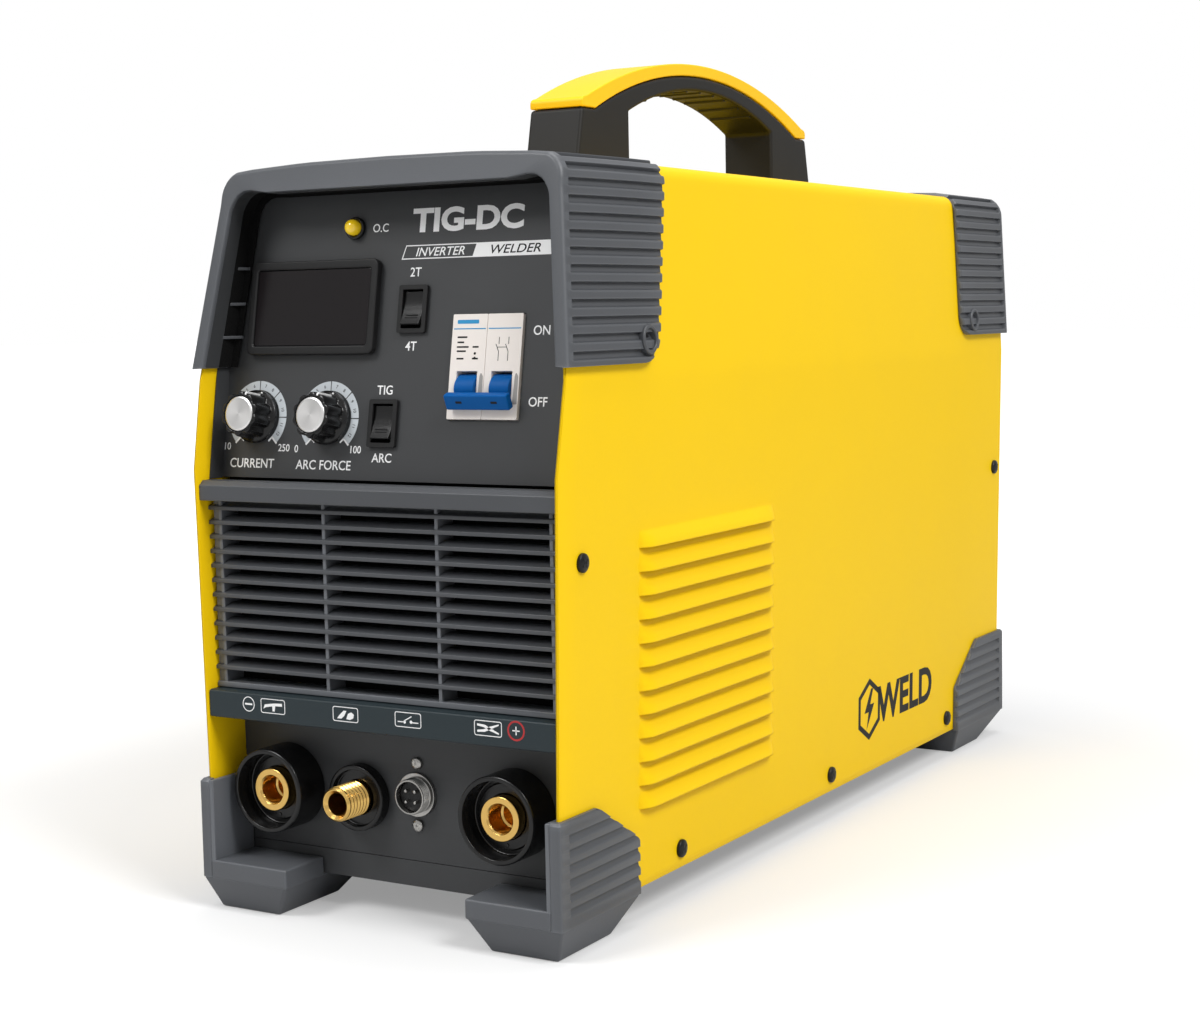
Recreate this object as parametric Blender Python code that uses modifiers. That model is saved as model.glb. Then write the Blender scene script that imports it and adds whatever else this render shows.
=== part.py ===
"""Portable inverter TIG welding machine, modelled as its separate pieces.

Metres, +Z up, the front faces -Y. The origin is on the floor, under the middle of the whole machine.
A size named ..._Y is a distance behind the cover's front edge.
A size named ..._Z is a height above the floor.
Panel positions are (across, up the slope), from the control panel's lower edge.
"""

import math

import bmesh
import bpy
from mathutils import Matrix, Vector

MM = 0.001

# Clearances
GAP = 0.3 * MM  # between pieces that rest on each other
RUNNING = 0.08 * MM  # round a turning shaft
SLACK = 0.3 * MM  # round a screw, a spigot or a fitting in its hole

# Whole machine
BODY_DEPTH = 521 * MM
BODY_WIDTH = 194 * MM  # at the waist, over the cover
FOOT_PROUD = 4 * MM  # of the feet and rear bumper, past the cover's ends
REAR_OVERHANG = 25 * MM  # of the rear fittings, past the cover's rear edge
FRONT = -(FOOT_PROUD + BODY_DEPTH + REAR_OVERHANG) / 2 + FOOT_PROUD

# Cover section
BASE_Z = 15.5 * MM
WAIST_Z = 240 * MM
TOP_Z = 331 * MM
BASE_TUCK = 4.3 * MM  # how much narrower each side is at the base than at the waist
TOP_TUCK = 4.5 * MM  # and at the top
SHOULDER_R = 9 * MM
SHEET = 1.5 * MM

# The upper front leans back from the crease
CREASE_Z = 200 * MM
LEAN = math.radians(9.9)

# Side louvres
LOUVRE_COUNT = 12
LOUVRE_PITCH = 10.45 * MM
LOUVRE_FIRST_Z = 50.6 * MM
LOUVRE_FRONT_Y = 66 * MM
LOUVRE_LENGTH = 132 * MM
LOUVRE_TALL = 8 * MM
LOUVRE_PROUD = 3.8 * MM
LOUVRE_SKIN = 1.3 * MM

# Screws through the cover
SCREW_SHANK_R = 2.0 * MM
SCREW_HEAD_R = 4.2 * MM
SCREW_HEAD_TALL = 2.2 * MM
SCREW_HEAD_SEAT = 2 * MM  # of a bezel screw's head, outside the cover
SCREW_LENGTH = 10 * MM
PAN_SCREW_Z = 24.3 * MM
PAN_SCREWS_Y = (104.5 * MM, BODY_DEPTH / 2 + 9 * MM, BODY_DEPTH - 85.5 * MM)
EDGE_SCREWS = ((18.3 * MM, 164.6 * MM), (BODY_DEPTH - 11 * MM, 168 * MM))

# Front bezel and rear bumper
BEZEL_PROUD = 3.3 * MM  # outside the cover's sides
BEZEL_CROWN = 4.5 * MM  # above the cover's top, at the middle
BEZEL_FACE = 3.8 * MM  # in front of the cover's leaning edge
BEZEL_BOTTOM_Z = 245.2 * MM
BEZEL_REACH_Y = 71 * MM  # rear edge of the wings, at the crease's height
BEZEL_WALL = 10.5 * MM  # width of the side posts, from the cover's outside
BEZEL_BAND = 10.3 * MM  # height of the visor, below the cover's top
BEZEL_CORNER_R = 12 * MM
OPENING_CORNER_R = 9 * MM
RIB_PITCH = 7.1 * MM
RIB_DEPTH = 1.4 * MM
BOSS_R = 6.5 * MM
BOSS_PROUD = 1.5 * MM
BOSS_Y = 71.3 * MM
BOSS_Z = 255 * MM
BUMPER_FRONT_Y = BODY_DEPTH - 72 * MM
BUMPER_BOTTOM_Z = 250 * MM
BUMPER_BOSS_Y = BODY_DEPTH - 54.4 * MM
BUMPER_BOSS_Z = 258.6 * MM

# Control panel
PANEL_FOOT_Z = 196 * MM
PANEL_RECESS = 16.5 * MM  # behind the cover's front edge, at its foot
PANEL_THICK = 2.5 * MM

# Controls, each centre as (across, up the slope)
DISPLAY_AT = (-47.1 * MM, 76.3 * MM)
DISPLAY_SIZE = (70.8 * MM, 42.2 * MM)
DISPLAY_WINDOW = (63.7 * MM, 34.5 * MM)
DISPLAY_PROUD = 4 * MM
DISPLAY_DEEP = 9 * MM
DISPLAY_WALL = 1.6 * MM
WINDOW_THICK = 2 * MM
LAMP_AT = (-27.7 * MM, 111.6 * MM)
LAMP_FLANGE_R = 5 * MM
LAMP_BARREL_R = 4 * MM
LAMP_LENS_R = 3.5 * MM
LAMP_DEEP = 8 * MM
KNOB_NAMES = ("current", "force")
KNOB_AT = {"current": (-75.7 * MM, 27.4 * MM), "force": (-35.3 * MM, 27.2 * MM)}
KNOB_R = 10.4 * MM
KNOB_SKIRT_R = 12 * MM
KNOB_TALL = 12.5 * MM
KNOB_LIFT = 1 * MM  # above the panel
KNOB_CAP_R = 7.8 * MM
KNOB_CAP_THICK = 1.2 * MM
SPINDLE_R = 3 * MM
BUSHING_WALL = 0.9 * MM
BUSHING_TALL = 4 * MM
POT_R = 11 * MM
POT_DEEP = 12 * MM
ROCKER_NAMES = ("mode", "process")
ROCKER_AT = {"mode": (6.7 * MM, 75 * MM), "process": (-4.9 * MM, 25.1 * MM)}
ROCKER_FLANGE = (15 * MM, 21 * MM)
ROCKER_FLANGE_PROUD = 1.8 * MM
ROCKER_BODY = (13 * MM, 19 * MM)
ROCKER_WELL = (10.6 * MM, 17 * MM)
ROCKER_WELL_DEEP = 9 * MM
ROCKER_BODY_DEEP = 12.5 * MM
ROCKER_HALF = 7.6 * MM  # from the pivot to each end
ROCKER_TIP = 3.2 * MM  # of the ends, above the pivot
ROCKER_PIVOT_DEPTH = 1.2 * MM  # behind the panel's face
ROCKER_PIN_R = 1 * MM
ROCKER_TILT = math.radians(11)
BREAKER_AT = (46.5 * MM, 49.7 * MM)
BREAKER_NOSE = (35.5 * MM, 45 * MM)
BREAKER_BODY_TALL = 80 * MM
BREAKER_DEEP = 58 * MM
BREAKER_PROUD = 1.5 * MM
BREAKER_STEP = 4 * MM  # from the nose's face back to the wider body, behind the panel
TOGGLE_DOWN = 9.5 * MM  # drum axis below the nose's middle
TOGGLE_DEPTH = 5 * MM  # drum axis behind the nose's face
DRUM_R = 7 * MM
DRUM_WIDE = 9.9 * MM
DRUM_SLOT_WIDE = 10.5 * MM
TOGGLE_REACH = 11.1 * MM
TOGGLE_BAR = (34 * MM, 7 * MM, 2.4 * MM)
TOGGLE_LEVER_THICK = 4 * MM
TOGGLE_AXLE_R = 1.5 * MM
TOGGLE_OFF = math.radians(-33)

# Front grille, symbol strip and connector panel
GRILLE_TOP_Z = 195.3 * MM
GRILLE_FOOT_Z = 100.9 * MM
GRILLE_FACE_Y = 7 * MM
GRILLE_DEEP = 12 * MM
LEDGE_FACE_Y = 1 * MM
LEDGE_TALL = 9 * MM
SLAT_COUNT = 12
SLAT_TALL = 3.5 * MM
GRILLE_SIDE = 5 * MM  # blank ends
GRILLE_BAR = 1.8 * MM
STRIP_FACE_Y = 0.5 * MM
STRIP_FOOT_Z = 88 * MM
STRIP_THICK = 2.5 * MM
CONNECTOR_Y = 24 * MM
CONNECTOR_THICK = 2 * MM
CONNECTOR_FOOT_Z = 27.3 * MM

# Weld sockets, gas outlet and control socket, each centre as (across, height)
SOCKET_AT = {"negative": (-65.5 * MM, 55 * MM), "positive": (57.8 * MM, 55 * MM)}
SOCKET_R = 19.25 * MM
SOCKET_PROUD = 18 * MM
SOCKET_LIP = 2.4 * MM
SOCKET_FLOOR = 9 * MM
SOCKET_SPIGOT_R = 14 * MM
SOCKET_SPIGOT_DEEP = 16 * MM
BRASS_R = 9.75 * MM
BRASS_BORE_R = 6.5 * MM
BRASS_BORE_DEEP = 25 * MM
BRASS_PROUD = 14.5 * MM
BRASS_STUD_R = 6 * MM
BRASS_DEEP = 32 * MM
GAS_AT = (-25 * MM, 53.5 * MM)
GAS_CUP_R = 15 * MM
GAS_CUP_TALL = 6 * MM
GAS_CUP_FLOOR = 3 * MM
GAS_NIPPLE_R = 7.8 * MM
GAS_BORE_R = 5.1 * MM
GAS_PROUD = 20 * MM
GAS_DEEP = 20 * MM
CONTROL_AT = (5.5 * MM, 57.3 * MM)
CONTROL_BASE_R = 9.8 * MM
CONTROL_BASE_TALL = 1.6 * MM
CONTROL_R = 8 * MM
CONTROL_WALL = 1.1 * MM
CONTROL_PROUD = 7 * MM
CONTROL_DEEP = 12 * MM
CONTROL_INSERT_PROUD = 4 * MM
CONTROL_SCREWS = {"upper": (5.6 * MM, 71.2 * MM), "lower": (5.4 * MM, 43.4 * MM)}
CONTROL_SCREW_R = 1.5 * MM
CONTROL_SCREW_HEAD_R = 2.8 * MM

# Base pan and rear panel
PAN_FLANGE_TOP_Z = 34 * MM
REAR_PANEL_Y = BODY_DEPTH - 10 * MM
REAR_PANEL_THICK = 1.5 * MM

# Feet: (distance in from the foot's outer end, height)
FOOT_WALL = 3.6 * MM  # outside the cover's base
FOOT_INNER_X = 48 * MM  # of the platform's inner end, from the middle
FOOT_POST_IN = 2 * MM  # of the post, inside the cover's side
FRONT_FOOT_PROFILE = ((0, 60 * MM), (32 * MM, 60 * MM), (66.5 * MM, 39.5 * MM))
REAR_FOOT_PROFILE = ((0, 65 * MM), (45 * MM, 65 * MM), (78.5 * MM, 40.8 * MM))
FRONT_FOOT_PAD = (6 * MM, 49 * MM)  # nearest and farthest reach on the floor
REAR_FOOT_PAD = (31 * MM, 72 * MM)
FOOT_PAD_INNER = 9 * MM
FOOT_PAD_OUTER = 6 * MM
FOOT_SLAB = 1 * MM  # straight-sided top of the pad
PLATFORM_TOP_Z = 23 * MM

# Handle
HANDLE_MIDDLE_Y = BODY_DEPTH / 2 + 27 * MM
HANDLE_WIDE = 30 * MM
HANDLE_HALF_FOOT = 134.5 * MM
HANDLE_HALF_SHOULDER = 127 * MM
HANDLE_SHOULDER = 35 * MM  # height of the cap's ends above the cover
HANDLE_WINDOW_HALF = 81 * MM
HANDLE_WINDOW_TALL = 36 * MM
HANDLE_WINDOW_RISE = 16.2 * MM
HANDLE_GRIP = 7.3 * MM  # thickness of the frame at the middle
HANDLE_SPLIT_HALF = 114 * MM
HANDLE_CAP = 6 * MM  # thickness of the cap at the middle
HANDLE_CAP_CORNER_R = 5 * MM

# Rear fittings, each centre as (across, height)
FAN_AT = (25 * MM, 150 * MM)
FAN_SIZE = 119 * MM
FAN_DEEP = 25 * MM
FAN_BORE_R = 56 * MM
FAN_HUB_R = 20 * MM
FAN_BLADES = 7
FAN_BLADE_CHORD = 24 * MM
FAN_BLADE_THICK = 2 * MM
FAN_TIP_CLEAR = 2.5 * MM
FAN_PIN_R = 2 * MM
FAN_PLATE_THICK = 3 * MM
GUARD_THICK = 2 * MM
GUARD_RINGS = 3
GUARD_SPOKES = 4
GUARD_WIRE = 3.5 * MM
GLAND_AT = (-64 * MM, 225 * MM)
GLAND_R = 13 * MM
GLAND_BORE_R = 6.5 * MM
GLAND_PROUD = 26 * MM
GLAND_DEEP = 10 * MM
INLET_AT = (-64 * MM, 95 * MM)
INLET_HEX_R = 8 * MM
INLET_HEX_TALL = 6 * MM
INLET_BARB_R = 4.6 * MM
INLET_BORE_R = 2.2 * MM
INLET_THREAD_R = 4.5 * MM
INLET_THREAD_DEEP = 12 * MM
EARTH_AT = (-64 * MM, 50 * MM)
EARTH_HEAD_R = 5.5 * MM
EARTH_HEAD_TALL = 4 * MM
EARTH_SHANK_R = 3 * MM
VALVE_SIDE = 26 * MM
VALVE_DEEP = 30 * MM
VALVE_COIL_R = 12 * MM
VALVE_COIL_TALL = 28 * MM
PLUNGER_R = 4 * MM
PLUNGER_TALL = 20 * MM

# Electronics inside
SINK_FRONT_Y = 200 * MM
SINK_REAR_Y = BODY_DEPTH - 61 * MM
SINK_TOP_Z = 190 * MM
SINK_PLATE_X = 20 * MM
SINK_PLATE_THICK = 6 * MM
SINK_REACH_X = 80 * MM
SINK_FINS = 9
SINK_FIN_PITCH = 12 * MM
SINK_FIN_THICK = 2.5 * MM
BOARD_THICK = 1.6 * MM
CAPACITOR_R = 17.5 * MM
CAPACITOR_TALL = 50 * MM
CAPACITOR_PITCH = 45 * MM
TRANSFORMER_SIZE = (64 * MM, 70 * MM, 58 * MM)
TRANSFORMER_AT = (42 * MM, 120 * MM)
COIL_AT = (-45 * MM, 110 * MM)
COIL_R = 28 * MM
COIL_BORE_R = 12 * MM
COIL_TALL = 30 * MM
INDUCTOR_AT = (-55 * MM, 290 * MM)
INDUCTOR_R = 27 * MM
INDUCTOR_BORE_R = 11 * MM
INDUCTOR_TALL = 32 * MM
CONTROL_BOARD_U = (-86 * MM, 18 * MM)
CONTROL_BOARD_V = (8 * MM, 104 * MM)

# Colour, metallic, roughness
FINISHES = {
    "yellow_paint": ((0.95, 0.62, 0.011), 0.0, 0.35),
    "yellow_plastic": ((0.93, 0.58, 0.012), 0.0, 0.4),
    "grey_plastic": ((0.125, 0.13, 0.138), 0.0, 0.55),
    "panel_grey": ((0.048, 0.05, 0.052), 0.0, 0.6),
    "strip_blue_grey": ((0.021, 0.037, 0.045), 0.0, 0.45),
    "black_plastic": ((0.012, 0.012, 0.012), 0.0, 0.4),
    "handle_black": ((0.03, 0.03, 0.03), 0.0, 0.6),
    "smoked_window": ((0.01, 0.009, 0.01), 0.0, 0.12),
    "amber_lens": ((0.85, 0.5, 0.02), 0.0, 0.2),
    "breaker_white": ((0.82, 0.76, 0.71), 0.0, 0.45),
    "toggle_blue": ((0.005, 0.1, 0.42), 0.0, 0.4),
    "spun_aluminium": ((0.75, 0.74, 0.72), 1.0, 0.3),
    "brass": ((0.66, 0.4, 0.1), 1.0, 0.3),
    "nickel": ((0.6, 0.59, 0.57), 1.0, 0.3),
    "zinc_steel": ((0.5, 0.5, 0.5), 1.0, 0.45),
    "black_steel": ((0.015, 0.015, 0.015), 0.7, 0.4),
    "copper": ((0.6, 0.25, 0.1), 1.0, 0.35),
    "board_green": ((0.01, 0.12, 0.03), 0.0, 0.5),
    "ferrite": ((0.03, 0.03, 0.035), 0.1, 0.6),
    "capacitor_sleeve": ((0.02, 0.03, 0.1), 0.0, 0.35),
}

ACROSS, BACK, UP = Vector((1, 0, 0)), Vector((0, 1, 0)), Vector((0, 0, 1))
SHEAR = Matrix(((1, 0, 0, 0), (0, 1, math.tan(LEAN), -CREASE_Z * math.tan(LEAN)), (0, 0, 1, 0), (0, 0, 0, 1)))


# ---------------------------------------------------------------- scene


def clear_scene():
    """Takes away every object that the scene starts with."""
    for obj in list(bpy.data.objects):
        bpy.data.objects.remove(obj)


def new_collection(name):
    made = bpy.data.collections.new(name)
    bpy.context.scene.collection.children.link(made)
    return made


clear_scene()
PARTS = new_collection("tig_welding_machine")
CUTTERS = new_collection("cutters")


def material(name):
    """The Principled material of this finish, made once."""
    made = bpy.data.materials.get(name)
    if made is None:
        colour, metallic, roughness = FINISHES[name]
        made = bpy.data.materials.new(name)
        made.use_nodes = True
        shader = made.node_tree.nodes["Principled BSDF"]
        shader.inputs["Base Color"].default_value = (*colour, 1)
        shader.inputs["Metallic"].default_value = metallic
        shader.inputs["Roughness"].default_value = roughness
        made.diffuse_color = (*colour, 1)
    return made


def finished(obj, name, finish):
    """Names a piece and gives it its material."""
    obj.name = name
    obj.data.name = name
    obj.data.materials.append(material(finish))
    obj.data.shade_smooth()
    obj.data.set_sharp_from_angle(angle=math.radians(35))
    return obj


# ---------------------------------------------------------------- frames


def frame_of(origin, along_u, along_v):
    """A frame from its origin and two directions; the third is their cross product."""
    along_w = along_u.cross(along_v)
    made = Matrix((along_u, along_v, along_w)).transposed().to_4x4()
    made.translation = origin
    return made


def front_frame(x, depth, z):
    """Facing the front: u across, v up, w towards the front."""
    return frame_of(Vector((x, FRONT + depth, z)), ACROSS, UP)


def rear_frame(x, depth, z):
    """Facing the rear: v up, w towards the back."""
    return frame_of(Vector((x, FRONT + depth, z)), -ACROSS, UP)


def side_frame(x, depth=0.0, z=0.0):
    """Side profile: u towards the back, v up, w across."""
    return frame_of(Vector((x, FRONT + depth, z)), BACK, UP)


def floor_frame(x, depth, z):
    """Seen from above: u across, v towards the back, w up."""
    return frame_of(Vector((x, FRONT + depth, z)), ACROSS, BACK)


PANEL = frame_of(
    Vector((0, FRONT + PANEL_RECESS, PANEL_FOOT_Z)),
    ACROSS,
    Vector((0, math.sin(LEAN), math.cos(LEAN))),
)


def panel_frame(centre, out=0.0):
    """On the control panel: u across, v up the slope, w out of the face."""
    return PANEL @ Matrix.Translation((centre[0], centre[1], out))


# ---------------------------------------------------------------- outlines


def arc(centre, radius, start, end, steps):
    """Points along an arc, angles in degrees."""
    turns = [math.radians(start + (end - start) * k / steps) for k in range(steps + 1)]
    return [(centre[0] + radius * math.cos(t), centre[1] + radius * math.sin(t)) for t in turns]


def circle(radius, steps=32, centre=(0, 0)):
    return arc(centre, radius, 0, 360, steps)[:-1]


def rounded(corners, steps=3):
    """A closed outline from corners (u, v, radius), with an arc at each corner that has a radius."""
    outline = []
    for index, (u, v, radius) in enumerate(corners):
        here = Vector((u, v))
        if radius <= 0:
            outline.append((u, v))
            continue
        before = (Vector(corners[index - 1][:2]) - here).normalized()
        after = (Vector(corners[(index + 1) % len(corners)][:2]) - here).normalized()
        half = before.angle(after) / 2
        centre = here + (before + after).normalized() * (radius / math.sin(half))
        first = here + before * (radius / math.tan(half)) - centre
        last = here + after * (radius / math.tan(half)) - centre
        start = math.degrees(math.atan2(first.y, first.x))
        sweep = (math.degrees(math.atan2(last.y, last.x)) - start + 180) % 360 - 180
        outline += arc(centre, radius, start, start + sweep, steps)
    return outline


def rectangle(size, centre=(0, 0), radius=0.0, steps=3):
    half_u, half_v = size[0] / 2, size[1] / 2
    corners = ((-half_u, -half_v), (half_u, -half_v), (half_u, half_v), (-half_u, half_v))
    return rounded([(centre[0] + u, centre[1] + v, radius) for u, v in corners], steps)


def half_width(z):
    """Half of the cover's outer width at a height."""
    if z <= WAIST_Z:
        return BODY_WIDTH / 2 - BASE_TUCK * (WAIST_Z - z) / (WAIST_Z - BASE_Z)
    return BODY_WIDTH / 2 - TOP_TUCK * (z - WAIST_Z) / (TOP_Z - WAIST_Z)


def section(grow, foot, top=TOP_Z, radius=SHOULDER_R):
    """The cover's cross-section (x, z), grown by a distance, from a foot height up to the top."""
    side = [(half_width(foot) + grow, foot, 0)]
    if foot < WAIST_Z:
        side.append((half_width(WAIST_Z) + grow, WAIST_Z, 0))
    side.append((half_width(top) + grow, top + grow, max(radius + grow, MM)))
    return rounded(side + [(-x, z, r) for x, z, r in reversed(side)], 3)


def inside_section(foot, top=TOP_Z):
    """The outline of a plate that fits inside the cover."""
    return section(-SHEET - GAP, foot, top)


# ---------------------------------------------------------------- solids


def mesh_object(name, bm, frame):
    mesh = bpy.data.meshes.new(name)
    bm.to_mesh(mesh)
    bm.free()
    obj = bpy.data.objects.new(name, mesh)
    PARTS.objects.link(obj)
    obj.matrix_world = frame
    return obj


def plate(name, loops, thickness, frame, transform=None):
    """A flat outline, with holes in it, given its thickness: half to each side of the frame's plane."""
    curve = bpy.data.curves.new(name, "CURVE")
    curve.dimensions = "2D"
    curve.fill_mode = "BOTH"
    curve.extrude = thickness / 2
    for loop in loops:
        spline = curve.splines.new("POLY")
        spline.points.add(len(loop) - 1)
        for point, (u, v) in zip(spline.points, loop):
            point.co = (u, v, 0, 1)
        spline.use_cyclic_u = True
    outline = bpy.data.objects.new(name + "_outline", curve)
    PARTS.objects.link(outline)
    graph = bpy.context.evaluated_depsgraph_get()
    mesh = bpy.data.meshes.new_from_object(outline.evaluated_get(graph))
    bpy.data.objects.remove(outline)
    bm = bmesh.new()
    bm.from_mesh(mesh)
    bpy.data.meshes.remove(mesh)
    bmesh.ops.remove_doubles(bm, verts=bm.verts, dist=1e-7)
    if transform is not None:
        bm.transform(transform @ frame)
        frame = Matrix.Identity(4)
    bmesh.ops.recalc_face_normals(bm, faces=bm.faces)
    return mesh_object(name, bm, frame)


def prism(name, loops, near, far, transform=None):
    """An outline (x, z) carried from one depth to another."""
    frame = front_frame(0, (near + far) / 2, 0)
    return plate(name, loops, far - near, frame, transform)


def leaning_prism(name, loops, near, far):
    """The same, with its ends parallel to the leaning front."""
    return prism(name, loops, near, far, SHEAR)


def side_prism(name, loop, left, right):
    """An outline (depth, height) carried across from one x to another."""
    return plate(name, [loop], right - left, side_frame((left + right) / 2))


def blocks(name, corners, frame=Matrix.Identity(4)):
    """One or more boxes, each from its lowest and highest corner, in one mesh."""
    bm = bmesh.new()
    for low, high in corners:
        low, high = Vector(low), Vector(high)
        size = high - low
        place = Matrix.Translation((low + high) / 2) @ Matrix.Diagonal((*size, 1))
        bmesh.ops.create_cube(bm, size=1, matrix=place)
    return mesh_object(name, bm, frame)


def cylinders(name, radius, depth, frames, segments=24):
    """One or more cylinders along their frames' w, centred on them, in one mesh."""
    bm = bmesh.new()
    for frame in frames:
        bmesh.ops.create_cone(
            bm, cap_ends=True, segments=segments, radius1=radius, radius2=radius, depth=depth, matrix=frame
        )
    return mesh_object(name, bm, Matrix.Identity(4))


def turned(name, profile, frame, closed=False, steps=32):
    """A turned shape from its profile (radius, height), which runs down the outer side."""
    bm = bmesh.new()
    verts = [bm.verts.new((radius, 0, height)) for radius, height in profile]
    for first, second in zip(verts, verts[1:] + verts[:1] if closed else verts[1:]):
        bm.edges.new((first, second))
    obj = mesh_object(name, bm, frame)
    screw = obj.modifiers.new("Turn", "SCREW")
    screw.steps = screw.render_steps = steps
    screw.use_merge_vertices = True
    screw.merge_threshold = 1e-6
    return obj


def combine(obj, tool, operation):
    """Cuts or joins with another solid, which becomes a helper."""
    if tool.name not in CUTTERS.objects:
        PARTS.objects.unlink(tool)
        CUTTERS.objects.link(tool)
    tool.hide_render = True
    tool.display_type = "WIRE"
    modifier = obj.modifiers.new(tool.name, "BOOLEAN")
    modifier.operation = operation
    modifier.object = tool
    return obj


def cut(obj, *tools):
    for tool in tools:
        combine(obj, tool, "DIFFERENCE")
    return obj


def join(obj, *tools):
    for tool in tools:
        combine(obj, tool, "UNION")
    return obj


def across_frames(places):
    """Frames whose w runs across the machine, at each (depth, height)."""
    return [side_frame(0, depth, z) for depth, z in places]


# ---------------------------------------------------------------- casing


def louvre_sections(side):
    """(hood, hollow) outlines (x, z) of each louvre on one side."""
    for index in range(LOUVRE_COUNT):
        low = LOUVRE_FIRST_Z + index * LOUVRE_PITCH
        high = low + LOUVRE_TALL
        wall_low, wall_high = half_width(low), half_width(high)
        hood = (
            (wall_high, high),
            (wall_low + LOUVRE_PROUD, low),
            (wall_low - SHEET / 2, low),
            (wall_high - SHEET / 2, high),
        )
        inner_high = high - 1.6 * LOUVRE_SKIN
        hollow = (
            (wall_high - SHEET, inner_high),
            (wall_low + LOUVRE_PROUD - LOUVRE_SKIN, low - SHEET / 3),
            (wall_low - 2 * SHEET, low - SHEET / 3),
            (wall_low - 2 * SHEET, inner_high),
        )
        yield [(side * x, z) for x, z in hood], [(side * x, z) for x, z in hollow]


def louvre_solids():
    """The hoods that stand out of both sides, and the hollows behind them."""
    middle = LOUVRE_FRONT_Y + LOUVRE_LENGTH / 2
    hoods, hollows = [], []
    for side in (1, -1):
        for hood, hollow in louvre_sections(side):
            hoods.append(plate("hood", [hood], LOUVRE_LENGTH, front_frame(0, middle, 0)))
            length = LOUVRE_LENGTH - 2 * LOUVRE_SKIN
            hollows.append(plate("hollow", [hollow], length, front_frame(0, middle, 0)))
    return gathered("louvre_hoods", hoods), gathered("louvre_hollows", hollows)


def gathered(name, solids):
    """Several separate solids as one mesh, for use as a helper."""
    bm = bmesh.new()
    for solid in solids:
        mesh = solid.data
        mesh.transform(solid.matrix_world)
        bm.from_mesh(mesh)
        bpy.data.objects.remove(solid)
    return mesh_object(name, bm, Matrix.Identity(4))


def screw_places():
    pan = [(depth, PAN_SCREW_Z) for depth in PAN_SCREWS_Y]
    return pan + list(EDGE_SCREWS) + [(BUMPER_BOSS_Y, BUMPER_BOSS_Z), (BOSS_Y, BOSS_Z)]


def cover_shell():
    outer = section(0, BASE_Z)
    inner = section(-SHEET, BASE_Z)
    loop = outer + list(reversed(inner))
    shell = prism("cover_shell", [loop], 0, BODY_DEPTH)
    lean = BODY_DEPTH
    top = (lean * math.tan(LEAN), CREASE_Z + lean)
    wedge = [(-lean, CREASE_Z), (0, CREASE_Z), top, (-lean, CREASE_Z + lean)]
    hoods, hollows = louvre_solids()
    wide = BODY_WIDTH
    holes = cylinders("cover_screw_holes", SCREW_SHANK_R + SLACK, 2 * wide, across_frames(screw_places()), 12)
    cut(shell, side_prism("leaning_front", wedge, -wide, wide))
    join(shell, hoods)
    cut(shell, hollows, holes)
    return finished(shell, "cover_shell", "yellow_paint")


def base_pan():
    outer = [(half_width(PAN_FLANGE_TOP_Z), PAN_FLANGE_TOP_Z), (half_width(BASE_Z), BASE_Z)]
    inset = SHEET + GAP
    right = [(x - inset, z) for x, z in outer]
    left = [(-x, z) for x, z in reversed(right)]
    inner_right = [(right[1][0] - SHEET, BASE_Z + SHEET), (right[0][0] - SHEET, PAN_FLANGE_TOP_Z)]
    inner_left = [(-x, z) for x, z in reversed(inner_right)]
    start = CONNECTOR_Y + CONNECTOR_THICK + GAP
    pan = prism("base_pan", [right + left + inner_left + inner_right], start, REAR_PANEL_Y - GAP)
    floor_top, lip_back, floor_back = BASE_Z + SHEET, CONNECTOR_Y + SHEET, start + 2 * SHEET
    lip_top = CONNECTOR_FOOT_Z - GAP
    lip = [(CONNECTOR_Y, BASE_Z), (floor_back, BASE_Z), (floor_back, floor_top)]
    lip += [(lip_back, floor_top), (lip_back, lip_top), (CONNECTOR_Y, lip_top)]
    half = right[1][0]
    join(pan, side_prism("pan_front_lip", lip, -half, half))
    places = [(depth, PAN_SCREW_Z) for depth in PAN_SCREWS_Y]
    cut(pan, cylinders("pan_screw_holes", SCREW_SHANK_R + SLACK, 2 * BODY_WIDTH, across_frames(places), 12))
    return finished(pan, "base_pan", "zinc_steel")


def bezel_outline(foot):
    """Outer outline (x, z) of the bezel and bumper, with its crowned top."""
    top = TOP_Z + BEZEL_PROUD
    half = half_width(TOP_Z) + BEZEL_PROUD
    side = [(half_width(foot) + BEZEL_PROUD, foot, 0), (half, top - BEZEL_CROWN / 3, BEZEL_CORNER_R)]
    crown = [(half / 2, TOP_Z + BEZEL_CROWN * 0.9, 0), (0, TOP_Z + BEZEL_CROWN, 0)]
    left = [(-x, z, r) for x, z, r in reversed(side + crown[:1])]
    return rounded(side + crown + left, 4)


def opening_outline(foot):
    """Inner outline of the bezel and bumper."""
    top = TOP_Z - BEZEL_BAND
    side = [
        (half_width(WAIST_Z) - BEZEL_WALL, foot, 0),
        (half_width(WAIST_Z) - BEZEL_WALL, WAIST_Z, 0),
        (half_width(top) - BEZEL_WALL, top, OPENING_CORNER_R),
    ]
    return rounded(side + [(-x, z, r) for x, z, r in reversed(side)], 4)


def side_grooves(name, foot, top, near, far, make):
    """Cutters for the grooves between the ribs on both sides."""
    cutters = []
    count = int((top - foot) / RIB_PITCH)
    for side in (1, -1):
        for index in range(1, count):
            z = foot + index * RIB_PITCH
            edge = half_width(z) + BEZEL_PROUD
            loop = [(edge - RIB_DEPTH, z), (edge + MM, z - MM / 2), (edge + MM, z + RIB_PITCH / 2)]
            cutters.append(make(name, [[(side * x, height) for x, height in loop]], near, far))
    return gathered(name, cutters)


def bosses(name, depth, z):
    """Screw bosses on both sides."""
    reach = 2 * (half_width(z) + BEZEL_PROUD + BOSS_PROUD)
    return cylinders(name, BOSS_R, reach, [side_frame(0, depth, z)], 20)


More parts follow.
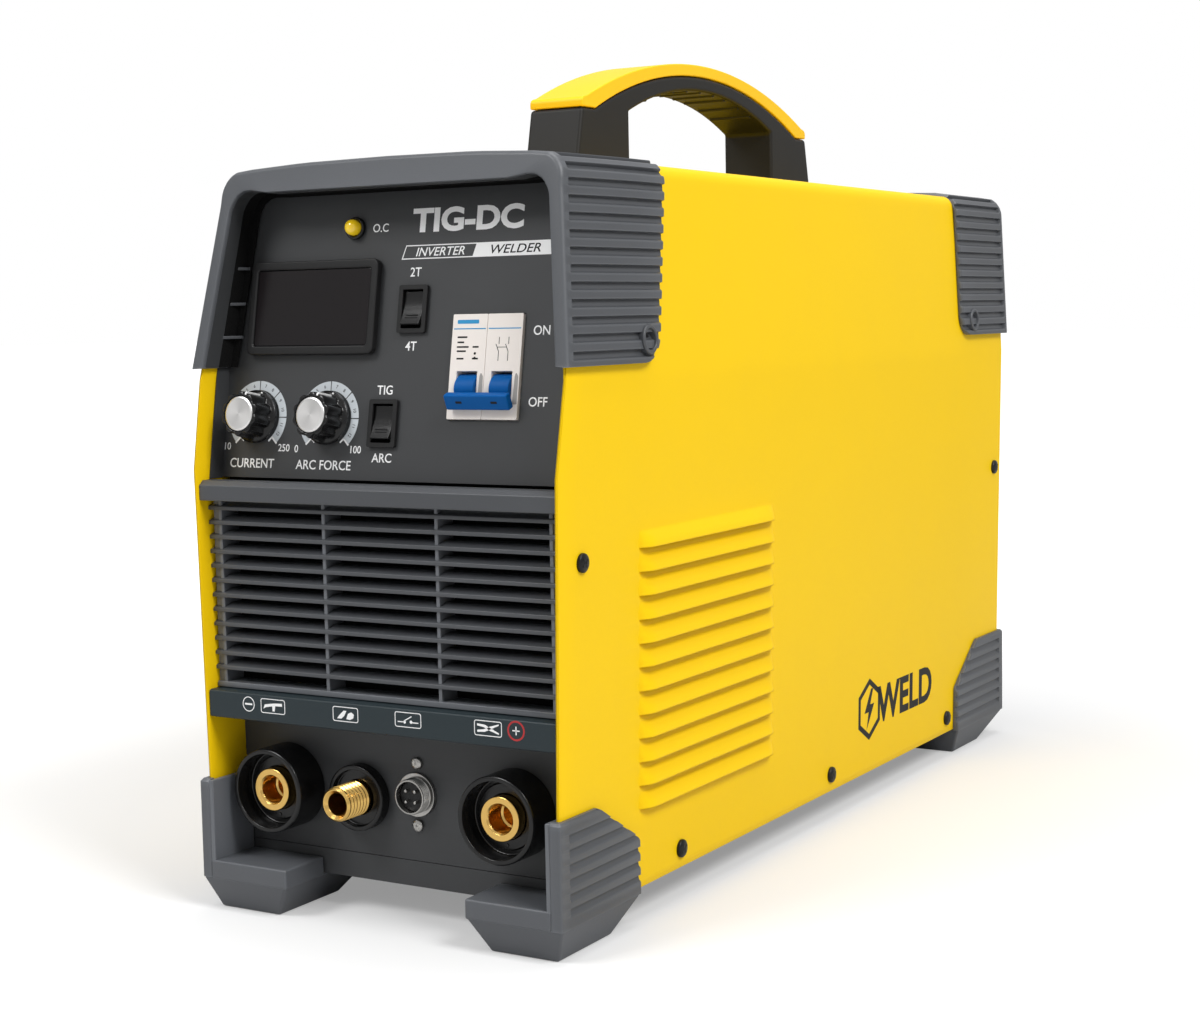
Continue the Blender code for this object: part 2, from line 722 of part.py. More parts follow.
def screw_recess(name, depth, z):
    """Head and shank clearance of the two screws of a bezel or bumper."""
    reach = 2 * BODY_WIDTH
    seat = half_width(z) + SCREW_HEAD_SEAT
    frames = [side_frame(side * (seat + reach / 2), depth, z) for side in (1, -1)]
    heads = cylinders(name + "_heads", SCREW_HEAD_R + SLACK, reach, frames, 16)
    shanks = cylinders(name + "_shanks", SCREW_SHANK_R + SLACK, reach, [side_frame(0, depth, z)], 12)
    return heads, shanks


def front_bezel():
    depth = BEZEL_REACH_Y
    low = BEZEL_BOTTOM_Z - 40 * MM
    bezel = leaning_prism("front_bezel", [bezel_outline(BEZEL_BOTTOM_Z)], -BEZEL_FACE, depth)
    join(bezel, bosses("bezel_bosses", BOSS_Y, BOSS_Z))
    panel_back = PANEL_RECESS - (PANEL_FOOT_Z - CREASE_Z) * math.tan(LEAN) - GAP / math.cos(LEAN)
    cover_ring = section(GAP, low) + list(reversed(section(-SHEET - GAP, low)))
    cut(
        bezel,
        leaning_prism("bezel_cover_slot", [cover_ring], -GAP, 2 * depth),
        leaning_prism("bezel_inside", [section(GAP, low)], panel_back, 2 * depth),
        leaning_prism("bezel_opening", [opening_outline(low)], -4 * BEZEL_FACE, 2 * depth),
        side_grooves("bezel_grooves", BEZEL_BOTTOM_Z, TOP_Z - MM, 6 * MM, 2 * depth, leaning_prism),
        *screw_recess("bezel", BOSS_Y, BOSS_Z),
    )
    return finished(bezel, "front_bezel", "grey_plastic")


def rear_bumper():
    near, far = BUMPER_FRONT_Y, BODY_DEPTH + FOOT_PROUD
    low = BUMPER_BOTTOM_Z - 40 * MM
    bumper = prism("rear_bumper", [bezel_outline(BUMPER_BOTTOM_Z)], near, far)
    join(bumper, bosses("bumper_bosses", BUMPER_BOSS_Y, BUMPER_BOSS_Z))
    cover_ring = section(GAP, low) + list(reversed(section(-SHEET - GAP, low)))
    cut(
        bumper,
        prism("bumper_cover_slot", [cover_ring], near - 40 * MM, BODY_DEPTH + GAP),
        prism("bumper_inside", [section(GAP, low)], near - 40 * MM, REAR_PANEL_Y + REAR_PANEL_THICK + GAP),
        prism("bumper_opening", [opening_outline(low)], near - 40 * MM, far + 40 * MM),
        side_grooves("bumper_grooves", BUMPER_BOTTOM_Z, TOP_Z - MM, near - 40 * MM, far - 6 * MM, prism),
        *screw_recess("bumper", BUMPER_BOSS_Y, BUMPER_BOSS_Z),
    )
    return finished(bumper, "rear_bumper", "grey_plastic")


def bezel_screws():
    seat = half_width(BOSS_Z) + SCREW_HEAD_SEAT + GAP
    profile = [
        (0, SCREW_HEAD_TALL),
        (SCREW_HEAD_R, SCREW_HEAD_TALL),
        (SCREW_HEAD_R, 0),
        (SCREW_SHANK_R, 0),
        (SCREW_SHANK_R, -SCREW_LENGTH),
        (0, -SCREW_LENGTH),
    ]
    for side, name in ((1, "right"), (-1, "left")):
        frame = frame_of(Vector((side * seat, FRONT + BOSS_Y, BOSS_Z)), UP, BACK if side < 0 else -BACK)
        screw = turned("front_bezel_screw", profile, frame, steps=12)
        finished(screw, "front_bezel_screw_" + name, "black_steel")


# ---------------------------------------------------------------- front panels


def slope(z):
    """Distance up the control panel's slope of a height."""
    return (z - PANEL_FOOT_Z) / math.cos(LEAN)


def panel_holes():
    """The cut-outs for everything that passes through the control panel."""
    spigot = (DISPLAY_WINDOW[0] + 2 * SLACK, DISPLAY_WINDOW[1] + 2 * SLACK)
    rocker_hole = (ROCKER_BODY[0] + 2 * SLACK, ROCKER_BODY[1] + 2 * SLACK)
    rockers = [rectangle(rocker_hole, at) for at in ROCKER_AT.values()]
    pots = [circle(SPINDLE_R + BUSHING_WALL + RUNNING + SLACK, 16, at) for at in KNOB_AT.values()]
    nose = (BREAKER_NOSE[0] + 2 * SLACK, BREAKER_NOSE[1] + 2 * SLACK)
    lamp = circle(LAMP_BARREL_R + SLACK, 16, LAMP_AT)
    return [rectangle(spigot, DISPLAY_AT), lamp, rectangle(nose, BREAKER_AT)] + rockers + pots


def control_panel():
    foot_z = GRILLE_TOP_Z + GAP + PANEL_THICK * math.sin(LEAN)
    top = TOP_Z - MM
    outline = [(x, slope(z)) for x, z in inside_section(foot_z, top)]
    frame = panel_frame((0, 0), -PANEL_THICK / 2)
    panel = plate("control_panel", [outline] + panel_holes(), PANEL_THICK, frame)
    return finished(panel, "control_panel", "panel_grey")


def display():
    spigot = DISPLAY_WINDOW
    inner = (spigot[0] - 2 * DISPLAY_WALL, spigot[1] - 2 * DISPLAY_WALL)
    seat = DISPLAY_PROUD - WINDOW_THICK - 0.8 * MM
    middle = (seat - DISPLAY_DEEP) / 2
    loops = [rectangle(spigot), rectangle(inner)]
    body = plate("display_frame", loops, seat + DISPLAY_DEEP, panel_frame(DISPLAY_AT, middle))
    rim = plate(
        "display_rim",
        [rectangle(DISPLAY_SIZE, radius=3 * MM), rectangle(spigot)],
        DISPLAY_PROUD - GAP,
        panel_frame(DISPLAY_AT, (DISPLAY_PROUD + GAP) / 2),
    )
    step = plate(
        "display_step",
        [rectangle(DISPLAY_SIZE, radius=3 * MM), rectangle(inner)],
        seat - GAP,
        panel_frame(DISPLAY_AT, (seat + GAP) / 2),
    )
    join(body, rim, step)
    finished(body, "display_frame", "black_plastic")
    size = (spigot[0] - 2 * GAP, spigot[1] - 2 * GAP)
    window_frame = panel_frame(DISPLAY_AT, seat + GAP + WINDOW_THICK / 2)
    glass = plate("display_window", [rectangle(size)], WINDOW_THICK, window_frame)
    finished(glass, "display_window", "smoked_window")


def indicator_lamp():
    flange_tall = 2.2 * MM
    bore = LAMP_BARREL_R - 0.8 * MM
    holder = [
        (bore, flange_tall),
        (LAMP_FLANGE_R, flange_tall),
        (LAMP_FLANGE_R, GAP),
        (LAMP_BARREL_R, GAP),
        (LAMP_BARREL_R, -LAMP_DEEP),
        (bore, -LAMP_DEEP),
    ]
    finished(turned("holder", holder, panel_frame(LAMP_AT), True, 16), "indicator_holder", "black_plastic")
    rim = flange_tall + GAP
    stem = bore - SLACK
    dome = [(r, rim + MM + h) for h, r in arc((0, 0), LAMP_LENS_R, 0, 90, 3)]
    foot = [(LAMP_LENS_R, rim), (stem, rim), (stem, -LAMP_DEEP), (0, -LAMP_DEEP)]
    lens = [(0.0, rim + MM + LAMP_LENS_R)] + dome[1:] + foot
    finished(turned("lens", lens, panel_frame(LAMP_AT), False, 16), "indicator_lens", "amber_lens")


def potentiometer(name):
    bore = SPINDLE_R + RUNNING
    bushing = bore + BUSHING_WALL
    back = -PANEL_THICK - GAP
    profile = [
        (0, back - POT_DEEP + MM),
        (bore, back - POT_DEEP + MM),
        (bore, BUSHING_TALL),
        (bushing, BUSHING_TALL),
        (bushing, back),
        (POT_R, back),
        (POT_R, back - POT_DEEP),
        (0, back - POT_DEEP),
    ]
    pot = turned("pot", profile, panel_frame(KNOB_AT[name]), steps=20)
    finished(pot, name + "_potentiometer", "nickel")


def knob(name):
    """A knob with the spindle that it is clamped to, and its metal cap."""
    hollow = SPINDLE_R + BUSHING_WALL + 3 * MM
    roof = KNOB_LIFT + 6 * MM
    top = KNOB_LIFT + KNOB_TALL
    seat = top - KNOB_CAP_THICK
    spindle_end = -PANEL_THICK - POT_DEEP + 1.5 * MM
    profile = [
        (0, seat),
        (KNOB_CAP_R + GAP, seat),
        (KNOB_CAP_R + GAP, top),
        (KNOB_R, top),
        (KNOB_R + 0.6 * MM, KNOB_LIFT + 2.5 * MM),
        (KNOB_SKIRT_R, KNOB_LIFT + 2 * MM),
        (KNOB_SKIRT_R, KNOB_LIFT),
        (hollow, KNOB_LIFT),
        (hollow, roof),
        (SPINDLE_R, roof),
        (SPINDLE_R, spindle_end),
        (0, spindle_end),
    ]
    body = turned("knob", profile, panel_frame(KNOB_AT[name]), steps=20)
    finished(body, name + "_knob", "black_plastic")
    crown_top = [(0, top + GAP), (KNOB_CAP_R - MM, top + GAP), (KNOB_CAP_R, top)]
    crown = crown_top + [(KNOB_CAP_R, seat + GAP), (0, seat + GAP)]
    cap = turned("cap", crown, panel_frame(KNOB_AT[name]), steps=20)
    finished(cap, name + "_knob_cap", "spun_aluminium")


def rocker_switch(name):
    at = ROCKER_AT[name]
    frame = panel_frame(at)
    deep = ROCKER_BODY_DEEP
    body = plate("switch", [rectangle(ROCKER_BODY)], deep + MM, panel_frame(at, (MM - deep) / 2))
    flange_middle = (ROCKER_FLANGE_PROUD + GAP) / 2
    flange_frame = panel_frame(at, flange_middle)
    outline = [rectangle(ROCKER_FLANGE, radius=MM)]
    flange = plate("switch_flange", outline, ROCKER_FLANGE_PROUD - GAP, flange_frame)
    join(body, flange)
    half_u, half_v = ROCKER_WELL[0] / 2, ROCKER_WELL[1] / 2
    well = blocks("switch_well", [((-half_u, -half_v, -ROCKER_WELL_DEEP), (half_u, half_v, 5 * MM))], frame)
    pivot = panel_frame(at, -ROCKER_PIVOT_DEPTH)
    axis = pivot @ Matrix.Rotation(math.pi / 2, 4, "Y")
    bore_long = (ROCKER_BODY[0] + ROCKER_WELL[0]) / 2
    cut(body, well, cylinders("switch_bore", ROCKER_PIN_R + RUNNING, bore_long, [axis], 16))
    finished(body, name + "_switch_frame", "black_plastic")
    outline = [
        (-ROCKER_HALF, ROCKER_TIP),
        (0, ROCKER_TIP * 0.62),
        (ROCKER_HALF, ROCKER_TIP),
        (ROCKER_HALF, ROCKER_TIP - 2.2 * MM),
        (2.5 * MM, -5 * MM),
        (-2.5 * MM, -5 * MM),
        (-ROCKER_HALF, ROCKER_TIP - 2.2 * MM),
    ]
    turn = pivot @ Matrix.Rotation(-ROCKER_TILT, 4, "X")
    stand = Matrix(((0, 0, 1, 0), (1, 0, 0, 0), (0, 1, 0, 0), (0, 0, 0, 1)))
    rocker = plate("rocker", [outline], ROCKER_WELL[0] - 2 * GAP, stand, Matrix.Identity(4))
    rocker.matrix_world = turn
    pin = cylinders("rocker_pin", ROCKER_PIN_R, bore_long - 2 * GAP, [axis], 16)
    join(rocker, pin)
    finished(rocker, name + "_rocker", "black_plastic")


def toggle_frame():
    """On the drum's axis, turned to the OFF position: v from the axle towards the bar's side, w out."""
    centre = (BREAKER_AT[0], BREAKER_AT[1] - TOGGLE_DOWN)
    return panel_frame(centre, BREAKER_PROUD - TOGGLE_DEPTH)


def drum_places():
    """Middle of each drum, across from the breaker's middle."""
    pole = BREAKER_NOSE[0] / 2
    return (-pole / 2, pole / 2)


def breaker():
    nose_low = -PANEL_THICK - BREAKER_STEP
    nose = plate(
        "breaker",
        [rectangle(BREAKER_NOSE, radius=0.8 * MM)],
        BREAKER_PROUD - nose_low,
        panel_frame(BREAKER_AT, (BREAKER_PROUD + nose_low) / 2),
    )
    half_u, half_v = BREAKER_NOSE[0] / 2, BREAKER_BODY_TALL / 2
    rear = [((-half_u, -half_v, -BREAKER_DEEP), (half_u, half_v, -PANEL_THICK - GAP))]
    join(nose, blocks("breaker_rear", rear, panel_frame(BREAKER_AT)))
    axis_frame = toggle_frame()
    reach = DRUM_R + 0.6 * MM
    slots = []
    for middle in drum_places():
        low = (middle - DRUM_SLOT_WIDE / 2, -reach, -reach)
        slots.append((low, (middle + DRUM_SLOT_WIDE / 2, reach, 4 * DRUM_R)))
    axle = axis_frame @ Matrix.Rotation(math.pi / 2, 4, "Y")
    axle_long = BREAKER_NOSE[0] - 2 * MM
    axle_bore = cylinders("axle_bore", TOGGLE_AXLE_R + RUNNING, axle_long, [axle], 16)
    cut(nose, blocks("drum_slots", slots, axis_frame), axle_bore)
    finished(nose, "breaker_body", "breaker_white")
    off = axis_frame @ Matrix.Rotation(-TOGGLE_OFF, 4, "X")
    across = Matrix.Rotation(math.pi / 2, 4, "Y")
    drums = [axis_frame @ Matrix.Translation((middle, 0, 0)) @ across for middle in drum_places()]
    bar_wide, bar_tall, bar_deep = TOGGLE_BAR
    bar_low = (-bar_wide / 2, -bar_tall / 2, TOGGLE_REACH - bar_deep)
    bar_high = (bar_wide / 2, bar_tall / 2, TOGGLE_REACH + bar_deep / 2)
    bar = [(bar_low, bar_high)]
    toggle = blocks("toggle", bar, off)
    half = DRUM_WIDE / 2
    thick = TOGGLE_LEVER_THICK / 2
    levers = [((m - half + GAP, -thick, 0), (m + half - GAP, thick, TOGGLE_REACH)) for m in drum_places()]
    join(
        toggle,
        blocks("toggle_levers", levers, off),
        cylinders("toggle_drums", DRUM_R, DRUM_WIDE, drums, 20),
        cylinders("toggle_axle", TOGGLE_AXLE_R, axle_long - 2 * GAP, [axle], 16),
    )
    finished(toggle, "breaker_toggle", "toggle_blue")


def grille_slots():
    """Air slots between the slats, in three columns."""
    low = GRILLE_FOOT_Z + GRILLE_BAR
    high = GRILLE_TOP_Z - LEDGE_TALL
    pitch = (high - low) / SLAT_COUNT
    edge = half_width(GRILLE_FOOT_Z) - SHEET - GAP - GRILLE_SIDE
    columns = [-edge, -edge / 3, edge / 3, edge]
    slots = []
    for row in range(SLAT_COUNT):
        z = low + pitch * row + (pitch - SLAT_TALL) / 2
        for left, right in zip(columns, columns[1:]):
            size = (right - left - GRILLE_BAR, pitch - SLAT_TALL)
            slots.append(rectangle(size, ((left + right) / 2, z)))
    return slots


def front_grille():
    high, low = GRILLE_TOP_Z, GRILLE_FOOT_Z
    half_high = half_width(high) - SHEET - GAP
    half_low = half_width(low) - SHEET - GAP
    outline = [(-half_low, low), (half_low, low), (half_high, high), (-half_high, high)]
    grille = prism("front_grille", [outline] + grille_slots(), GRILLE_FACE_Y, GRILLE_FACE_Y + GRILLE_DEEP)
    half = half_width(high - LEDGE_TALL) - SHEET - GAP
    ledge_low = (-half, FRONT + LEDGE_FACE_Y, high - LEDGE_TALL)
    ledge_high = (half, FRONT + GRILLE_FACE_Y + GRILLE_DEEP / 4, high)
    join(grille, blocks("grille_ledge", [(ledge_low, ledge_high)]))
    return finished(grille, "front_grille", "grey_plastic")


def symbol_strip():
    face, back = STRIP_FACE_Y, CONNECTOR_Y + CONNECTOR_THICK
    low, high = STRIP_FOOT_Z, GRILLE_FOOT_Z - GAP
    wall = STRIP_THICK
    top_back = GRILLE_FACE_Y + GRILLE_DEEP
    outline = [
        (face, low + MM),
        (face + MM, low),
        (back, low),
        (back, low + wall),
        (face + wall, low + wall),
        (face + wall, high - wall),
        (top_back, high - wall),
        (top_back, high),
        (face + MM, high),
        (face, high - MM),
    ]
    half = half_width(low) - SHEET - GAP
    strip = side_prism("symbol_strip", outline, -half, half)
    return finished(strip, "symbol_strip", "strip_blue_grey")


def connector_holes():
    sockets = [circle(SOCKET_SPIGOT_R + SLACK, 24, at) for at in SOCKET_AT.values()]
    gas = circle(GAS_NIPPLE_R + SLACK, 20, GAS_AT)
    control = circle(CONTROL_R + SLACK, 20, CONTROL_AT)
    screws = [circle(CONTROL_SCREW_R + SLACK, 12, at) for at in CONTROL_SCREWS.values()]
    return sockets + [gas, control] + screws


def connector_panel():
    low, high = CONNECTOR_FOOT_Z, STRIP_FOOT_Z - GAP
    half_low = half_width(low) - SHEET - GAP
    half_high = half_width(high) - SHEET - GAP
    outline = [(-half_low, low), (half_low, low), (half_high, high), (-half_high, high)]
    loops = [outline] + connector_holes()
    panel = prism("connector_panel", loops, CONNECTOR_Y, CONNECTOR_Y + CONNECTOR_THICK)
    return finished(panel, "connector_panel", "panel_grey")


# ---------------------------------------------------------------- connectors


def weld_socket(name):
    frame = front_frame(SOCKET_AT[name][0], CONNECTOR_Y, SOCKET_AT[name][1])
    bore = BRASS_R + GAP
    cup = SOCKET_R - SOCKET_LIP
    insulator = [
        (bore, SOCKET_FLOOR),
        (cup, SOCKET_FLOOR),
        (cup, SOCKET_PROUD),
        (SOCKET_R - MM, SOCKET_PROUD),
        (SOCKET_R, SOCKET_PROUD - MM),
        (SOCKET_R, GAP),
        (SOCKET_SPIGOT_R, GAP),
        (SOCKET_SPIGOT_R, -SOCKET_SPIGOT_DEEP),
        (bore, -SOCKET_SPIGOT_DEEP),
    ]
    finished(turned("insulator", insulator, frame, True, 24), name + "_socket_insulator", "black_plastic")
    floor = BRASS_PROUD - BRASS_BORE_DEEP
    brass = [
        (0, floor),
        (BRASS_BORE_R, floor),
        (BRASS_BORE_R, BRASS_PROUD - MM),
        (BRASS_BORE_R + MM, BRASS_PROUD),
        (BRASS_R - 0.6 * MM, BRASS_PROUD),
        (BRASS_R, BRASS_PROUD - 0.6 * MM),
        (BRASS_R, -SOCKET_SPIGOT_DEEP),
        (BRASS_STUD_R, -SOCKET_SPIGOT_DEEP),
        (BRASS_STUD_R, -BRASS_DEEP),
        (0, -BRASS_DEEP),
    ]
    finished(turned("brass", brass, frame, False, 20), name + "_socket_brass", "brass")


def gas_outlet():
    frame = front_frame(GAS_AT[0], CONNECTOR_Y, GAS_AT[1])
    bore = GAS_NIPPLE_R + GAP
    cup = GAS_CUP_R - SOCKET_LIP
    flange = [
        (bore, GAS_CUP_FLOOR),
        (cup, GAS_CUP_FLOOR),
        (cup, GAS_CUP_TALL),
        (GAS_CUP_R - MM, GAS_CUP_TALL),
        (GAS_CUP_R, GAS_CUP_TALL - MM),
        (GAS_CUP_R, GAP),
        (bore, GAP),
    ]
    finished(turned("flange", flange, frame, True, 20), "gas_outlet_flange", "black_plastic")
    nipple = [
        (GAS_BORE_R, GAS_PROUD - MM),
        (GAS_BORE_R + MM, GAS_PROUD),
        (GAS_NIPPLE_R - MM, GAS_PROUD),
        (GAS_NIPPLE_R, GAS_PROUD - MM),
        (GAS_NIPPLE_R, -GAS_DEEP),
        (GAS_BORE_R, -GAS_DEEP),
    ]
    finished(turned("nipple", nipple, frame, True, 20), "gas_outlet_nipple", "brass")


def control_socket():
    frame = front_frame(CONTROL_AT[0], CONNECTOR_Y, CONTROL_AT[1])
    bore = CONTROL_R - CONTROL_WALL
    shell = [
        (bore, CONTROL_PROUD),
        (CONTROL_R, CONTROL_PROUD),
        (CONTROL_R, CONTROL_BASE_TALL + GAP),
        (CONTROL_BASE_R, CONTROL_BASE_TALL + GAP),
        (CONTROL_BASE_R, GAP),
        (CONTROL_R, GAP),
        (CONTROL_R, -CONTROL_DEEP),
        (bore, -CONTROL_DEEP),
    ]
    finished(turned("shell", shell, frame, True, 18), "control_socket_shell", "nickel")
    plug = bore - GAP
    face = [(0, CONTROL_INSERT_PROUD), (plug, CONTROL_INSERT_PROUD)]
    insert = face + [(plug, -CONTROL_DEEP), (0, -CONTROL_DEEP)]
    finished(turned("insert", insert, frame, False, 16), "control_socket_insert", "black_plastic")


def control_screw(name):
    head, tall, length = CONTROL_SCREW_HEAD_R, 1.8 * MM, 8 * MM
    profile = [
        (0, tall),
        (head * 0.7, tall * 0.8),
        (head, GAP),
        (CONTROL_SCREW_R, GAP),
        (CONTROL_SCREW_R, -length),
        (0, -length),
    ]
    frame = front_frame(CONTROL_SCREWS[name][0], CONNECTOR_Y, CONTROL_SCREWS[name][1])
    finished(turned("screw", profile, frame, steps=12), "control_socket_screw_" + name, "nickel")


# ---------------------------------------------------------------- feet and handle


def foot(name, side, front):
    """A corner foot: the wall outside the cover, the post over its edge, the platform and the pad."""
    profile = FRONT_FOOT_PROFILE if front else REAR_FOOT_PROFILE
    pad = FRONT_FOOT_PAD if front else REAR_FOOT_PAD
    end = -FOOT_PROUD if front else BODY_DEPTH + FOOT_PROUD
    way = 1 if front else -1
    outer = half_width(BASE_Z) + FOOT_WALL
    length = profile[-1][0]
    overlap = FOOT_SLAB / 2
    pad_top = BASE_Z - GAP
    low = pad_top - overlap
    loop = [(end + way * u, v) for u, v in ((0, low),) + profile + ((length, low),)]
    post = half_width(BASE_Z) - FOOT_POST_IN
    wall = side_prism(name, loop, *sorted((side * post, side * outer)))
    inside = section(GAP, BASE_Z - GAP)
    edge = (-GAP, BODY_DEPTH) if front else (0, BODY_DEPTH + GAP)
    cut(wall, prism(name + "_cover_space", [inside], *edge))
    platform_back = CONNECTOR_Y - GAP if front else REAR_PANEL_Y + REAR_PANEL_THICK + GAP
    near, far = sorted((end, platform_back))
    shelf = half_width(BASE_Z) - SHEET - GAP
    left, right = sorted((side * FOOT_INNER_X, side * shelf))
    low_corner, high_corner = (left, FRONT + near, low), (right, FRONT + far, PLATFORM_TOP_Z)
    shelf_solid = blocks(name + "_platform", [(low_corner, high_corner)])
    bm = bmesh.new()
    bmesh.ops.create_cube(bm, size=1)
    for vert in bm.verts:
        x = FOOT_INNER_X if vert.co.x < 0 else outer
        depth = end + way * (0 if vert.co.y < 0 else length)
        vert.co = (side * x, FRONT + depth, pad_top if vert.co.z > 0 else pad_top - FOOT_SLAB)
    bmesh.ops.recalc_face_normals(bm, faces=bm.faces)
    sole = min(bm.faces, key=lambda face: face.calc_center_median().z)
    made = bmesh.ops.extrude_discrete_faces(bm, faces=[sole])["faces"][0]
    for vert in made.verts:
        inner = abs(vert.co.x) < (FOOT_INNER_X + outer) / 2
        x = FOOT_INNER_X + FOOT_PAD_INNER if inner else outer - FOOT_PAD_OUTER
        near_end = abs(vert.co.y - FRONT - end) < length / 2
        vert.co = (side * x, FRONT + end + way * (pad[0] if near_end else pad[1]), 0)
    join(wall, mesh_object(name + "_pad", bm, Matrix.Identity(4)), shelf_solid)
    return finished(wall, name, "grey_plastic")


def rise_radius(half, rise):
    """Radius of the arc that rises this much over this half span."""
    return (half * half + rise * rise) / (2 * rise)


def crown_arc(half, apex, radius, steps):
    """Points of an arc over the handle, from its front end to its rear end."""
    reach = math.degrees(math.asin(half / radius))
    return arc((HANDLE_MIDDLE_Y, apex - radius), radius, 90 + reach, 90 - reach, steps)


def handle_heights():
    """Apex heights: of the window, the split between frame and cap, and the cap's top."""
    foot = TOP_Z + GAP
    window = foot + HANDLE_WINDOW_TALL + HANDLE_WINDOW_RISE
    split = window + HANDLE_GRIP
    return foot, window, split, split + HANDLE_CAP


def handle():
    foot, window, split, top = handle_heights()
    shoulder = foot + HANDLE_SHOULDER
    middle = HANDLE_MIDDLE_Y
    split_radius = rise_radius(HANDLE_SPLIT_HALF, split - shoulder)
    window_radius = rise_radius(HANDLE_WINDOW_HALF, HANDLE_WINDOW_RISE)
    over = crown_arc(HANDLE_SPLIT_HALF, split, split_radius, 14)
    under = crown_arc(HANDLE_WINDOW_HALF, window, window_radius, 12)
    outline = (
        [(middle - HANDLE_HALF_FOOT, foot), (middle - HANDLE_HALF_SHOULDER, shoulder)]
        + over
        + [(middle + HANDLE_HALF_SHOULDER, shoulder), (middle + HANDLE_HALF_FOOT, foot)]
        + [(middle + HANDLE_WINDOW_HALF, foot)]
        + list(reversed(under))
        + [(middle - HANDLE_WINDOW_HALF, foot)]
    )
    half = HANDLE_WIDE / 2
    finished(side_prism("handle", outline, -half, half), "handle_frame", "handle_black")
    lift = GAP
    seat = crown_arc(HANDLE_SPLIT_HALF, split + lift, split_radius, 14)
    end_top = shoulder + HANDLE_CAP
    crown_half = HANDLE_HALF_SHOULDER - HANDLE_CAP_CORNER_R
    crown = crown_arc(crown_half, top, rise_radius(crown_half, top - end_top), 14)
    front, rear = middle - HANDLE_HALF_SHOULDER, middle + HANDLE_HALF_SHOULDER
    low, high = shoulder + lift, end_top - HANDLE_CAP_CORNER_R / 2
    cap = seat + [(rear, low), (rear, high)] + list(reversed(crown)) + [(front, high), (front, low)]
    finished(side_prism("cap", cap, -half, half), "handle_cap", "yellow_plastic")


# ---------------------------------------------------------------- rear


def rear_holes():
    fan = circle(FAN_BORE_R, 32, FAN_AT)
    gland = circle(GLAND_R - 3 * MM + SLACK, 20, GLAND_AT)
    inlet = circle(INLET_THREAD_R + SLACK, 14, INLET_AT)
    earth = circle(EARTH_SHANK_R + SLACK, 12, EARTH_AT)
    return [fan, gland, inlet, earth]


def rear_panel():
    loops = [inside_section(BASE_Z + SHEET + GAP)] + rear_holes()
    panel = prism("rear_panel", loops, REAR_PANEL_Y, REAR_PANEL_Y + REAR_PANEL_THICK)
    return finished(panel, "rear_panel", "panel_grey")


def fan():
    x, z = FAN_AT
    back = REAR_PANEL_Y - GAP
    front = back - FAN_DEEP
    square = rectangle((FAN_SIZE, FAN_SIZE), FAN_AT, 4 * MM)
    body = prism("fan_frame", [square, circle(FAN_BORE_R, 32, FAN_AT)], front, back)
    plate_middle = front_frame(x, front + FAN_PLATE_THICK / 2, z)
    arm = FAN_BORE_R + 1.2 * MM
    thick = FAN_PLATE_THICK / 2
    arms = [((-arm, -thick, -thick), (arm, thick, thick)), ((-thick, -arm, -thick), (thick, arm, thick))]
    pin_end = back - 4 * MM
    pin = front_frame(x, (front + MM + pin_end) / 2, z)
    join(
        body,
        blocks("fan_arm_across", arms[:1], plate_middle),
        blocks("fan_arm_up", arms[1:], plate_middle),
        cylinders("fan_motor_plate", FAN_HUB_R, FAN_PLATE_THICK, [plate_middle], 20),
        cylinders("fan_pin", FAN_PIN_R, pin_end - front - MM, [pin], 24),
    )
    finished(body, "fan_frame", "black_plastic")
    hub_front = front + FAN_PLATE_THICK + GAP
    hub_back = back - 2 * MM
    hub_middle = (hub_front + hub_back) / 2
    hub = rear_frame(x, hub_middle, z)
    tall = (hub_back - hub_front) / 2
    bore = FAN_PIN_R + RUNNING
    profile = [
        (0, tall),
        (FAN_HUB_R, tall),
        (FAN_HUB_R, -tall),
        (bore, -tall),
        (bore, tall - 1.5 * MM),
        (0, tall - 1.5 * MM),
    ]
    rotor = turned("fan_rotor", profile, hub, steps=20)
    join(rotor, fan_blades(hub, tall))
    finished(rotor, "fan_rotor", "black_plastic")


def fan_blades(hub, tall):
    """Pitched blades round the hub, as separate solids in one helper."""
    bm = bmesh.new()
    root, tip = FAN_HUB_R - 2 * MM, FAN_BORE_R - FAN_TIP_CLEAR
    chord = min(FAN_BLADE_CHORD, 2.4 * tall)
    for index in range(FAN_BLADES):
        turn = Matrix.Rotation(2 * math.pi * index / FAN_BLADES, 4, "Z")
        pitch = Matrix.Rotation(math.radians(38), 4, "X")
        size = Matrix.Diagonal((tip - root, chord, FAN_BLADE_THICK, 1))
        place = turn @ Matrix.Translation(((root + tip) / 2, 0, 0)) @ pitch @ size
        bmesh.ops.create_cube(bm, size=1, matrix=place)
    return mesh_object("fan_blades", bm, hub)


def guard_slot(inner, outer, start, end):
    """An annular slot's outline."""
    return arc(FAN_AT, outer, start, end, 4) + arc(FAN_AT, inner, end, start, 4)


def fan_guard():
    rim = FAN_BORE_R + 2 * GUARD_WIRE
    hub = FAN_HUB_R * 0.7
    pitch = (FAN_BORE_R - hub) / GUARD_RINGS
    spoke = 360 / GUARD_SPOKES
    loops = [circle(rim, 32, FAN_AT)]
    for ring in range(GUARD_RINGS):
        inner = hub + ring * pitch
        outer = inner + pitch - GUARD_WIRE
        side = math.degrees(GUARD_WIRE / 2 / inner)
        for index in range(GUARD_SPOKES):
            start = 45 + index * spoke
            loops.append(guard_slot(inner, outer, start + side, start + spoke - side))
    near = REAR_PANEL_Y + REAR_PANEL_THICK + GAP
    guard = prism("fan_guard", loops, near, near + GUARD_THICK)
    return finished(guard, "fan_guard", "black_steel")


def rear_fitting(at):
    return rear_frame(at[0], REAR_PANEL_Y + REAR_PANEL_THICK, at[1])


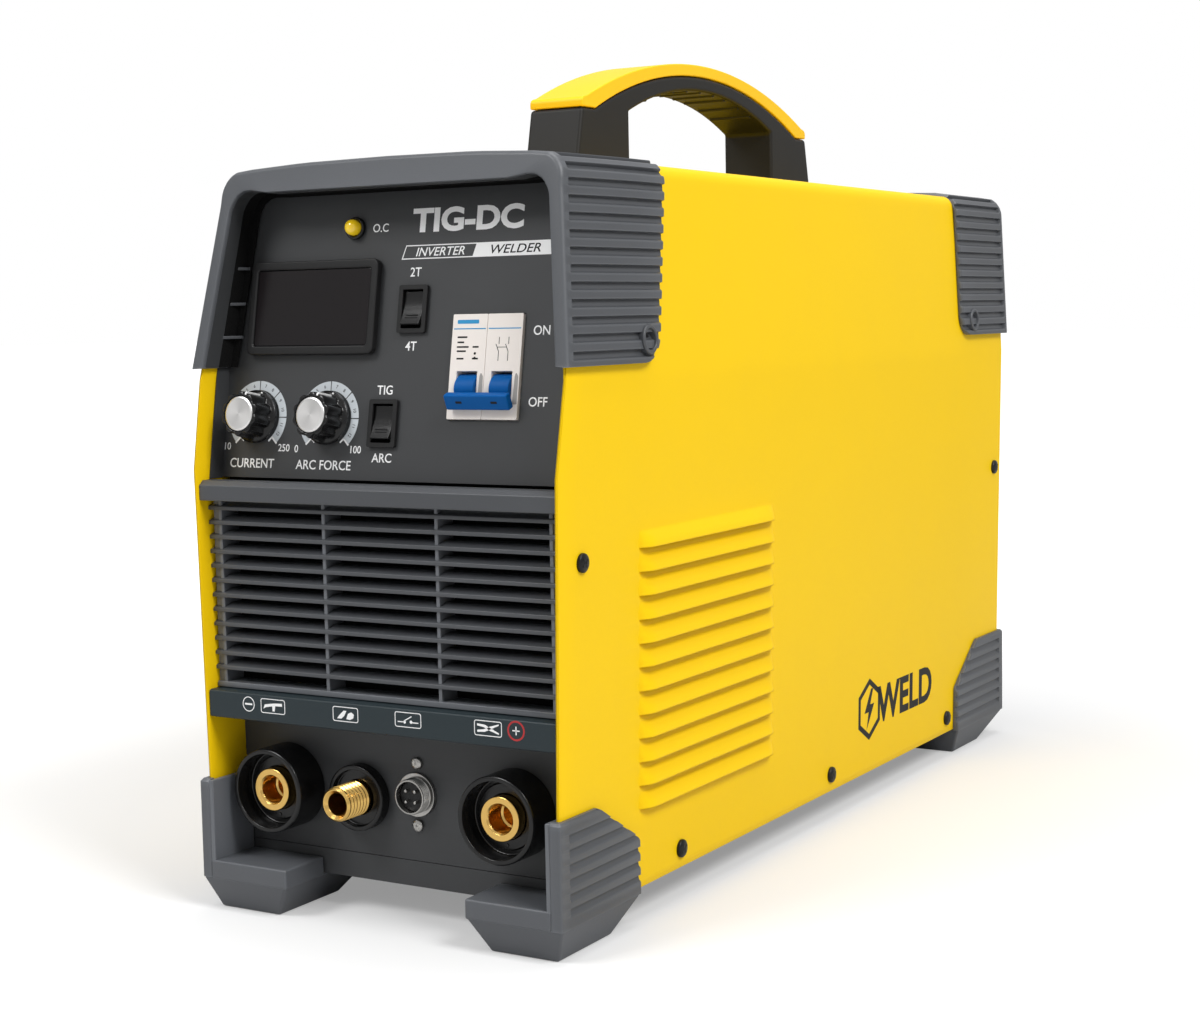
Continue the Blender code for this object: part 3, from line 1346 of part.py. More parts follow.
def power_cord_gland():
    thread = GLAND_R - 3 * MM
    profile = [
        (GLAND_BORE_R, GLAND_PROUD),
        (GLAND_BORE_R + 2 * MM, GLAND_PROUD),
        (GLAND_R - 2.5 * MM, GLAND_PROUD - 7 * MM),
        (GLAND_R - 1.5 * MM, 6 * MM),
        (GLAND_R, 6 * MM),
        (GLAND_R, GAP),
        (thread, GAP),
        (thread, -GLAND_DEEP),
        (GLAND_BORE_R, -GLAND_DEEP),
    ]
    gland = turned("gland", profile, rear_fitting(GLAND_AT), True, 20)
    return finished(gland, "power_cord_gland", "black_plastic")


def gas_inlet_nipple():
    tip = BODY_DEPTH + REAR_OVERHANG - REAR_PANEL_Y - REAR_PANEL_THICK
    barb = INLET_BARB_R
    bore = INLET_BORE_R
    profile = [(bore, tip), (barb - 1.2 * MM, tip)]
    pitch = 5 * MM
    for index in range(3):
        high = tip - 2 * MM - index * pitch
        profile += [(barb, high - 2 * MM), (barb - 1.2 * MM, high - 2.2 * MM)]
    profile += [
        (barb - 1.2 * MM, INLET_HEX_TALL),
        (INLET_HEX_R, INLET_HEX_TALL),
        (INLET_HEX_R, GAP),
        (INLET_THREAD_R, GAP),
        (INLET_THREAD_R, -INLET_THREAD_DEEP),
        (bore, -INLET_THREAD_DEEP),
    ]
    nipple = turned("inlet", profile, rear_fitting(INLET_AT), True, 14)
    return finished(nipple, "gas_inlet_nipple", "brass")


def gas_valve():
    """The solenoid valve behind the inlet, and the plunger that slides in its coil."""
    x, z = INLET_AT
    back = FRONT + REAR_PANEL_Y - GAP
    half = VALVE_SIDE / 2
    body = blocks("gas_valve", [((x - half, back - VALVE_DEEP, z - half), (x + half, back, z + half))])
    middle = REAR_PANEL_Y - GAP - VALVE_DEEP / 2
    overlap = MM
    coil_low = z + half - overlap
    coil = floor_frame(x, middle, coil_low + (VALVE_COIL_TALL + overlap) / 2)
    join(body, cylinders("valve_coil", VALVE_COIL_R, VALVE_COIL_TALL + overlap, [coil], 28))
    inlet_deep = VALVE_DEEP / 2 + PLUNGER_R
    inlet = front_frame(x, REAR_PANEL_Y - GAP + MM - inlet_deep / 2, z)
    seat = z
    chamber_top = z + half + VALVE_COIL_TALL - 3 * MM
    chamber = floor_frame(x, middle, (seat + chamber_top) / 2)
    cut(
        body,
        cylinders("valve_inlet", INLET_THREAD_R + SLACK, inlet_deep + 2 * MM, [inlet], 20),
        cylinders("valve_chamber", PLUNGER_R + RUNNING, chamber_top - seat, [chamber], 24),
    )
    finished(body, "gas_valve_body", "brass")
    plunger_low = z + INLET_THREAD_R + SLACK + MM
    plunger = floor_frame(x, middle, plunger_low)
    profile = [(0, PLUNGER_TALL), (PLUNGER_R, PLUNGER_TALL), (PLUNGER_R, 0), (0, 0)]
    finished(turned("plunger", profile, plunger, steps=24), "gas_valve_plunger", "zinc_steel")


def earth_bolt():
    profile = [
        (0, EARTH_HEAD_TALL),
        (EARTH_HEAD_R, EARTH_HEAD_TALL),
        (EARTH_HEAD_R, GAP),
        (EARTH_SHANK_R, GAP),
        (EARTH_SHANK_R, -3 * EARTH_HEAD_TALL),
        (0, -3 * EARTH_HEAD_TALL),
    ]
    bolt = turned("bolt", profile, rear_fitting(EARTH_AT), steps=12)
    return finished(bolt, "earth_bolt", "zinc_steel")


# ---------------------------------------------------------------- inside


def pan_floor():
    return BASE_Z + SHEET + GAP


def heat_sink(name, side):
    """An extruded sink: a standing plate with fins towards the side."""
    plate_in, plate_out = SINK_PLATE_X, SINK_PLATE_X + SINK_PLATE_THICK
    loop = [(plate_in, pan_floor()), (plate_out, pan_floor())]
    first = SINK_TOP_Z - (SINK_FINS - 1) * SINK_FIN_PITCH - SINK_FIN_THICK
    for index in range(SINK_FINS):
        low = first + index * SINK_FIN_PITCH
        high = low + SINK_FIN_THICK
        loop += [(plate_out, low), (SINK_REACH_X, low), (SINK_REACH_X, high), (plate_out, high)]
    loop = loop[:-1] + [(plate_in, SINK_TOP_Z)]
    sink = prism(name, [[(side * x, z) for x, z in loop]], SINK_FRONT_Y, SINK_REAR_Y)
    return finished(sink, name, "spun_aluminium")


def inverter_board():
    low = SINK_TOP_Z + GAP
    half = SINK_REACH_X
    corners = ((-half, FRONT + SINK_FRONT_Y, low), (half, FRONT + SINK_REAR_Y, low + BOARD_THICK))
    finished(blocks("board", [corners]), "inverter_board", "board_green")
    middle = (SINK_FRONT_Y + SINK_REAR_Y) / 2
    seat = low + BOARD_THICK + GAP
    for index, name in enumerate(("input_capacitor_front", "input_capacitor_rear")):
        depth = middle + (index - 0.5) * CAPACITOR_PITCH
        profile = [(0, CAPACITOR_TALL), (CAPACITOR_R, CAPACITOR_TALL), (CAPACITOR_R, 0), (0, 0)]
        can = turned("capacitor", profile, floor_frame(0, depth, seat), steps=20)
        finished(can, name, "capacitor_sleeve")


def wound_ring(name, at, outer, bore, tall, finish):
    """A wound core lying flat on the base pan."""
    profile = [
        (bore, tall),
        (outer - 3 * MM, tall),
        (outer, tall - 3 * MM),
        (outer, 3 * MM),
        (outer - 3 * MM, 0),
        (bore, 0),
    ]
    ring = turned(name, profile, floor_frame(at[0], at[1], pan_floor()), True, 20)
    return finished(ring, name, finish)


def main_transformer():
    x, depth = TRANSFORMER_AT
    wide, long, tall = TRANSFORMER_SIZE
    low = (x - wide / 2, FRONT + depth - long / 2, pan_floor())
    high = (x + wide / 2, FRONT + depth + long / 2, pan_floor() + tall)
    return finished(blocks("transformer", [(low, high)]), "main_transformer", "ferrite")


def control_board():
    """Soldered to the backs of the two potentiometers."""
    back = -PANEL_THICK - GAP - POT_DEEP - GAP
    low = (CONTROL_BOARD_U[0], CONTROL_BOARD_V[0], back - BOARD_THICK)
    high = (CONTROL_BOARD_U[1], CONTROL_BOARD_V[1], back)
    return finished(blocks("control_board", [(low, high)], PANEL), "control_board", "board_green")


def main():
    cover_shell()
    base_pan()
    front_bezel()
    bezel_screws()
    rear_bumper()
    control_panel()
    display()
    indicator_lamp()
    for name in KNOB_NAMES:
        potentiometer(name)
        knob(name)
    for name in ROCKER_NAMES:
        rocker_switch(name)
    breaker()
    front_grille()
    symbol_strip()
    connector_panel()
    for name in SOCKET_AT:
        weld_socket(name)
    gas_outlet()
    control_socket()
    for name in CONTROL_SCREWS:
        control_screw(name)
    for end, front in (("front", True), ("rear", False)):
        for hand, side in (("right", 1), ("left", -1)):
            foot(f"{end}_{hand}_foot", side, front)
    handle()
    rear_panel()
    fan()
    fan_guard()
    power_cord_gland()
    gas_inlet_nipple()
    gas_valve()
    earth_bolt()
    heat_sink("right_heat_sink", 1)
    heat_sink("left_heat_sink", -1)
    inverter_board()
    main_transformer()
    wound_ring("arc_starter_coil", COIL_AT, COIL_R, COIL_BORE_R, COIL_TALL, "copper")
    wound_ring("output_inductor", INDUCTOR_AT, INDUCTOR_R, INDUCTOR_BORE_R, INDUCTOR_TALL, "copper")
    control_board()


main()
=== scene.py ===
"""Finished looks of a portable inverter TIG welding machine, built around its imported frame.

Metres, +Z up, the front faces -Y. A depth is counted from the cover's front edge towards the rear,
and a height from the floor. Panel places are (across, up the slope) from the control panel's foot.
"""

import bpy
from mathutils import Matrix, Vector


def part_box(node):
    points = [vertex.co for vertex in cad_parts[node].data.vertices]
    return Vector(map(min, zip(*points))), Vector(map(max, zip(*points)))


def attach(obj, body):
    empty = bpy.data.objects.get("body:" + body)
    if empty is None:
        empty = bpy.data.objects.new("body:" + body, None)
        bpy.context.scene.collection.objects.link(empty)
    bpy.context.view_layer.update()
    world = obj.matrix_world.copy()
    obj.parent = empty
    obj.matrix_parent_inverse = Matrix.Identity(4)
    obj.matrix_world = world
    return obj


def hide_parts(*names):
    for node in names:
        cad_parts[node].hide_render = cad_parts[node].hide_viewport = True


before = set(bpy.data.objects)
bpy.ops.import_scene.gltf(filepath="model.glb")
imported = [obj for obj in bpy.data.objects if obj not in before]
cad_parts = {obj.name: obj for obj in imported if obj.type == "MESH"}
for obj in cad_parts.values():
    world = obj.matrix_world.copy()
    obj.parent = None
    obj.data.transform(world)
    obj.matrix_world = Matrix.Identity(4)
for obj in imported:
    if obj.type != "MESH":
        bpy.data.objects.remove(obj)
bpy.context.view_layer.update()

import logging
from collections.abc import Sequence
from dataclasses import dataclass
from enum import Enum
from math import asin, atan2, copysign, cos, hypot, pi, radians, sin, sqrt, tan, tau

import bmesh
import bpy
from mathutils import Matrix, Vector

LOG = logging.getLogger("welder")
Point = tuple[float, float]

MM = 0.001
FRONT = -0.271
BODY_DEPTH = 521 * MM
BODY_WIDTH = 194 * MM
BASE_Z = 15.5 * MM
CREASE_Z = 200 * MM
WAIST_Z = 240 * MM
TOP_Z = 331 * MM
BASE_TUCK = 4.3 * MM
TOP_TUCK = 4.5 * MM
SHOULDER_R = 9 * MM
SHEET = 1.5 * MM
GAP = 0.3 * MM
LEAN = radians(9.9)
PANEL_DEPTH, PANEL_FOOT = 16.5 * MM, 196 * MM  # of the control panel's lower edge
PINCH, PINCH_TALL, PINCH_DEEP = 6 * MM, 78 * MM, 74.8 * MM  # how far, over what height and depth
SHARP = radians(38)  # edges sharper than this are shaded as edges
SOFTENED = radians(28)  # edges sharper than this are rounded
ACROSS, BACK, UP = Vector((1, 0, 0)), Vector((0, 1, 0)), Vector((0, 0, 1))
INK = 0.05 * MM
HERE = Matrix.Identity(4)
SIDEWAYS = Matrix(((0, 0, 1, 0), (1, 0, 0, FRONT), (0, 1, 0, 0), (0, 0, 0, 1)))  # u to the rear, v up, w across
ON_EDGE = Matrix(((0, 0, 1, 0), (1, 0, 0, 0), (0, 1, 0, 0), (0, 0, 0, 1)))  # the same within another place


# ---- places


def mm(*sizes: float) -> tuple[float, ...]:
    """Sizes in millimetres as metres."""
    return tuple(size * MM for size in sizes)


def scaled(points: Sequence[Point]) -> list[Point]:
    """An outline in millimetres as metres."""
    return [(u * MM, v * MM) for u, v in points]


def moved(along_u: float, along_v: float, out: float = 0.0) -> Matrix:
    """A move within a place."""
    return Matrix.Translation((along_u, along_v, out))


def spun(angle: float, axis: str = "Z") -> Matrix:
    """A turn within a place, about w unless another axis is named."""
    return Matrix.Rotation(angle, 4, axis)


def axes(origin: Vector, along_u: Vector, along_v: Vector) -> Matrix:
    """A place in the machine as a matrix.

    Args:
        origin: where it is.
        along_u: its first direction.
        along_v: its second direction; the third is their cross product.

    Returns:
        The matrix from that place to the machine.
    """
    made = Matrix((along_u, along_v, along_u.cross(along_v))).transposed().to_4x4()
    made.translation = origin
    return made


def facing_front(x: float, depth: float, z: float) -> Matrix:
    """A place with u across, v up and w towards the front."""
    return axes(Vector((x, FRONT + depth, z)), ACROSS, UP)


def facing_rear(x: float, depth: float, z: float) -> Matrix:
    """A place with v up and w towards the back."""
    return axes(Vector((x, FRONT + depth, z)), -ACROSS, UP)


def facing_side(side: int, depth: float, z: float, out: float = 0.0) -> Matrix:
    """A place on the cover's leaning side, +1 right or -1 left: v up and w outwards."""
    step = (half_width(z + MM) - half_width(z - MM)) / (2 * MM)
    return axes(
        Vector((side * (half_width(z) + out), FRONT + depth, z)), side * BACK,
        Vector((side * step, 0, 1)).normalized(),
    )


PANEL = axes(Vector((0, FRONT + PANEL_DEPTH, PANEL_FOOT)), ACROSS, Vector((0, sin(LEAN), cos(LEAN))))


def on_panel(at: Point, out: float = 0.0) -> Matrix:
    """A place on the control panel: u across, v up the slope, w out of its face."""
    return PANEL @ moved(at[0], at[1], out)


def half_width(z: float) -> float:
    """Half of the cover's outer width at a height."""
    if z <= WAIST_Z:
        return BODY_WIDTH / 2 - BASE_TUCK * (WAIST_Z - z) / (WAIST_Z - BASE_Z)
    return BODY_WIDTH / 2 - TOP_TUCK * (z - WAIST_Z) / (TOP_Z - WAIST_Z)


def lean_back(z: float) -> float:
    """How far the leaning upper front has gone back at a height."""
    return max(0.0, z - CREASE_Z) * tan(LEAN)


def pinch(z: float, depth: float) -> float:
    """How far a side of the upper front is drawn in, at a height and a depth behind the bezel's face."""
    high = min(1.0, max(0.0, (z - WAIST_Z) / PINCH_TALL))
    near = min(1.0, max(0.0, 1 - depth / PINCH_DEEP))
    return PINCH * high * near * near


# ---- outlines


def circle(radius: float, steps: int = 64, centre: Point = (0, 0), start: float = 0.0) -> list[Point]:
    """A closed ring of points."""
    turns = [start + tau * k / steps for k in range(steps)]
    return [(centre[0] + radius * cos(t), centre[1] + radius * sin(t)) for t in turns]


def eased(corners: Sequence[tuple], radius: float = 0.0, steps: int = 4, closed: bool = True) -> list[Point]:
    """An outline with its corners rounded.

    Args:
        corners: (u, v) or (u, v, radius) of each corner.
        radius: the radius of a corner that gives none.
        steps: segments of each arc.
        closed: whether the last corner joins the first.

    Returns:
        The rounded outline's points.
    """
    made: list[Point] = []
    count = len(corners)
    for index, corner in enumerate(corners):
        here = Vector(corner[:2])
        size = corner[2] if len(corner) > 2 else radius
        ends = not closed and index in (0, count - 1)
        before = Vector(corners[index - 1][:2]) - here
        after = Vector(corners[(index + 1) % count][:2]) - here
        if ends or size <= 0 or before.length < 1e-9 or after.length < 1e-9:
            made.append(tuple(here))
            continue
        half = before.angle(after) / 2
        if half > radians(89.5):
            made.append(tuple(here))
            continue
        reach = min(size / tan(half), 0.48 * before.length, 0.48 * after.length)
        size = reach * tan(half)
        before.normalize()
        after.normalize()
        centre = here + (before + after).normalized() * (size / sin(half))
        first, last = here + before * reach - centre, here + after * reach - centre
        start = atan2(first.y, first.x)
        sweep = (atan2(last.y, last.x) - start + pi) % tau - pi
        for k in range(steps + 1):
            turn = start + sweep * k / steps
            made.append((centre.x + size * cos(turn), centre.y + size * sin(turn)))
    return made


def slab(size: Point, centre: Point = (0, 0), radius: float = 0.0, steps: int = 6) -> list[Point]:
    """A rectangle, with rounded corners where it has a radius."""
    u, v = size[0] / 2, size[1] / 2
    corners = ((-u, -v), (u, -v), (u, v), (-u, v))
    return eased([(centre[0] + a, centre[1] + b, radius) for a, b in corners], steps=steps)


def ring_sector(inner: float, outer: float, start: float, end: float, steps: int = 12) -> list[Point]:
    """Part of a flat ring, its angles in degrees clockwise from straight up."""
    turns = [radians(start + (end - start) * k / steps) for k in range(steps + 1)]
    edge = [(outer * sin(t), outer * cos(t)) for t in turns]
    return edge + [(inner * sin(t), inner * cos(t)) for t in reversed(turns)]


# ---- shaping


class Shape:
    """The mesh of one piece while it is being shaped from solids."""

    def __init__(self) -> None:
        """Starts with nothing."""
        self.bm = bmesh.new()

    def take(self, part: bmesh.types.BMesh, place: Matrix, edge: float = 0.0, segments: int = 3) -> None:
        """Adds a closed solid, softened and put in its place.

        Args:
            part: the solid, which is used up.
            place: where it goes.
            edge: how far its sharp edges are rounded.
            segments: segments of the rounding.
        """
        bmesh.ops.remove_doubles(part, verts=part.verts, dist=1e-7)
        if edge > 0:
            sharp = [e for e in part.edges if e.is_manifold and e.calc_face_angle() > SOFTENED]
            bmesh.ops.bevel(
                part, geom=sharp, offset=edge, offset_type="OFFSET", segments=segments, profile=0.5,
                affect="EDGES", clamp_overlap=True, material=-1,
            )
        part.transform(place)
        bmesh.ops.recalc_face_normals(part, faces=part.faces)
        mesh = bpy.data.meshes.new("part")
        part.to_mesh(mesh)
        part.free()
        self.bm.from_mesh(mesh)
        bpy.data.meshes.remove(mesh)

    def plate(
        self,
        loops: Sequence[Sequence[Point]],
        low: float,
        high: float,
        place: Matrix,
        edge: float = 0.0,
        segments: int = 3,
    ) -> None:
        """Adds a flat outline, with any holes, carried from one level to another.

        Args:
            loops: the outline, then its holes.
            low: level of one face along w.
            high: level of the other.
            place: where it goes.
            edge: how far its edges are rounded.
            segments: segments of the rounding.
        """
        part = bmesh.new()
        for loop in loops:
            verts = [part.verts.new((u, v, low)) for u, v in loop]
            for first, second in zip(verts, verts[1:] + verts[:1]):
                part.edges.new((first, second))
            if len(loops) == 1:
                part.faces.new(verts)
        if len(loops) > 1:
            bmesh.ops.triangle_fill(part, edges=part.edges[:], use_beauty=True, normal=(0, 0, 1))
        made = bmesh.ops.extrude_face_region(part, geom=part.faces[:])["geom"]
        lifted = [v for v in made if isinstance(v, bmesh.types.BMVert)]
        bmesh.ops.translate(part, verts=lifted, vec=(0, 0, high - low))
        self.take(part, place, edge, segments)

    def inked(self, place: Matrix, *loops: Sequence[Point]) -> None:
        """Adds a printed outline, with any holes, as thin as ink."""
        self.plate(loops, 0, INK, place)

    def box(self, low: Sequence[float], high: Sequence[float], place: Matrix, edge: float = 0.0) -> None:
        """Adds a block, from its lowest to its highest corner."""
        part = bmesh.new()
        size = Vector(high) - Vector(low)
        middle = (Vector(high) + Vector(low)) / 2
        bmesh.ops.create_cube(part, size=1, matrix=Matrix.Translation(middle) @ Matrix.Diagonal((*size, 1)))
        self.take(part, place, edge)

    def turned(self, profile: Sequence[Point], place: Matrix, steps: int = 64, closed: bool = False) -> None:
        """Adds a turned solid.

        Args:
            profile: (radius, height) of each point.
            place: where it goes, turned about w.
            steps: segments round.
            closed: whether the profile joins up, for a ring.
        """
        part = bmesh.new()
        verts = [part.verts.new((radius, 0, height)) for radius, height in profile]
        ends = verts[1:] + verts[:1] if closed else verts[1:]
        edges = [part.edges.new(pair) for pair in zip(verts, ends)]
        bmesh.ops.spin(
            part,
            geom=verts + edges,
            cent=(0, 0, 0),
            axis=(0, 0, 1),
            angle=tau,
            steps=steps,
            use_merge=True,
            use_duplicate=False,
        )
        self.take(part, place)

    def lofted(self, rows: Sequence[Sequence[Vector]], ring: bool = True, capped: bool = True) -> None:
        """Adds a skin laid through rows of points.

        Args:
            rows: the rows, each of the same number of points.
            ring: whether each row joins up with its own start.
            capped: whether the open ends are filled.
        """
        rows = [list(row) + [row[0]] for row in rows] if ring else [list(row) for row in rows]
        part = bmesh.new()
        bmesh.ops.create_grid(part, x_segments=len(rows[0]) - 1, y_segments=len(rows) - 1, size=1)
        part.verts.ensure_lookup_table()
        for index, point in enumerate(point for row in rows for point in row):
            part.verts[index].co = point
        bmesh.ops.remove_doubles(part, verts=part.verts, dist=1e-7)
        if capped:
            rim = [e for e in part.edges if e.is_boundary]
            bmesh.ops.holes_fill(part, edges=rim, sides=0)
        self.take(part, HERE)

    def text(self, words: str, height: float, place: Matrix, lift: float = INK, **style: float) -> None:
        """Adds flat lettering, centred on its place.

        Args:
            words: what it says.
            height: height of its capitals.
            place: where its middle is.
            lift: its thickness.
            style: bold (extra stroke as a share of the height), slant, wide (stretch across).
        """
        curve = bpy.data.curves.new("words", "FONT")
        curve.body = words
        curve.size = height / 0.69
        curve.align_x = "CENTER"
        curve.align_y = "CENTER"
        curve.extrude = lift / 2
        curve.offset = style.get("bold", 0.0) * height
        curve.shear = style.get("slant", 0.0)
        curve.resolution_u = 4
        holder = bpy.data.objects.new("words", curve)
        bpy.context.scene.collection.objects.link(holder)
        bpy.context.view_layer.update()
        graph = bpy.context.evaluated_depsgraph_get()
        mesh = bpy.data.meshes.new_from_object(holder.evaluated_get(graph))
        bpy.data.objects.remove(holder)
        part = bmesh.new()
        part.from_mesh(mesh)
        bpy.data.meshes.remove(mesh)
        middle = (min(v.co.x for v in part.verts) + max(v.co.x for v in part.verts)) / 2
        centre = (min(v.co.y for v in part.verts) + max(v.co.y for v in part.verts)) / 2
        stretch = Matrix.Diagonal((style.get("wide", 1.0), 1, 1, 1))
        place = place @ stretch @ moved(-middle, -centre, lift / 2)
        self.take(part, place)


# ---- materials


class Nodes:
    """A node tree while it is being wired."""

    def __init__(self, tree: bpy.types.NodeTree) -> None:
        """Starts on a tree."""
        self.tree = tree

    def add(self, kind: str, values: dict | None = None, **settings: object) -> bpy.types.Node:
        """Adds a node.

        Args:
            kind: its type, without the common prefix.
            values: socket values by name, or a socket to link from.
            settings: its properties.

        Returns:
            The node.
        """
        node = self.tree.nodes.new("ShaderNode" + kind)
        for name, value in settings.items():
            setattr(node, name, value)
        for name, value in (values or {}).items():
            if isinstance(value, bpy.types.NodeSocket):
                self.tree.links.new(value, node.inputs[name])
            else:
                node.inputs[name].default_value = value
        return node

    def maths(self, operation: str, *values: object) -> bpy.types.NodeSocket:
        """Adds a sum and returns its result."""
        node = self.tree.nodes.new("ShaderNodeMath")
        node.operation = operation
        for index, value in enumerate(values):
            if isinstance(value, bpy.types.NodeSocket):
                self.tree.links.new(value, node.inputs[index])
            else:
                node.inputs[index].default_value = value
        return node.outputs[0]

    def swing(self, pattern: bpy.types.NodeSocket, amount: object) -> bpy.types.NodeSocket:
        """Centres a pattern on zero and scales it."""
        return self.maths("MULTIPLY", self.maths("SUBTRACT", pattern, 0.5), amount)


def shader_group(name: str, inputs: dict[str, tuple[str, object]], outputs: dict[str, str]) -> tuple:
    """Starts a shader node group.

    Args:
        name: its name.
        inputs: kind and first value of each input.
        outputs: kind of each output.

    Returns:
        The tree, its wiring helper, the input node and the output node.
    """
    tree = bpy.data.node_groups.new(name, "ShaderNodeTree")
    for label, (kind, value) in inputs.items():
        socket = tree.interface.new_socket(label, in_out="INPUT", socket_type="NodeSocket" + kind)
        if value is not None:
            socket.default_value = value
    for label, kind in outputs.items():
        tree.interface.new_socket(label, in_out="OUTPUT", socket_type="NodeSocket" + kind)
    return tree, Nodes(tree), tree.nodes.new("NodeGroupInput"), tree.nodes.new("NodeGroupOutput")


def moulded_grain() -> bpy.types.NodeTree:
    """A fine surface texture with soft cloudy patches, and paler edges that are partly wear and partly a painted
    highlight.

    Returns:
        The group: colour, roughness and height over the surface.
    """
    tree, nodes, given, out = shader_group(
        "Surface grain",
        {
            "Vector": ("Vector", None),
            "Colour": ("Color", (0.5, 0.5, 0.5, 1)),
            "Grain": ("Float", 2500.0),
            "Cloud": ("Float", 28.0),
            "Tone": ("Float", 0.1),
            "Edge": ("Float", 0.3),
            "Roughness": ("Float", 0.5),
            "Spread": ("Float", 0.1),
        },
        {"Colour": "Color", "Roughness": "Float", "Height": "Float"},
    )
    source = given.outputs
    fine = nodes.add("TexNoise", {"Vector": source["Vector"], "Scale": source["Grain"], "Detail": 3.0})
    cloud = nodes.add("TexNoise", {"Vector": source["Vector"], "Scale": source["Cloud"], "Detail": 5.0})
    geometry = nodes.add("NewGeometry")
    # sharp edges are paled: partly wear, partly a painted highlight along ridges
    wear_and_highlight_edges = nodes.add(
        "MapRange",
        {"Value": geometry.outputs["Pointiness"], "From Min": 0.51, "From Max": 0.6},
        clamp=True,
    )
    drift = nodes.swing(cloud.outputs["Fac"], source["Tone"])
    speck = nodes.swing(fine.outputs["Fac"], source["Tone"])
    edge_wear_and_highlight = nodes.maths("MULTIPLY", wear_and_highlight_edges.outputs["Result"], source["Edge"])
    value = nodes.maths("ADD", nodes.maths("ADD", nodes.maths("ADD", drift, speck), edge_wear_and_highlight), 1.0)
    tint = nodes.add("HueSaturation", {"Color": source["Colour"], "Value": value})
    matt = nodes.swing(cloud.outputs["Fac"], source["Spread"])
    flecks = nodes.swing(fine.outputs["Fac"], source["Spread"])
    rough = nodes.maths("ADD", nodes.maths("ADD", matt, flecks), source["Roughness"])
    tree.links.new(tint.outputs["Color"], out.inputs["Colour"])
    tree.links.new(rough, out.inputs["Roughness"])
    tree.links.new(fine.outputs["Fac"], out.inputs["Height"])
    return tree


def turned_lines() -> bpy.types.NodeTree:
    """Fine rings that a lathe tool leaves round the z axis, with faint sunburst sectors, lighter and darker by angle,
    as a painted reflection.

    Returns:
        The group: colour, roughness and height over the surface.
    """
    tree, nodes, given, out = shader_group(
        "Turned lines",
        {
            "Vector": ("Vector", None),
            "Colour": ("Color", (0.5, 0.5, 0.5, 1)),
            "Lines": ("Float", 6000.0),
            "Painted sheen": ("Float", 0.0),
            "Tone": ("Float", 0.2),
            "Roughness": ("Float", 0.3),
            "Spread": ("Float", 0.1),
        },
        {"Colour": "Color", "Roughness": "Float", "Height": "Float"},
    )
    source = given.outputs
    parts = nodes.add("SeparateXYZ", {"Vector": source["Vector"]})
    x, y, z = parts.outputs["X"], parts.outputs["Y"], parts.outputs["Z"]
    radius = nodes.maths("SQRT", nodes.maths("ADD", nodes.maths("MULTIPLY", x, x), nodes.maths("MULTIPLY", y, y)))
    along = nodes.maths(
        "ADD", nodes.maths("MULTIPLY", radius, source["Lines"]), nodes.maths("MULTIPLY", z, source["Lines"]),
    )
    rings = nodes.add("TexNoise", {"W": along, "Scale": 1.0, "Detail": 2.0}, noise_dimensions="1D")
    # sectors lighter and darker round the axis: a painted reflection of brushed metal
    angle = nodes.maths("ARCTAN2", y, x)
    painted_sheen_sectors = nodes.maths("COSINE", nodes.maths("MULTIPLY", nodes.maths("ADD", angle, 0.5), 2.0))
    painted_sheen_tone = nodes.maths("MULTIPLY", painted_sheen_sectors, source["Painted sheen"])
    cloud = nodes.add("TexNoise", {"Vector": source["Vector"], "Scale": 160.0, "Detail": 4.0})
    ring_tone = nodes.swing(rings.outputs["Fac"], source["Tone"])
    cloud_tone = nodes.swing(cloud.outputs["Fac"], source["Tone"])
    value = nodes.maths("ADD", nodes.maths("ADD", nodes.maths("ADD", ring_tone, cloud_tone), painted_sheen_tone), 1.0)
    tint = nodes.add("HueSaturation", {"Color": source["Colour"], "Value": value})
    matt = nodes.swing(cloud.outputs["Fac"], source["Spread"])
    rough = nodes.maths("ADD", matt, source["Roughness"])
    tree.links.new(tint.outputs["Color"], out.inputs["Colour"])
    tree.links.new(rough, out.inputs["Roughness"])
    tree.links.new(rings.outputs["Fac"], out.inputs["Height"])
    return tree


GRAIN = moulded_grain()
LINES = turned_lines()


class Make(Enum):
    """How a surface was made, which chooses its texture."""

    GRAINED = "grained"
    TURNED = "turned"


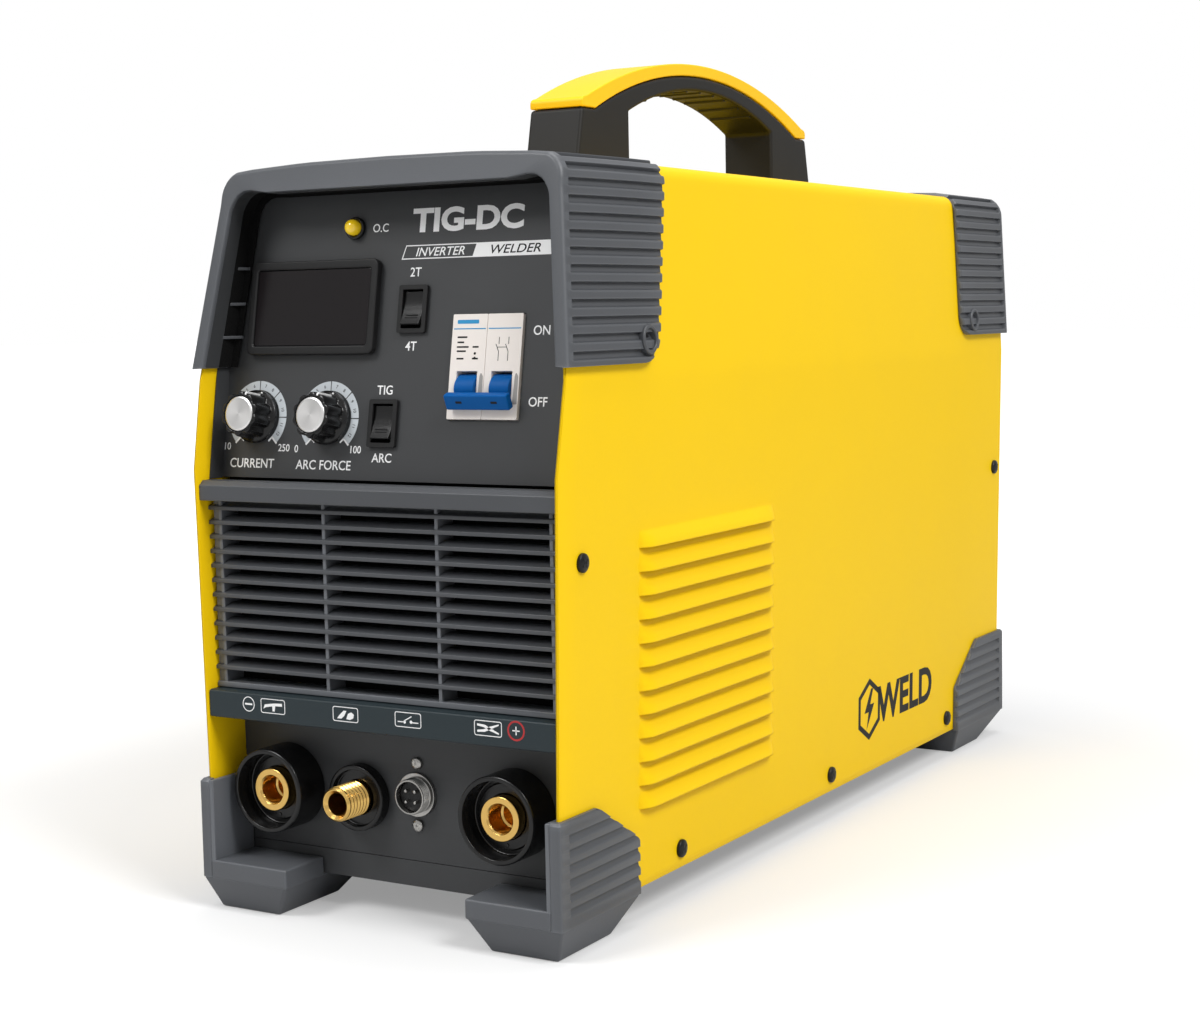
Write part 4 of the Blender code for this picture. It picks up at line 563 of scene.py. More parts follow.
@dataclass(frozen=True)
class Finish:
    """One finish of the machine, and how its material is mixed."""

    called: str
    slot: str
    colour: tuple[float, float, float]
    roughness: float
    metallic: float = 0.0
    make: Make = Make.GRAINED
    grain: float = 2500.0
    cloud: float = 28.0
    tone: float = 0.1
    # how much sharp edges are paled: partly wear, partly a painted highlight
    edge: float = 0.25
    spread: float = 0.08
    depth: float = 0.02 * MM
    coat: float = 0.0
    coat_roughness: float = 0.1
    # painted reflection: lighter and darker sectors round a turned piece's axis
    painted_sheen: float = 0.0
    glow: float = 0.0
    specular: float = 0.5

    def material(self, piece: str, place: Matrix | None = None) -> bpy.types.Material:
        """The finish's material, made once, or once for each piece that has its own axis.

        Args:
            piece: the piece that it goes on.
            place: for a turned finish, where the piece's axis is.

        Returns:
            The material.
        """
        name = self.called if place is None else self.called + ", " + piece
        made = bpy.data.materials.get(name)
        if made is not None:
            return made
        made = bpy.data.materials.new(name)
        made.use_nodes = True
        made.diffuse_color = (*self.colour, 1)
        nodes = Nodes(made.node_tree)
        shader = made.node_tree.nodes["Principled BSDF"]
        coordinates = nodes.add("TexCoord").outputs["Object"]
        texture = nodes.tree.nodes.new("ShaderNodeGroup")
        texture.node_tree = GRAIN if self.make is Make.GRAINED else LINES
        if place is not None:
            turn = place.to_euler()
            mapping = nodes.add("Mapping", {"Vector": coordinates}, vector_type="TEXTURE")
            mapping.inputs["Location"].default_value = place.translation
            mapping.inputs["Rotation"].default_value = (turn.x, turn.y, turn.z)
            coordinates = mapping.outputs["Vector"]
        nodes.tree.links.new(coordinates, texture.inputs["Vector"])
        values = {"Colour": (*self.colour, 1), "Roughness": self.roughness, "Tone": self.tone, "Spread": self.spread}
        if self.make is Make.GRAINED:
            values |= {"Grain": self.grain, "Cloud": self.cloud, "Edge": self.edge}
        else:
            values |= {"Lines": self.grain, "Painted sheen": self.painted_sheen}
        for label, value in values.items():
            texture.inputs[label].default_value = value
        bump = nodes.add("Bump", {"Height": texture.outputs["Height"], "Distance": self.depth, "Strength": 1.0})
        nodes.tree.links.new(texture.outputs["Colour"], shader.inputs["Base Color"])
        nodes.tree.links.new(texture.outputs["Roughness"], shader.inputs["Roughness"])
        nodes.tree.links.new(bump.outputs["Normal"], shader.inputs["Normal"])
        shader.inputs["Metallic"].default_value = self.metallic
        shader.inputs["Specular IOR Level"].default_value = self.specular
        shader.inputs["Coat Weight"].default_value = self.coat
        shader.inputs["Coat Roughness"].default_value = self.coat_roughness
        if self.glow:
            nodes.tree.links.new(texture.outputs["Colour"], shader.inputs["Emission Color"])
            shader.inputs["Emission Strength"].default_value = self.glow
        return made


YELLOW = Finish(
    "yellow paint", "yellow_paint", (0.93, 0.6, 0.004), 0.44, grain=900, tone=0.035, edge=0.05, spread=0.05,
    depth=0.012 * MM, specular=0.12,
)
CAP_YELLOW = Finish(
    "yellow grip plastic", "yellow_plastic", (0.92, 0.575, 0.005), 0.42, tone=0.05, edge=0.08, depth=0.012 * MM,
    specular=0.3,
)
# edge=1.1 pales the ribs' ridges strongly: mostly a painted highlight, with a little wear
GREY = Finish(
    "grained grey plastic", "grey_plastic", (0.064, 0.068, 0.075), 0.42, grain=1500, tone=0.16, edge=1.1,
    depth=0.035 * MM,
)
# panel paint, and also the bezel opening's darker inner lining, where it is painted shade
PANEL_AND_SHADE_GREY = Finish(
    "dark grey panel paint and painted shade", "panel_grey", (0.033, 0.0345, 0.0365), 0.5, grain=1700, tone=0.16, edge=0.2,
    depth=0.03 * MM,
)
STRIP = Finish(
    "blue-grey strip", "strip_blue_grey", (0.0155, 0.026, 0.031), 0.42, tone=0.1, depth=0.012 * MM,
    specular=0.35,
)
BLACK = Finish(
    "gloss black plastic", "black_plastic", (0.0055, 0.0055, 0.0057), 0.24, tone=0.2, edge=0.5, depth=0.01 * MM,
    specular=0.4,
)
SATIN_BLACK = Finish(
    "satin black plastic", "black_plastic", (0.0085, 0.0085, 0.0088), 0.42, tone=0.2, edge=0.5, depth=0.02 * MM,
    specular=0.35,
)
HANDLE_BLACK = Finish(
    "black handle plastic", "handle_black", (0.0095, 0.0096, 0.0098), 0.48, grain=1600, tone=0.18, edge=0.4,
    depth=0.03 * MM, specular=0.3,
)
SMOKED = Finish(
    "smoked window", "smoked_window", (0.0085, 0.0065, 0.0072), 0.2, tone=0.25, edge=0.0, spread=0.04,
    depth=0.002 * MM, specular=0.3,
)
AMBER = Finish(
    "amber lens", "amber_lens", (0.9, 0.6, 0.012), 0.14, tone=0.1, edge=0.0, depth=0.004 * MM, coat=1.0,
    glow=0.18,
)
WHITE = Finish(
    "white breaker plastic", "breaker_white", (0.86, 0.80, 0.75), 0.42, tone=0.04, edge=0.04, depth=0.012 * MM,
)
BLUE = Finish(
    "blue toggle plastic", "toggle_blue", (0.001, 0.095, 0.34), 0.4, tone=0.1, edge=0.25, depth=0.012 * MM,
    specular=0.12,
)
# painted_sheen paints faint lighter and darker sectors of reflection on the cap
CAP_METAL = Finish(
    "spun aluminium cap", "spun_aluminium", (0.80, 0.79, 0.78), 0.34, 1.0, Make.TURNED, 9000, tone=0.1,
    painted_sheen=0.12, depth=0.006 * MM,
)
SINK_METAL = Finish("extruded aluminium", "spun_aluminium", (0.72, 0.72, 0.72), 0.4, 1.0, grain=1200, tone=0.1)
BRASS = Finish(
    "turned brass", "brass", (0.78, 0.5, 0.15), 0.24, 1.0, Make.TURNED, 2500, tone=0.14, spread=0.12,
    depth=0.008 * MM,
)
NICKEL = Finish("nickel plate", "nickel", (0.44, 0.43, 0.41), 0.28, 1.0, Make.TURNED, 1500, tone=0.08, depth=0.006 * MM)
ZINC = Finish(
    "zinc plate", "zinc_steel", (0.46, 0.465, 0.47), 0.42, 1.0, grain=240, cloud=60, tone=0.3, spread=0.2,
    depth=0.01 * MM,
)
BLACK_STEEL = Finish(
    "blackened steel", "black_steel", (0.014, 0.014, 0.0145), 0.34, 0.6, tone=0.3, edge=0.9, depth=0.008 * MM,
)
COPPER = Finish("copper winding", "copper", (0.62, 0.25, 0.09), 0.32, 1.0, Make.TURNED, 900, tone=0.4, depth=0.2 * MM)
BOARD = Finish("green circuit board", "board_green", (0.01, 0.11, 0.03), 0.4, grain=500, tone=0.5, depth=0.05 * MM)
FERRITE = Finish("ferrite core", "ferrite", (0.03, 0.03, 0.033), 0.55, grain=700, tone=0.3, depth=0.05 * MM)
SLEEVE = Finish("capacitor sleeve", "capacitor_sleeve", (0.02, 0.03, 0.1), 0.3, tone=0.1)
INK_WHITE = Finish("white print", "panel_grey", (0.9, 0.9, 0.9), 0.5, tone=0.03, edge=0.0, depth=0.004 * MM)
INK_SILVER = Finish("silver print", "panel_grey", (0.56, 0.6, 0.63), 0.45, tone=0.05, edge=0.0, depth=0.004 * MM)
# dark print, and also the painted shade of the breaker handle's slots
DARK_PRINT_AND_SHADE = Finish(
    "dark print and painted shade", "panel_grey", (0.009, 0.009, 0.0095), 0.5, tone=0.05, edge=0.0, depth=0.004 * MM,
    specular=0.2,
)
INK_RED = Finish("red print", "strip_blue_grey", (0.42, 0.018, 0.02), 0.5, tone=0.05, edge=0.0, depth=0.004 * MM)
# painted shade of the grooves on the breaker's face
GROOVE_SHADE_GREY = Finish(
    "painted groove shade", "breaker_white", (0.34, 0.325, 0.31), 0.5, tone=0.05, edge=0.0, depth=0.01 * MM,
)
# black sheets that stand in for shade: the strip behind the bezel's opening and the sheet behind the intake slats
SHADE_BLACK = Finish(
    "black sheet for painted shade", "black_plastic", (0.006, 0.006, 0.006), 0.95, grain=1400, tone=0.6, edge=0.0,
    depth=0.3 * MM, specular=0.1,
)
INK_BLUE = Finish("blue print", "breaker_white", (0.02, 0.28, 0.56), 0.45, tone=0.05, edge=0.0, depth=0.004 * MM)


def settle(
    shape: Shape,
    name: str,
    finish: Finish,
    body: str = "chassis",
    replaced: Sequence[str] = (),
    axis: Matrix | None = None,
) -> bpy.types.Object:
    """Makes a shape a finished piece of the machine.

    Args:
        shape: the shape, which is used up.
        name: the piece's name.
        finish: its finish.
        body: the body that it moves with.
        replaced: the frame's nodes that it stands for.
        axis: for a turned finish, where its axis is.

    Returns:
        The piece.
    """
    mesh = bpy.data.meshes.new(name)
    shape.bm.to_mesh(mesh)
    shape.bm.free()
    mesh.shade_smooth()
    mesh.set_sharp_from_angle(angle=SHARP)
    piece = bpy.data.objects.new(name, mesh)
    bpy.context.scene.collection.objects.link(piece)
    mesh.materials.append(finish.material(name, axis))
    piece.modifiers.new("Flats", "WEIGHTED_NORMAL").keep_sharp = True
    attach(piece, body)
    if replaced:
        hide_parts(*replaced)
    LOG.info("%s: %d faces, moves with %s", name, len(mesh.polygons), body)
    return piece


def dress(node: str, finish: Finish, axis: Matrix | None = None) -> None:
    """Gives a node of the frame its finish."""
    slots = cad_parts[node].data.materials
    slots.clear()
    slots.append(finish.material(node, axis))
    LOG.info("%s keeps its shape", node)


# ---- screws


@dataclass
class PanScrew:
    """A black cross-head screw with a domed head."""

    head_r: float = 4.2 * MM
    head_tall: float = 2.2 * MM
    shank_r: float = 2 * MM
    shank: float = 6 * MM

    def add_to(self, shape: Shape, place: Matrix) -> None:
        """Adds the screw, its head's underside on the place.

        Args:
            shape: what it is added to.
            place: where it goes, w outwards.
        """
        r, tall = self.head_r, self.head_tall
        dome = [(0.0, tall * 0.42)]
        dome += [(r * 0.2, tall * 0.42), (r * 0.24, tall * 0.98)]
        dome += [(r * sin(t), tall * (0.35 + 0.65 * cos(t) ** 0.8)) for t in (0.35, 0.6, 0.85, 1.1, 1.3)]
        profile = dome + [
            (r, tall * 0.3), (r * 0.98, 0), (self.shank_r, 0), (self.shank_r, -self.shank), (0, -self.shank),
        ]
        shape.turned(profile, place, 24)
        wing = slab((r * 1.15, r * 0.2), radius=r * 0.05, steps=2)
        for turn in (0.0, pi / 2):
            shape.plate([wing], tall * 0.9, tall * 1.005, place @ spun(turn + 0.6))


# ---- cover


@dataclass
class Cover:
    """The folded steel cover with its pressed louvres."""

    louvres: int = 12
    pitch: float = 10.45 * MM
    first_z: float = 50.6 * MM
    front: float = 66 * MM
    length: float = 132 * MM
    tall: float = 8 * MM
    proud: float = 4.2 * MM
    taper: float = 9 * MM
    rise: tuple[float, ...] = (0.0, 0.06, 0.18, 0.34, 0.52, 0.7, 0.86, 1.0)
    pan_screws: tuple[float, ...] = mm(104.5, 269.6, 435.5)
    edge_screws: tuple[Point, ...] = (mm(18.3, 164.6), mm(510, 168))

    def hood(self, depth: float, share: float) -> float:
        """How far a louvre stands out.

        Args:
            depth: distance behind the cover's front edge.
            share: height in the louvre, 0 at its lip and 1 at its top.

        Returns:
            The distance outwards.
        """
        near = min(depth - self.front, self.front + self.length - depth) / self.taper
        end = sin(pi / 2 * min(1.0, max(0.0, near))) ** 0.7
        return self.proud * end * cos(pi / 2 * share) ** 1.15

    def heights(self) -> list[tuple[float, float | None]]:
        """The side's rows from the foot up, each with its share of a louvre."""
        rows: list[tuple[float, float | None]] = [(BASE_Z, None), (BASE_Z + 4 * MM, None), (40 * MM, None)]
        for index in range(self.louvres):
            low = self.first_z + index * self.pitch
            rows.append((low, None))
            rows += [(low + share * self.tall, share) for share in self.rise]
        rows += [(z * MM, None) for z in (185, 195, 200, 205, 215, 228, 237, 240, 243, 255, 280, 305)]
        return rows

    def depths(self) -> list[float]:
        """The columns, from the front edge to the rear."""
        ends = [0.0, 0.8, 2.0, 3.5, 5.5, 8.0, 10.5]
        near = [self.front + e * MM for e in ends]
        far = [self.front + self.length - e * MM for e in reversed(ends)]
        middle = [self.front + self.length * k / 6 for k in range(1, 6)]
        rest = [BODY_DEPTH * k / 8 for k in range(4, 9)]
        return [0.0, 15 * MM, 40 * MM] + near + middle + far + [230 * MM] + rest

    def build(self) -> None:
        """Makes the cover, its screws and the side emblems."""
        rows = self.heights()
        half = [(half_width(z), z, share) for z, share in rows]
        top_half = half_width(TOP_Z)
        arc = eased([(top_half, TOP_Z - 14 * MM), (top_half, TOP_Z), (top_half - 14 * MM, TOP_Z)], SHOULDER_R, 7, False)
        half += [(x, z, None) for x, z in arc[1:]]
        half += [(top_half * k / 6, TOP_Z, None) for k in (4.6, 3, 1.5)]
        across = half + [(0.0, TOP_Z, None)] + [(-x, z, share) for x, z, share in reversed(half)]
        depths = self.depths()
        part = bmesh.new()
        bmesh.ops.create_grid(part, x_segments=len(across) - 1, y_segments=len(depths) - 1, size=1)
        part.verts.ensure_lookup_table()
        lips: list[bmesh.types.BMVert] = []
        for index, vert in enumerate(part.verts):
            x, z, share = across[index % len(across)]
            depth = depths[index // len(across)]
            edge = lean_back(z)
            depth = edge + depth * (BODY_DEPTH - edge) / BODY_DEPTH if z > CREASE_Z else depth
            push = self.hood(depth, share) if share is not None else 0.0
            squeeze = 1 - pinch(z, depth - edge + 3.8 * MM) / half_width(z)
            vert.co = (x * squeeze + copysign(push, x), FRONT + depth, z)
            if share == 0.0 and push > 0:
                lips.append(vert)
        slits = [face for face in part.faces if self.is_slit(face)]
        bmesh.ops.delete(part, geom=slits, context="FACES_ONLY")
        loose = [e for e in part.edges if not e.link_faces]
        bmesh.ops.delete(part, geom=loose, context="EDGES")
        bmesh.ops.remove_doubles(part, verts=part.verts, dist=1e-7)
        bmesh.ops.recalc_face_normals(part, faces=part.faces)
        roof = max(part.faces, key=lambda f: f.calc_center_median().z)
        if roof.normal.z < 0:
            bmesh.ops.reverse_faces(part, faces=part.faces)
        shape = Shape()
        shape.bm.free()
        shape.bm = part
        piece = settle(shape, "cover", YELLOW, replaced=("cover_shell",))
        wall = piece.modifiers.new("Sheet", "SOLIDIFY")
        wall.thickness = SHEET
        wall.offset = -1
        piece.modifiers.move(1, 0)
        self.screws()
        self.emblems()

    def is_slit(self, face: bmesh.types.BMFace) -> bool:
        """Whether a face would close the opening under a louvre's lip."""
        zs = [v.co.z for v in face.verts]
        xs = [abs(v.co.x) for v in face.verts]
        return max(zs) - min(zs) < 1e-6 and max(xs) - min(xs) > 0 and max(zs) < CREASE_Z

    def screws(self) -> None:
        """Makes the black screws that hold the cover."""
        shape, screw = Shape(), PanScrew()
        places = [(depth, 24.3 * MM) for depth in self.pan_screws] + list(self.edge_screws)
        for side in (1, -1):
            for depth, z in places:
                screw.add_to(shape, facing_side(side, depth, z))
        settle(shape, "cover_screws", BLACK_STEEL)

    def emblems(self) -> None:
        """Prints a plain emblem on both sides: a ringed spark and a word."""
        shape = Shape()
        for side in (1, -1):
            spot = 320 * MM if side > 0 else 384 * MM
            place = facing_side(side, spot, 50 * MM)
            ring = [circle(17 * MM, 6, start=pi / 6), circle(13.6 * MM, 6, start=pi / 6)]
            shape.plate(ring, 0, INK, place)
            bolt = [(2, 11), (-6.5, -1.5), (-1, -1.5), (-3.5, -11), (6.5, 2.5), (1, 2.5), (5, 11)]
            shape.inked(place, scaled(bolt))
            word = facing_side(side, spot + side * 51 * MM, 50 * MM)
            shape.text("WELD", 19 * MM, word, bold=0.045, wide=1.04)
        settle(shape, "side_emblems", DARK_PRINT_AND_SHADE)


# ---- corner guards


@dataclass
class Guard:
    """A moulded guard round one end of the cover: the front bezel or the rear bumper."""

    name: str
    node: str
    face: float  # depth of its outer face
    way: int  # +1 when the machine is behind the face
    wing: float  # length of its wings
    foot: float  # height of its wings' lower ends
    leaning: bool
    wall_back: float  # from the face to the back of its inner wall
    boss: Point
    screws: tuple[str, ...] = ()
    proud: float = 3.3 * MM
    crown: float = 4.5 * MM
    corner: float = 12 * MM
    post: float = 10.5 * MM
    band: float = 10.3 * MM
    rib_pitch: float = 7.1 * MM
    rib_depth: float = 1.9 * MM
    ribs: int = 13
    boss_r: float = 6.5 * MM
    draft: float = 6.6 * MM  # how much wider the opening is than the panel behind it
    shade: float = 11.2 * MM  # from the face to where the black strip of painted shadow starts
    rib_shape: tuple[Point, ...] = (
        (0.0, 0.0), (0.03, 0.12), (0.06, 1.0), (0.1, 1.0), (0.42, 0.72), (0.5, 0.18), (0.56, 0.02), (0.66, 0.0),
        (0.9, 0.0),
    )

    def outer(self, grow: float = 0.0) -> list[Vector]:
        """The right half of the outer outline, foot to middle, as a fine chain (x, z)."""
        top = TOP_Z + self.proud
        half = half_width(TOP_Z) + self.proud
        corners = [
            (half_width(self.foot) + self.proud + grow, self.foot, 0),
            (half + grow, top - self.crown / 3 + grow, self.corner + grow),
            (half / 2, TOP_Z + self.crown * 0.9 + grow, 60 * MM), (0.0, TOP_Z + self.crown + grow, 0),
        ]
        return [Vector(p) for p in eased(corners, steps=24, closed=False)]

    def inner(self) -> list[Vector]:
        """The right half of the opening's outline."""
        top = TOP_Z - self.band
        corners = [
            (half_width(WAIST_Z) - self.post, self.foot, 0), (half_width(top) - self.post, top, 9 * MM),
            (0.0, top, 0),
        ]
        return [Vector(p) for p in eased(corners, steps=24, closed=False)]

    def cover(self, grow: float) -> list[Vector]:
        """The right half of the cover's outline, grown by a distance."""
        half = half_width(TOP_Z) + grow
        corners = [
            (half_width(self.foot) + grow, self.foot, 0), (half, TOP_Z + grow, SHOULDER_R + grow),
            (0.0, TOP_Z + grow, 0),
        ]
        return [Vector(p) for p in eased(corners, steps=24, closed=False)]

    def stations(self) -> list[tuple[float, float]]:
        """Each sample's share of the outer outline, with its rib's depth, foot to middle."""
        length = chain_length(self.outer())
        made: list[tuple[float, float]] = [(0.0, 0.0), mm(0.5, 0)]
        for index in range(self.ribs):
            start = (index - 0.13) * self.rib_pitch
            rib = [(start + share * self.rib_pitch, deep) for share, deep in self.rib_turned()]
            made += [(distance, deep) for distance, deep in rib if distance > 0.6 * MM]
        last = made[-1][0]
        rest = length - last
        made += [(last + rest * k / 10, 0.0) for k in range(1, 11)]
        return [(distance / length, deep * self.rib_depth) for distance, deep in made]

    def rib_turned(self) -> list[Point]:
        """One rib from its lower edge up: the undercut comes below the proud part."""
        return [(1 - share, deep) for share, deep in reversed(self.rib_shape)][:-1] + [(1.0, 0.0)]

    def ring(self) -> list[tuple[str, float, float, float]]:
        """The section round the guard: which outline, distance in from the face, inset, share of the ribs."""
        wing = self.wing
        seat = (4 * MM if not self.leaning else 3.8 * MM) - GAP
        draft = self.draft if self.leaning else 0.0
        return [
            ("outer", wing - 0.2 * MM, -3 * MM, 0), ("outer", wing, -2.2 * MM, 0),
            ("outer", wing - 0.3 * MM, -0.9 * MM, 0.5), ("outer", wing - 0.9 * MM, -0.25 * MM, 1),
            ("outer", wing - 1.8 * MM, 0, 1), ("outer", wing * 0.7, 0, 1), ("outer", wing * 0.4, 0, 1),
            ("outer", 15 * MM, 0, 1), ("outer", 5.4 * MM, 0, 1), ("outer", 4.9 * MM, 0, 0.85),
            ("outer", 4.3 * MM, 0.05 * MM, 0), ("outer", 2.2 * MM, 0.05 * MM, 0),
            ("outer", 1.1 * MM, -0.25 * MM, 0), ("outer", 0.35 * MM, -0.85 * MM, 0),
            ("outer", 0.0, -1.8 * MM, 0), ("inner", 0.0, draft + 1.6 * MM, 0),
            ("inner", 0.3 * MM, draft + 0.7 * MM, 0), ("inner", MM, draft + 0.2 * MM, 0),
            ("inner", 2 * MM, draft, 0), ("inner", self.wall_back, draft, 0),
            ("cover_in", self.wall_back, 0.0, 0), ("cover_in", seat, 0.0, 0), ("cover_out", seat, 0.0, 0),
            ("cover_out", wing - 0.2 * MM, 0.0, 0),
        ]

    def build(self) -> None:
        """Makes the guard, its bosses and their screws."""
        shape = self.skin(self.ring())
        for side in (1, -1):
            self.add_boss(shape, side)
        settle(shape, self.name, GREY, replaced=(self.node,))
        if self.leaning:
            self.surround()
        screws, screw = Shape(), PanScrew(head_r=4.2 * MM)
        for side in (1, -1):
            screw.add_to(screws, facing_side(side, *self.boss, out=-0.4 * MM))
        settle(screws, self.name + "_screws", BLACK_STEEL, replaced=self.screws)

    def surround(self) -> None:
        """Makes the opening's darker inner lining as painted shade, a black strip behind it as a painted shadow, and
        the stiffening webs.
        """
        shade, back = self.shade, self.wall_back + MM
        # the opening's inner wall, from 2.3 mm behind the face, in darker grey: painted shade
        painted_shade_lining = [
            ("inner", 2.3 * MM, self.draft + 0.5 * MM, 0), ("inner", 2.3 * MM, self.draft - 0.15 * MM, 0),
            ("inner", shade + 0.4 * MM, self.draft - 0.15 * MM, 0),
            ("inner", shade + 0.4 * MM, self.draft + 0.5 * MM, 0),
        ]
        settle(self.skin(painted_shade_lining), self.name + "_lining", PANEL_AND_SHADE_GREY)
        # a black strip round the recess behind the inner wall: a painted shadow
        painted_shadow_strip = [
            ("inner", shade, self.draft + 0.5 * MM, 0), ("inner", shade, self.draft - 0.25 * MM, 0),
            ("inner", back - 0.6 * MM, self.draft - 0.25 * MM, 0), ("inner", back - 0.6 * MM, 2.6 * MM, 0),
            ("inner", back, 2.6 * MM, 0), ("inner", back, self.draft + 0.5 * MM, 0),
        ]
        settle(self.skin(painted_shadow_strip), self.name + "_seal", SHADE_BLACK)
        shape = Shape()
        for side in (1, -1):
            self.add_gussets(shape, side)
        settle(shape, self.name + "_webs", GREY)

    def skin(self, section: list[tuple[str, float, float, float]]) -> Shape:
        """Lays a closed section all along the guard.

        Args:
            section: its points, each as in ring().

        Returns:
            The new shape.
        """
        chains = {
            "outer": self.outer(),
            "inner": self.inner(),
            "cover_in": self.cover(-SHEET - GAP),
            "cover_out": self.cover(GAP),
        }
        stations = self.stations()
        rows = []
        for outline, inward, inset, ribbed in section:
            half = []
            for share, deep in stations:
                point, out = along_chain(chains[outline], share)
                drafted = inset * (abs(out.x) + 0.3 * abs(out.y)) if outline == "inner" else inset
                point = point + out * (drafted - deep * ribbed)
                cut = self.corner_cut(share, inward)
                lean = lean_back(point.y) if self.leaning else 0.0
                squeeze = 1 - pinch(point.y, inward) / half_width(point.y) if self.leaning else 1.0
                half.append(Vector((point.x * squeeze, FRONT + self.face + self.way * (inward - cut) + lean, point.y)))
            rows.append(half + [Vector((-p.x, p.y, p.z)) for p in reversed(half[:-1])])
        shape = Shape()
        shape.lofted([list(column) for column in zip(*rows)])
        return shape

    def corner_cut(self, share: float, inward: float) -> float:
        """How much a wing's lower free corner is rounded back."""
        radius = 12 * MM
        up = share * chain_length(self.outer())
        if up >= radius or inward < self.wing * 0.6:
            return 0.0
        fade = min(1.0, (inward - self.wing * 0.6) / (self.wing * 0.3))
        return fade * (radius - sqrt(radius * radius - (radius - up) ** 2))

    def add_boss(self, shape: Shape, side: int) -> None:
        """Adds the round screw boss of one wing."""
        depth, z = self.boss
        top = self.proud + 1.15 * MM
        profile = [mm(4.5, 0.4), (self.boss_r, 0.4 * MM), (self.boss_r, top, MM), (4.7 * MM, top, 0.7 * MM)]
        shape.turned(eased(profile, steps=4), facing_side(side, depth, z), 40, closed=True)

    def add_gussets(self, shape: Shape, side: int) -> None:
        """Adds the small stiffening webs on the opening's side wall."""
        for z in mm(259, 274, 290):
            wall = half_width(WAIST_Z) - self.post - pinch(z, self.shade)
            start = self.face + self.shade - 0.5 * MM + lean_back(z)
            end = PANEL_DEPTH + (z - PANEL_FOOT) * tan(LEAN) - 0.5 * MM
            web = [(wall + 7.2 * MM, start), (wall + 7.2 * MM, end), (wall + 1.6 * MM, end), (wall + 5.6 * MM, start)]
            place = axes(Vector((0, FRONT, z)), side * ACROSS, BACK)
            shape.plate([web], -0.7 * MM, 0.7 * MM, place, 0.3 * MM, 2)


def chain_length(chain: Sequence[Vector]) -> float:
    """Length along a chain of points."""
    return sum((b - a).length for a, b in zip(chain, chain[1:]))


def along_chain(chain: Sequence[Vector], share: float) -> tuple[Vector, Vector]:
    """A point on a chain.

    Args:
        chain: the points.
        share: how far along, from 0 to 1.

    Returns:
        The point and the outward direction there.
    """
    left = share * chain_length(chain)
    for a, b in zip(chain, chain[1:]):
        step = (b - a).length
        if left <= step + 1e-9 or b is chain[-1]:
            way = (b - a).normalized()
            return a + way * min(left, step), Vector((way.y, -way.x))
        left -= step
    return chain[-1], Vector((0, 1))


# ---- feet


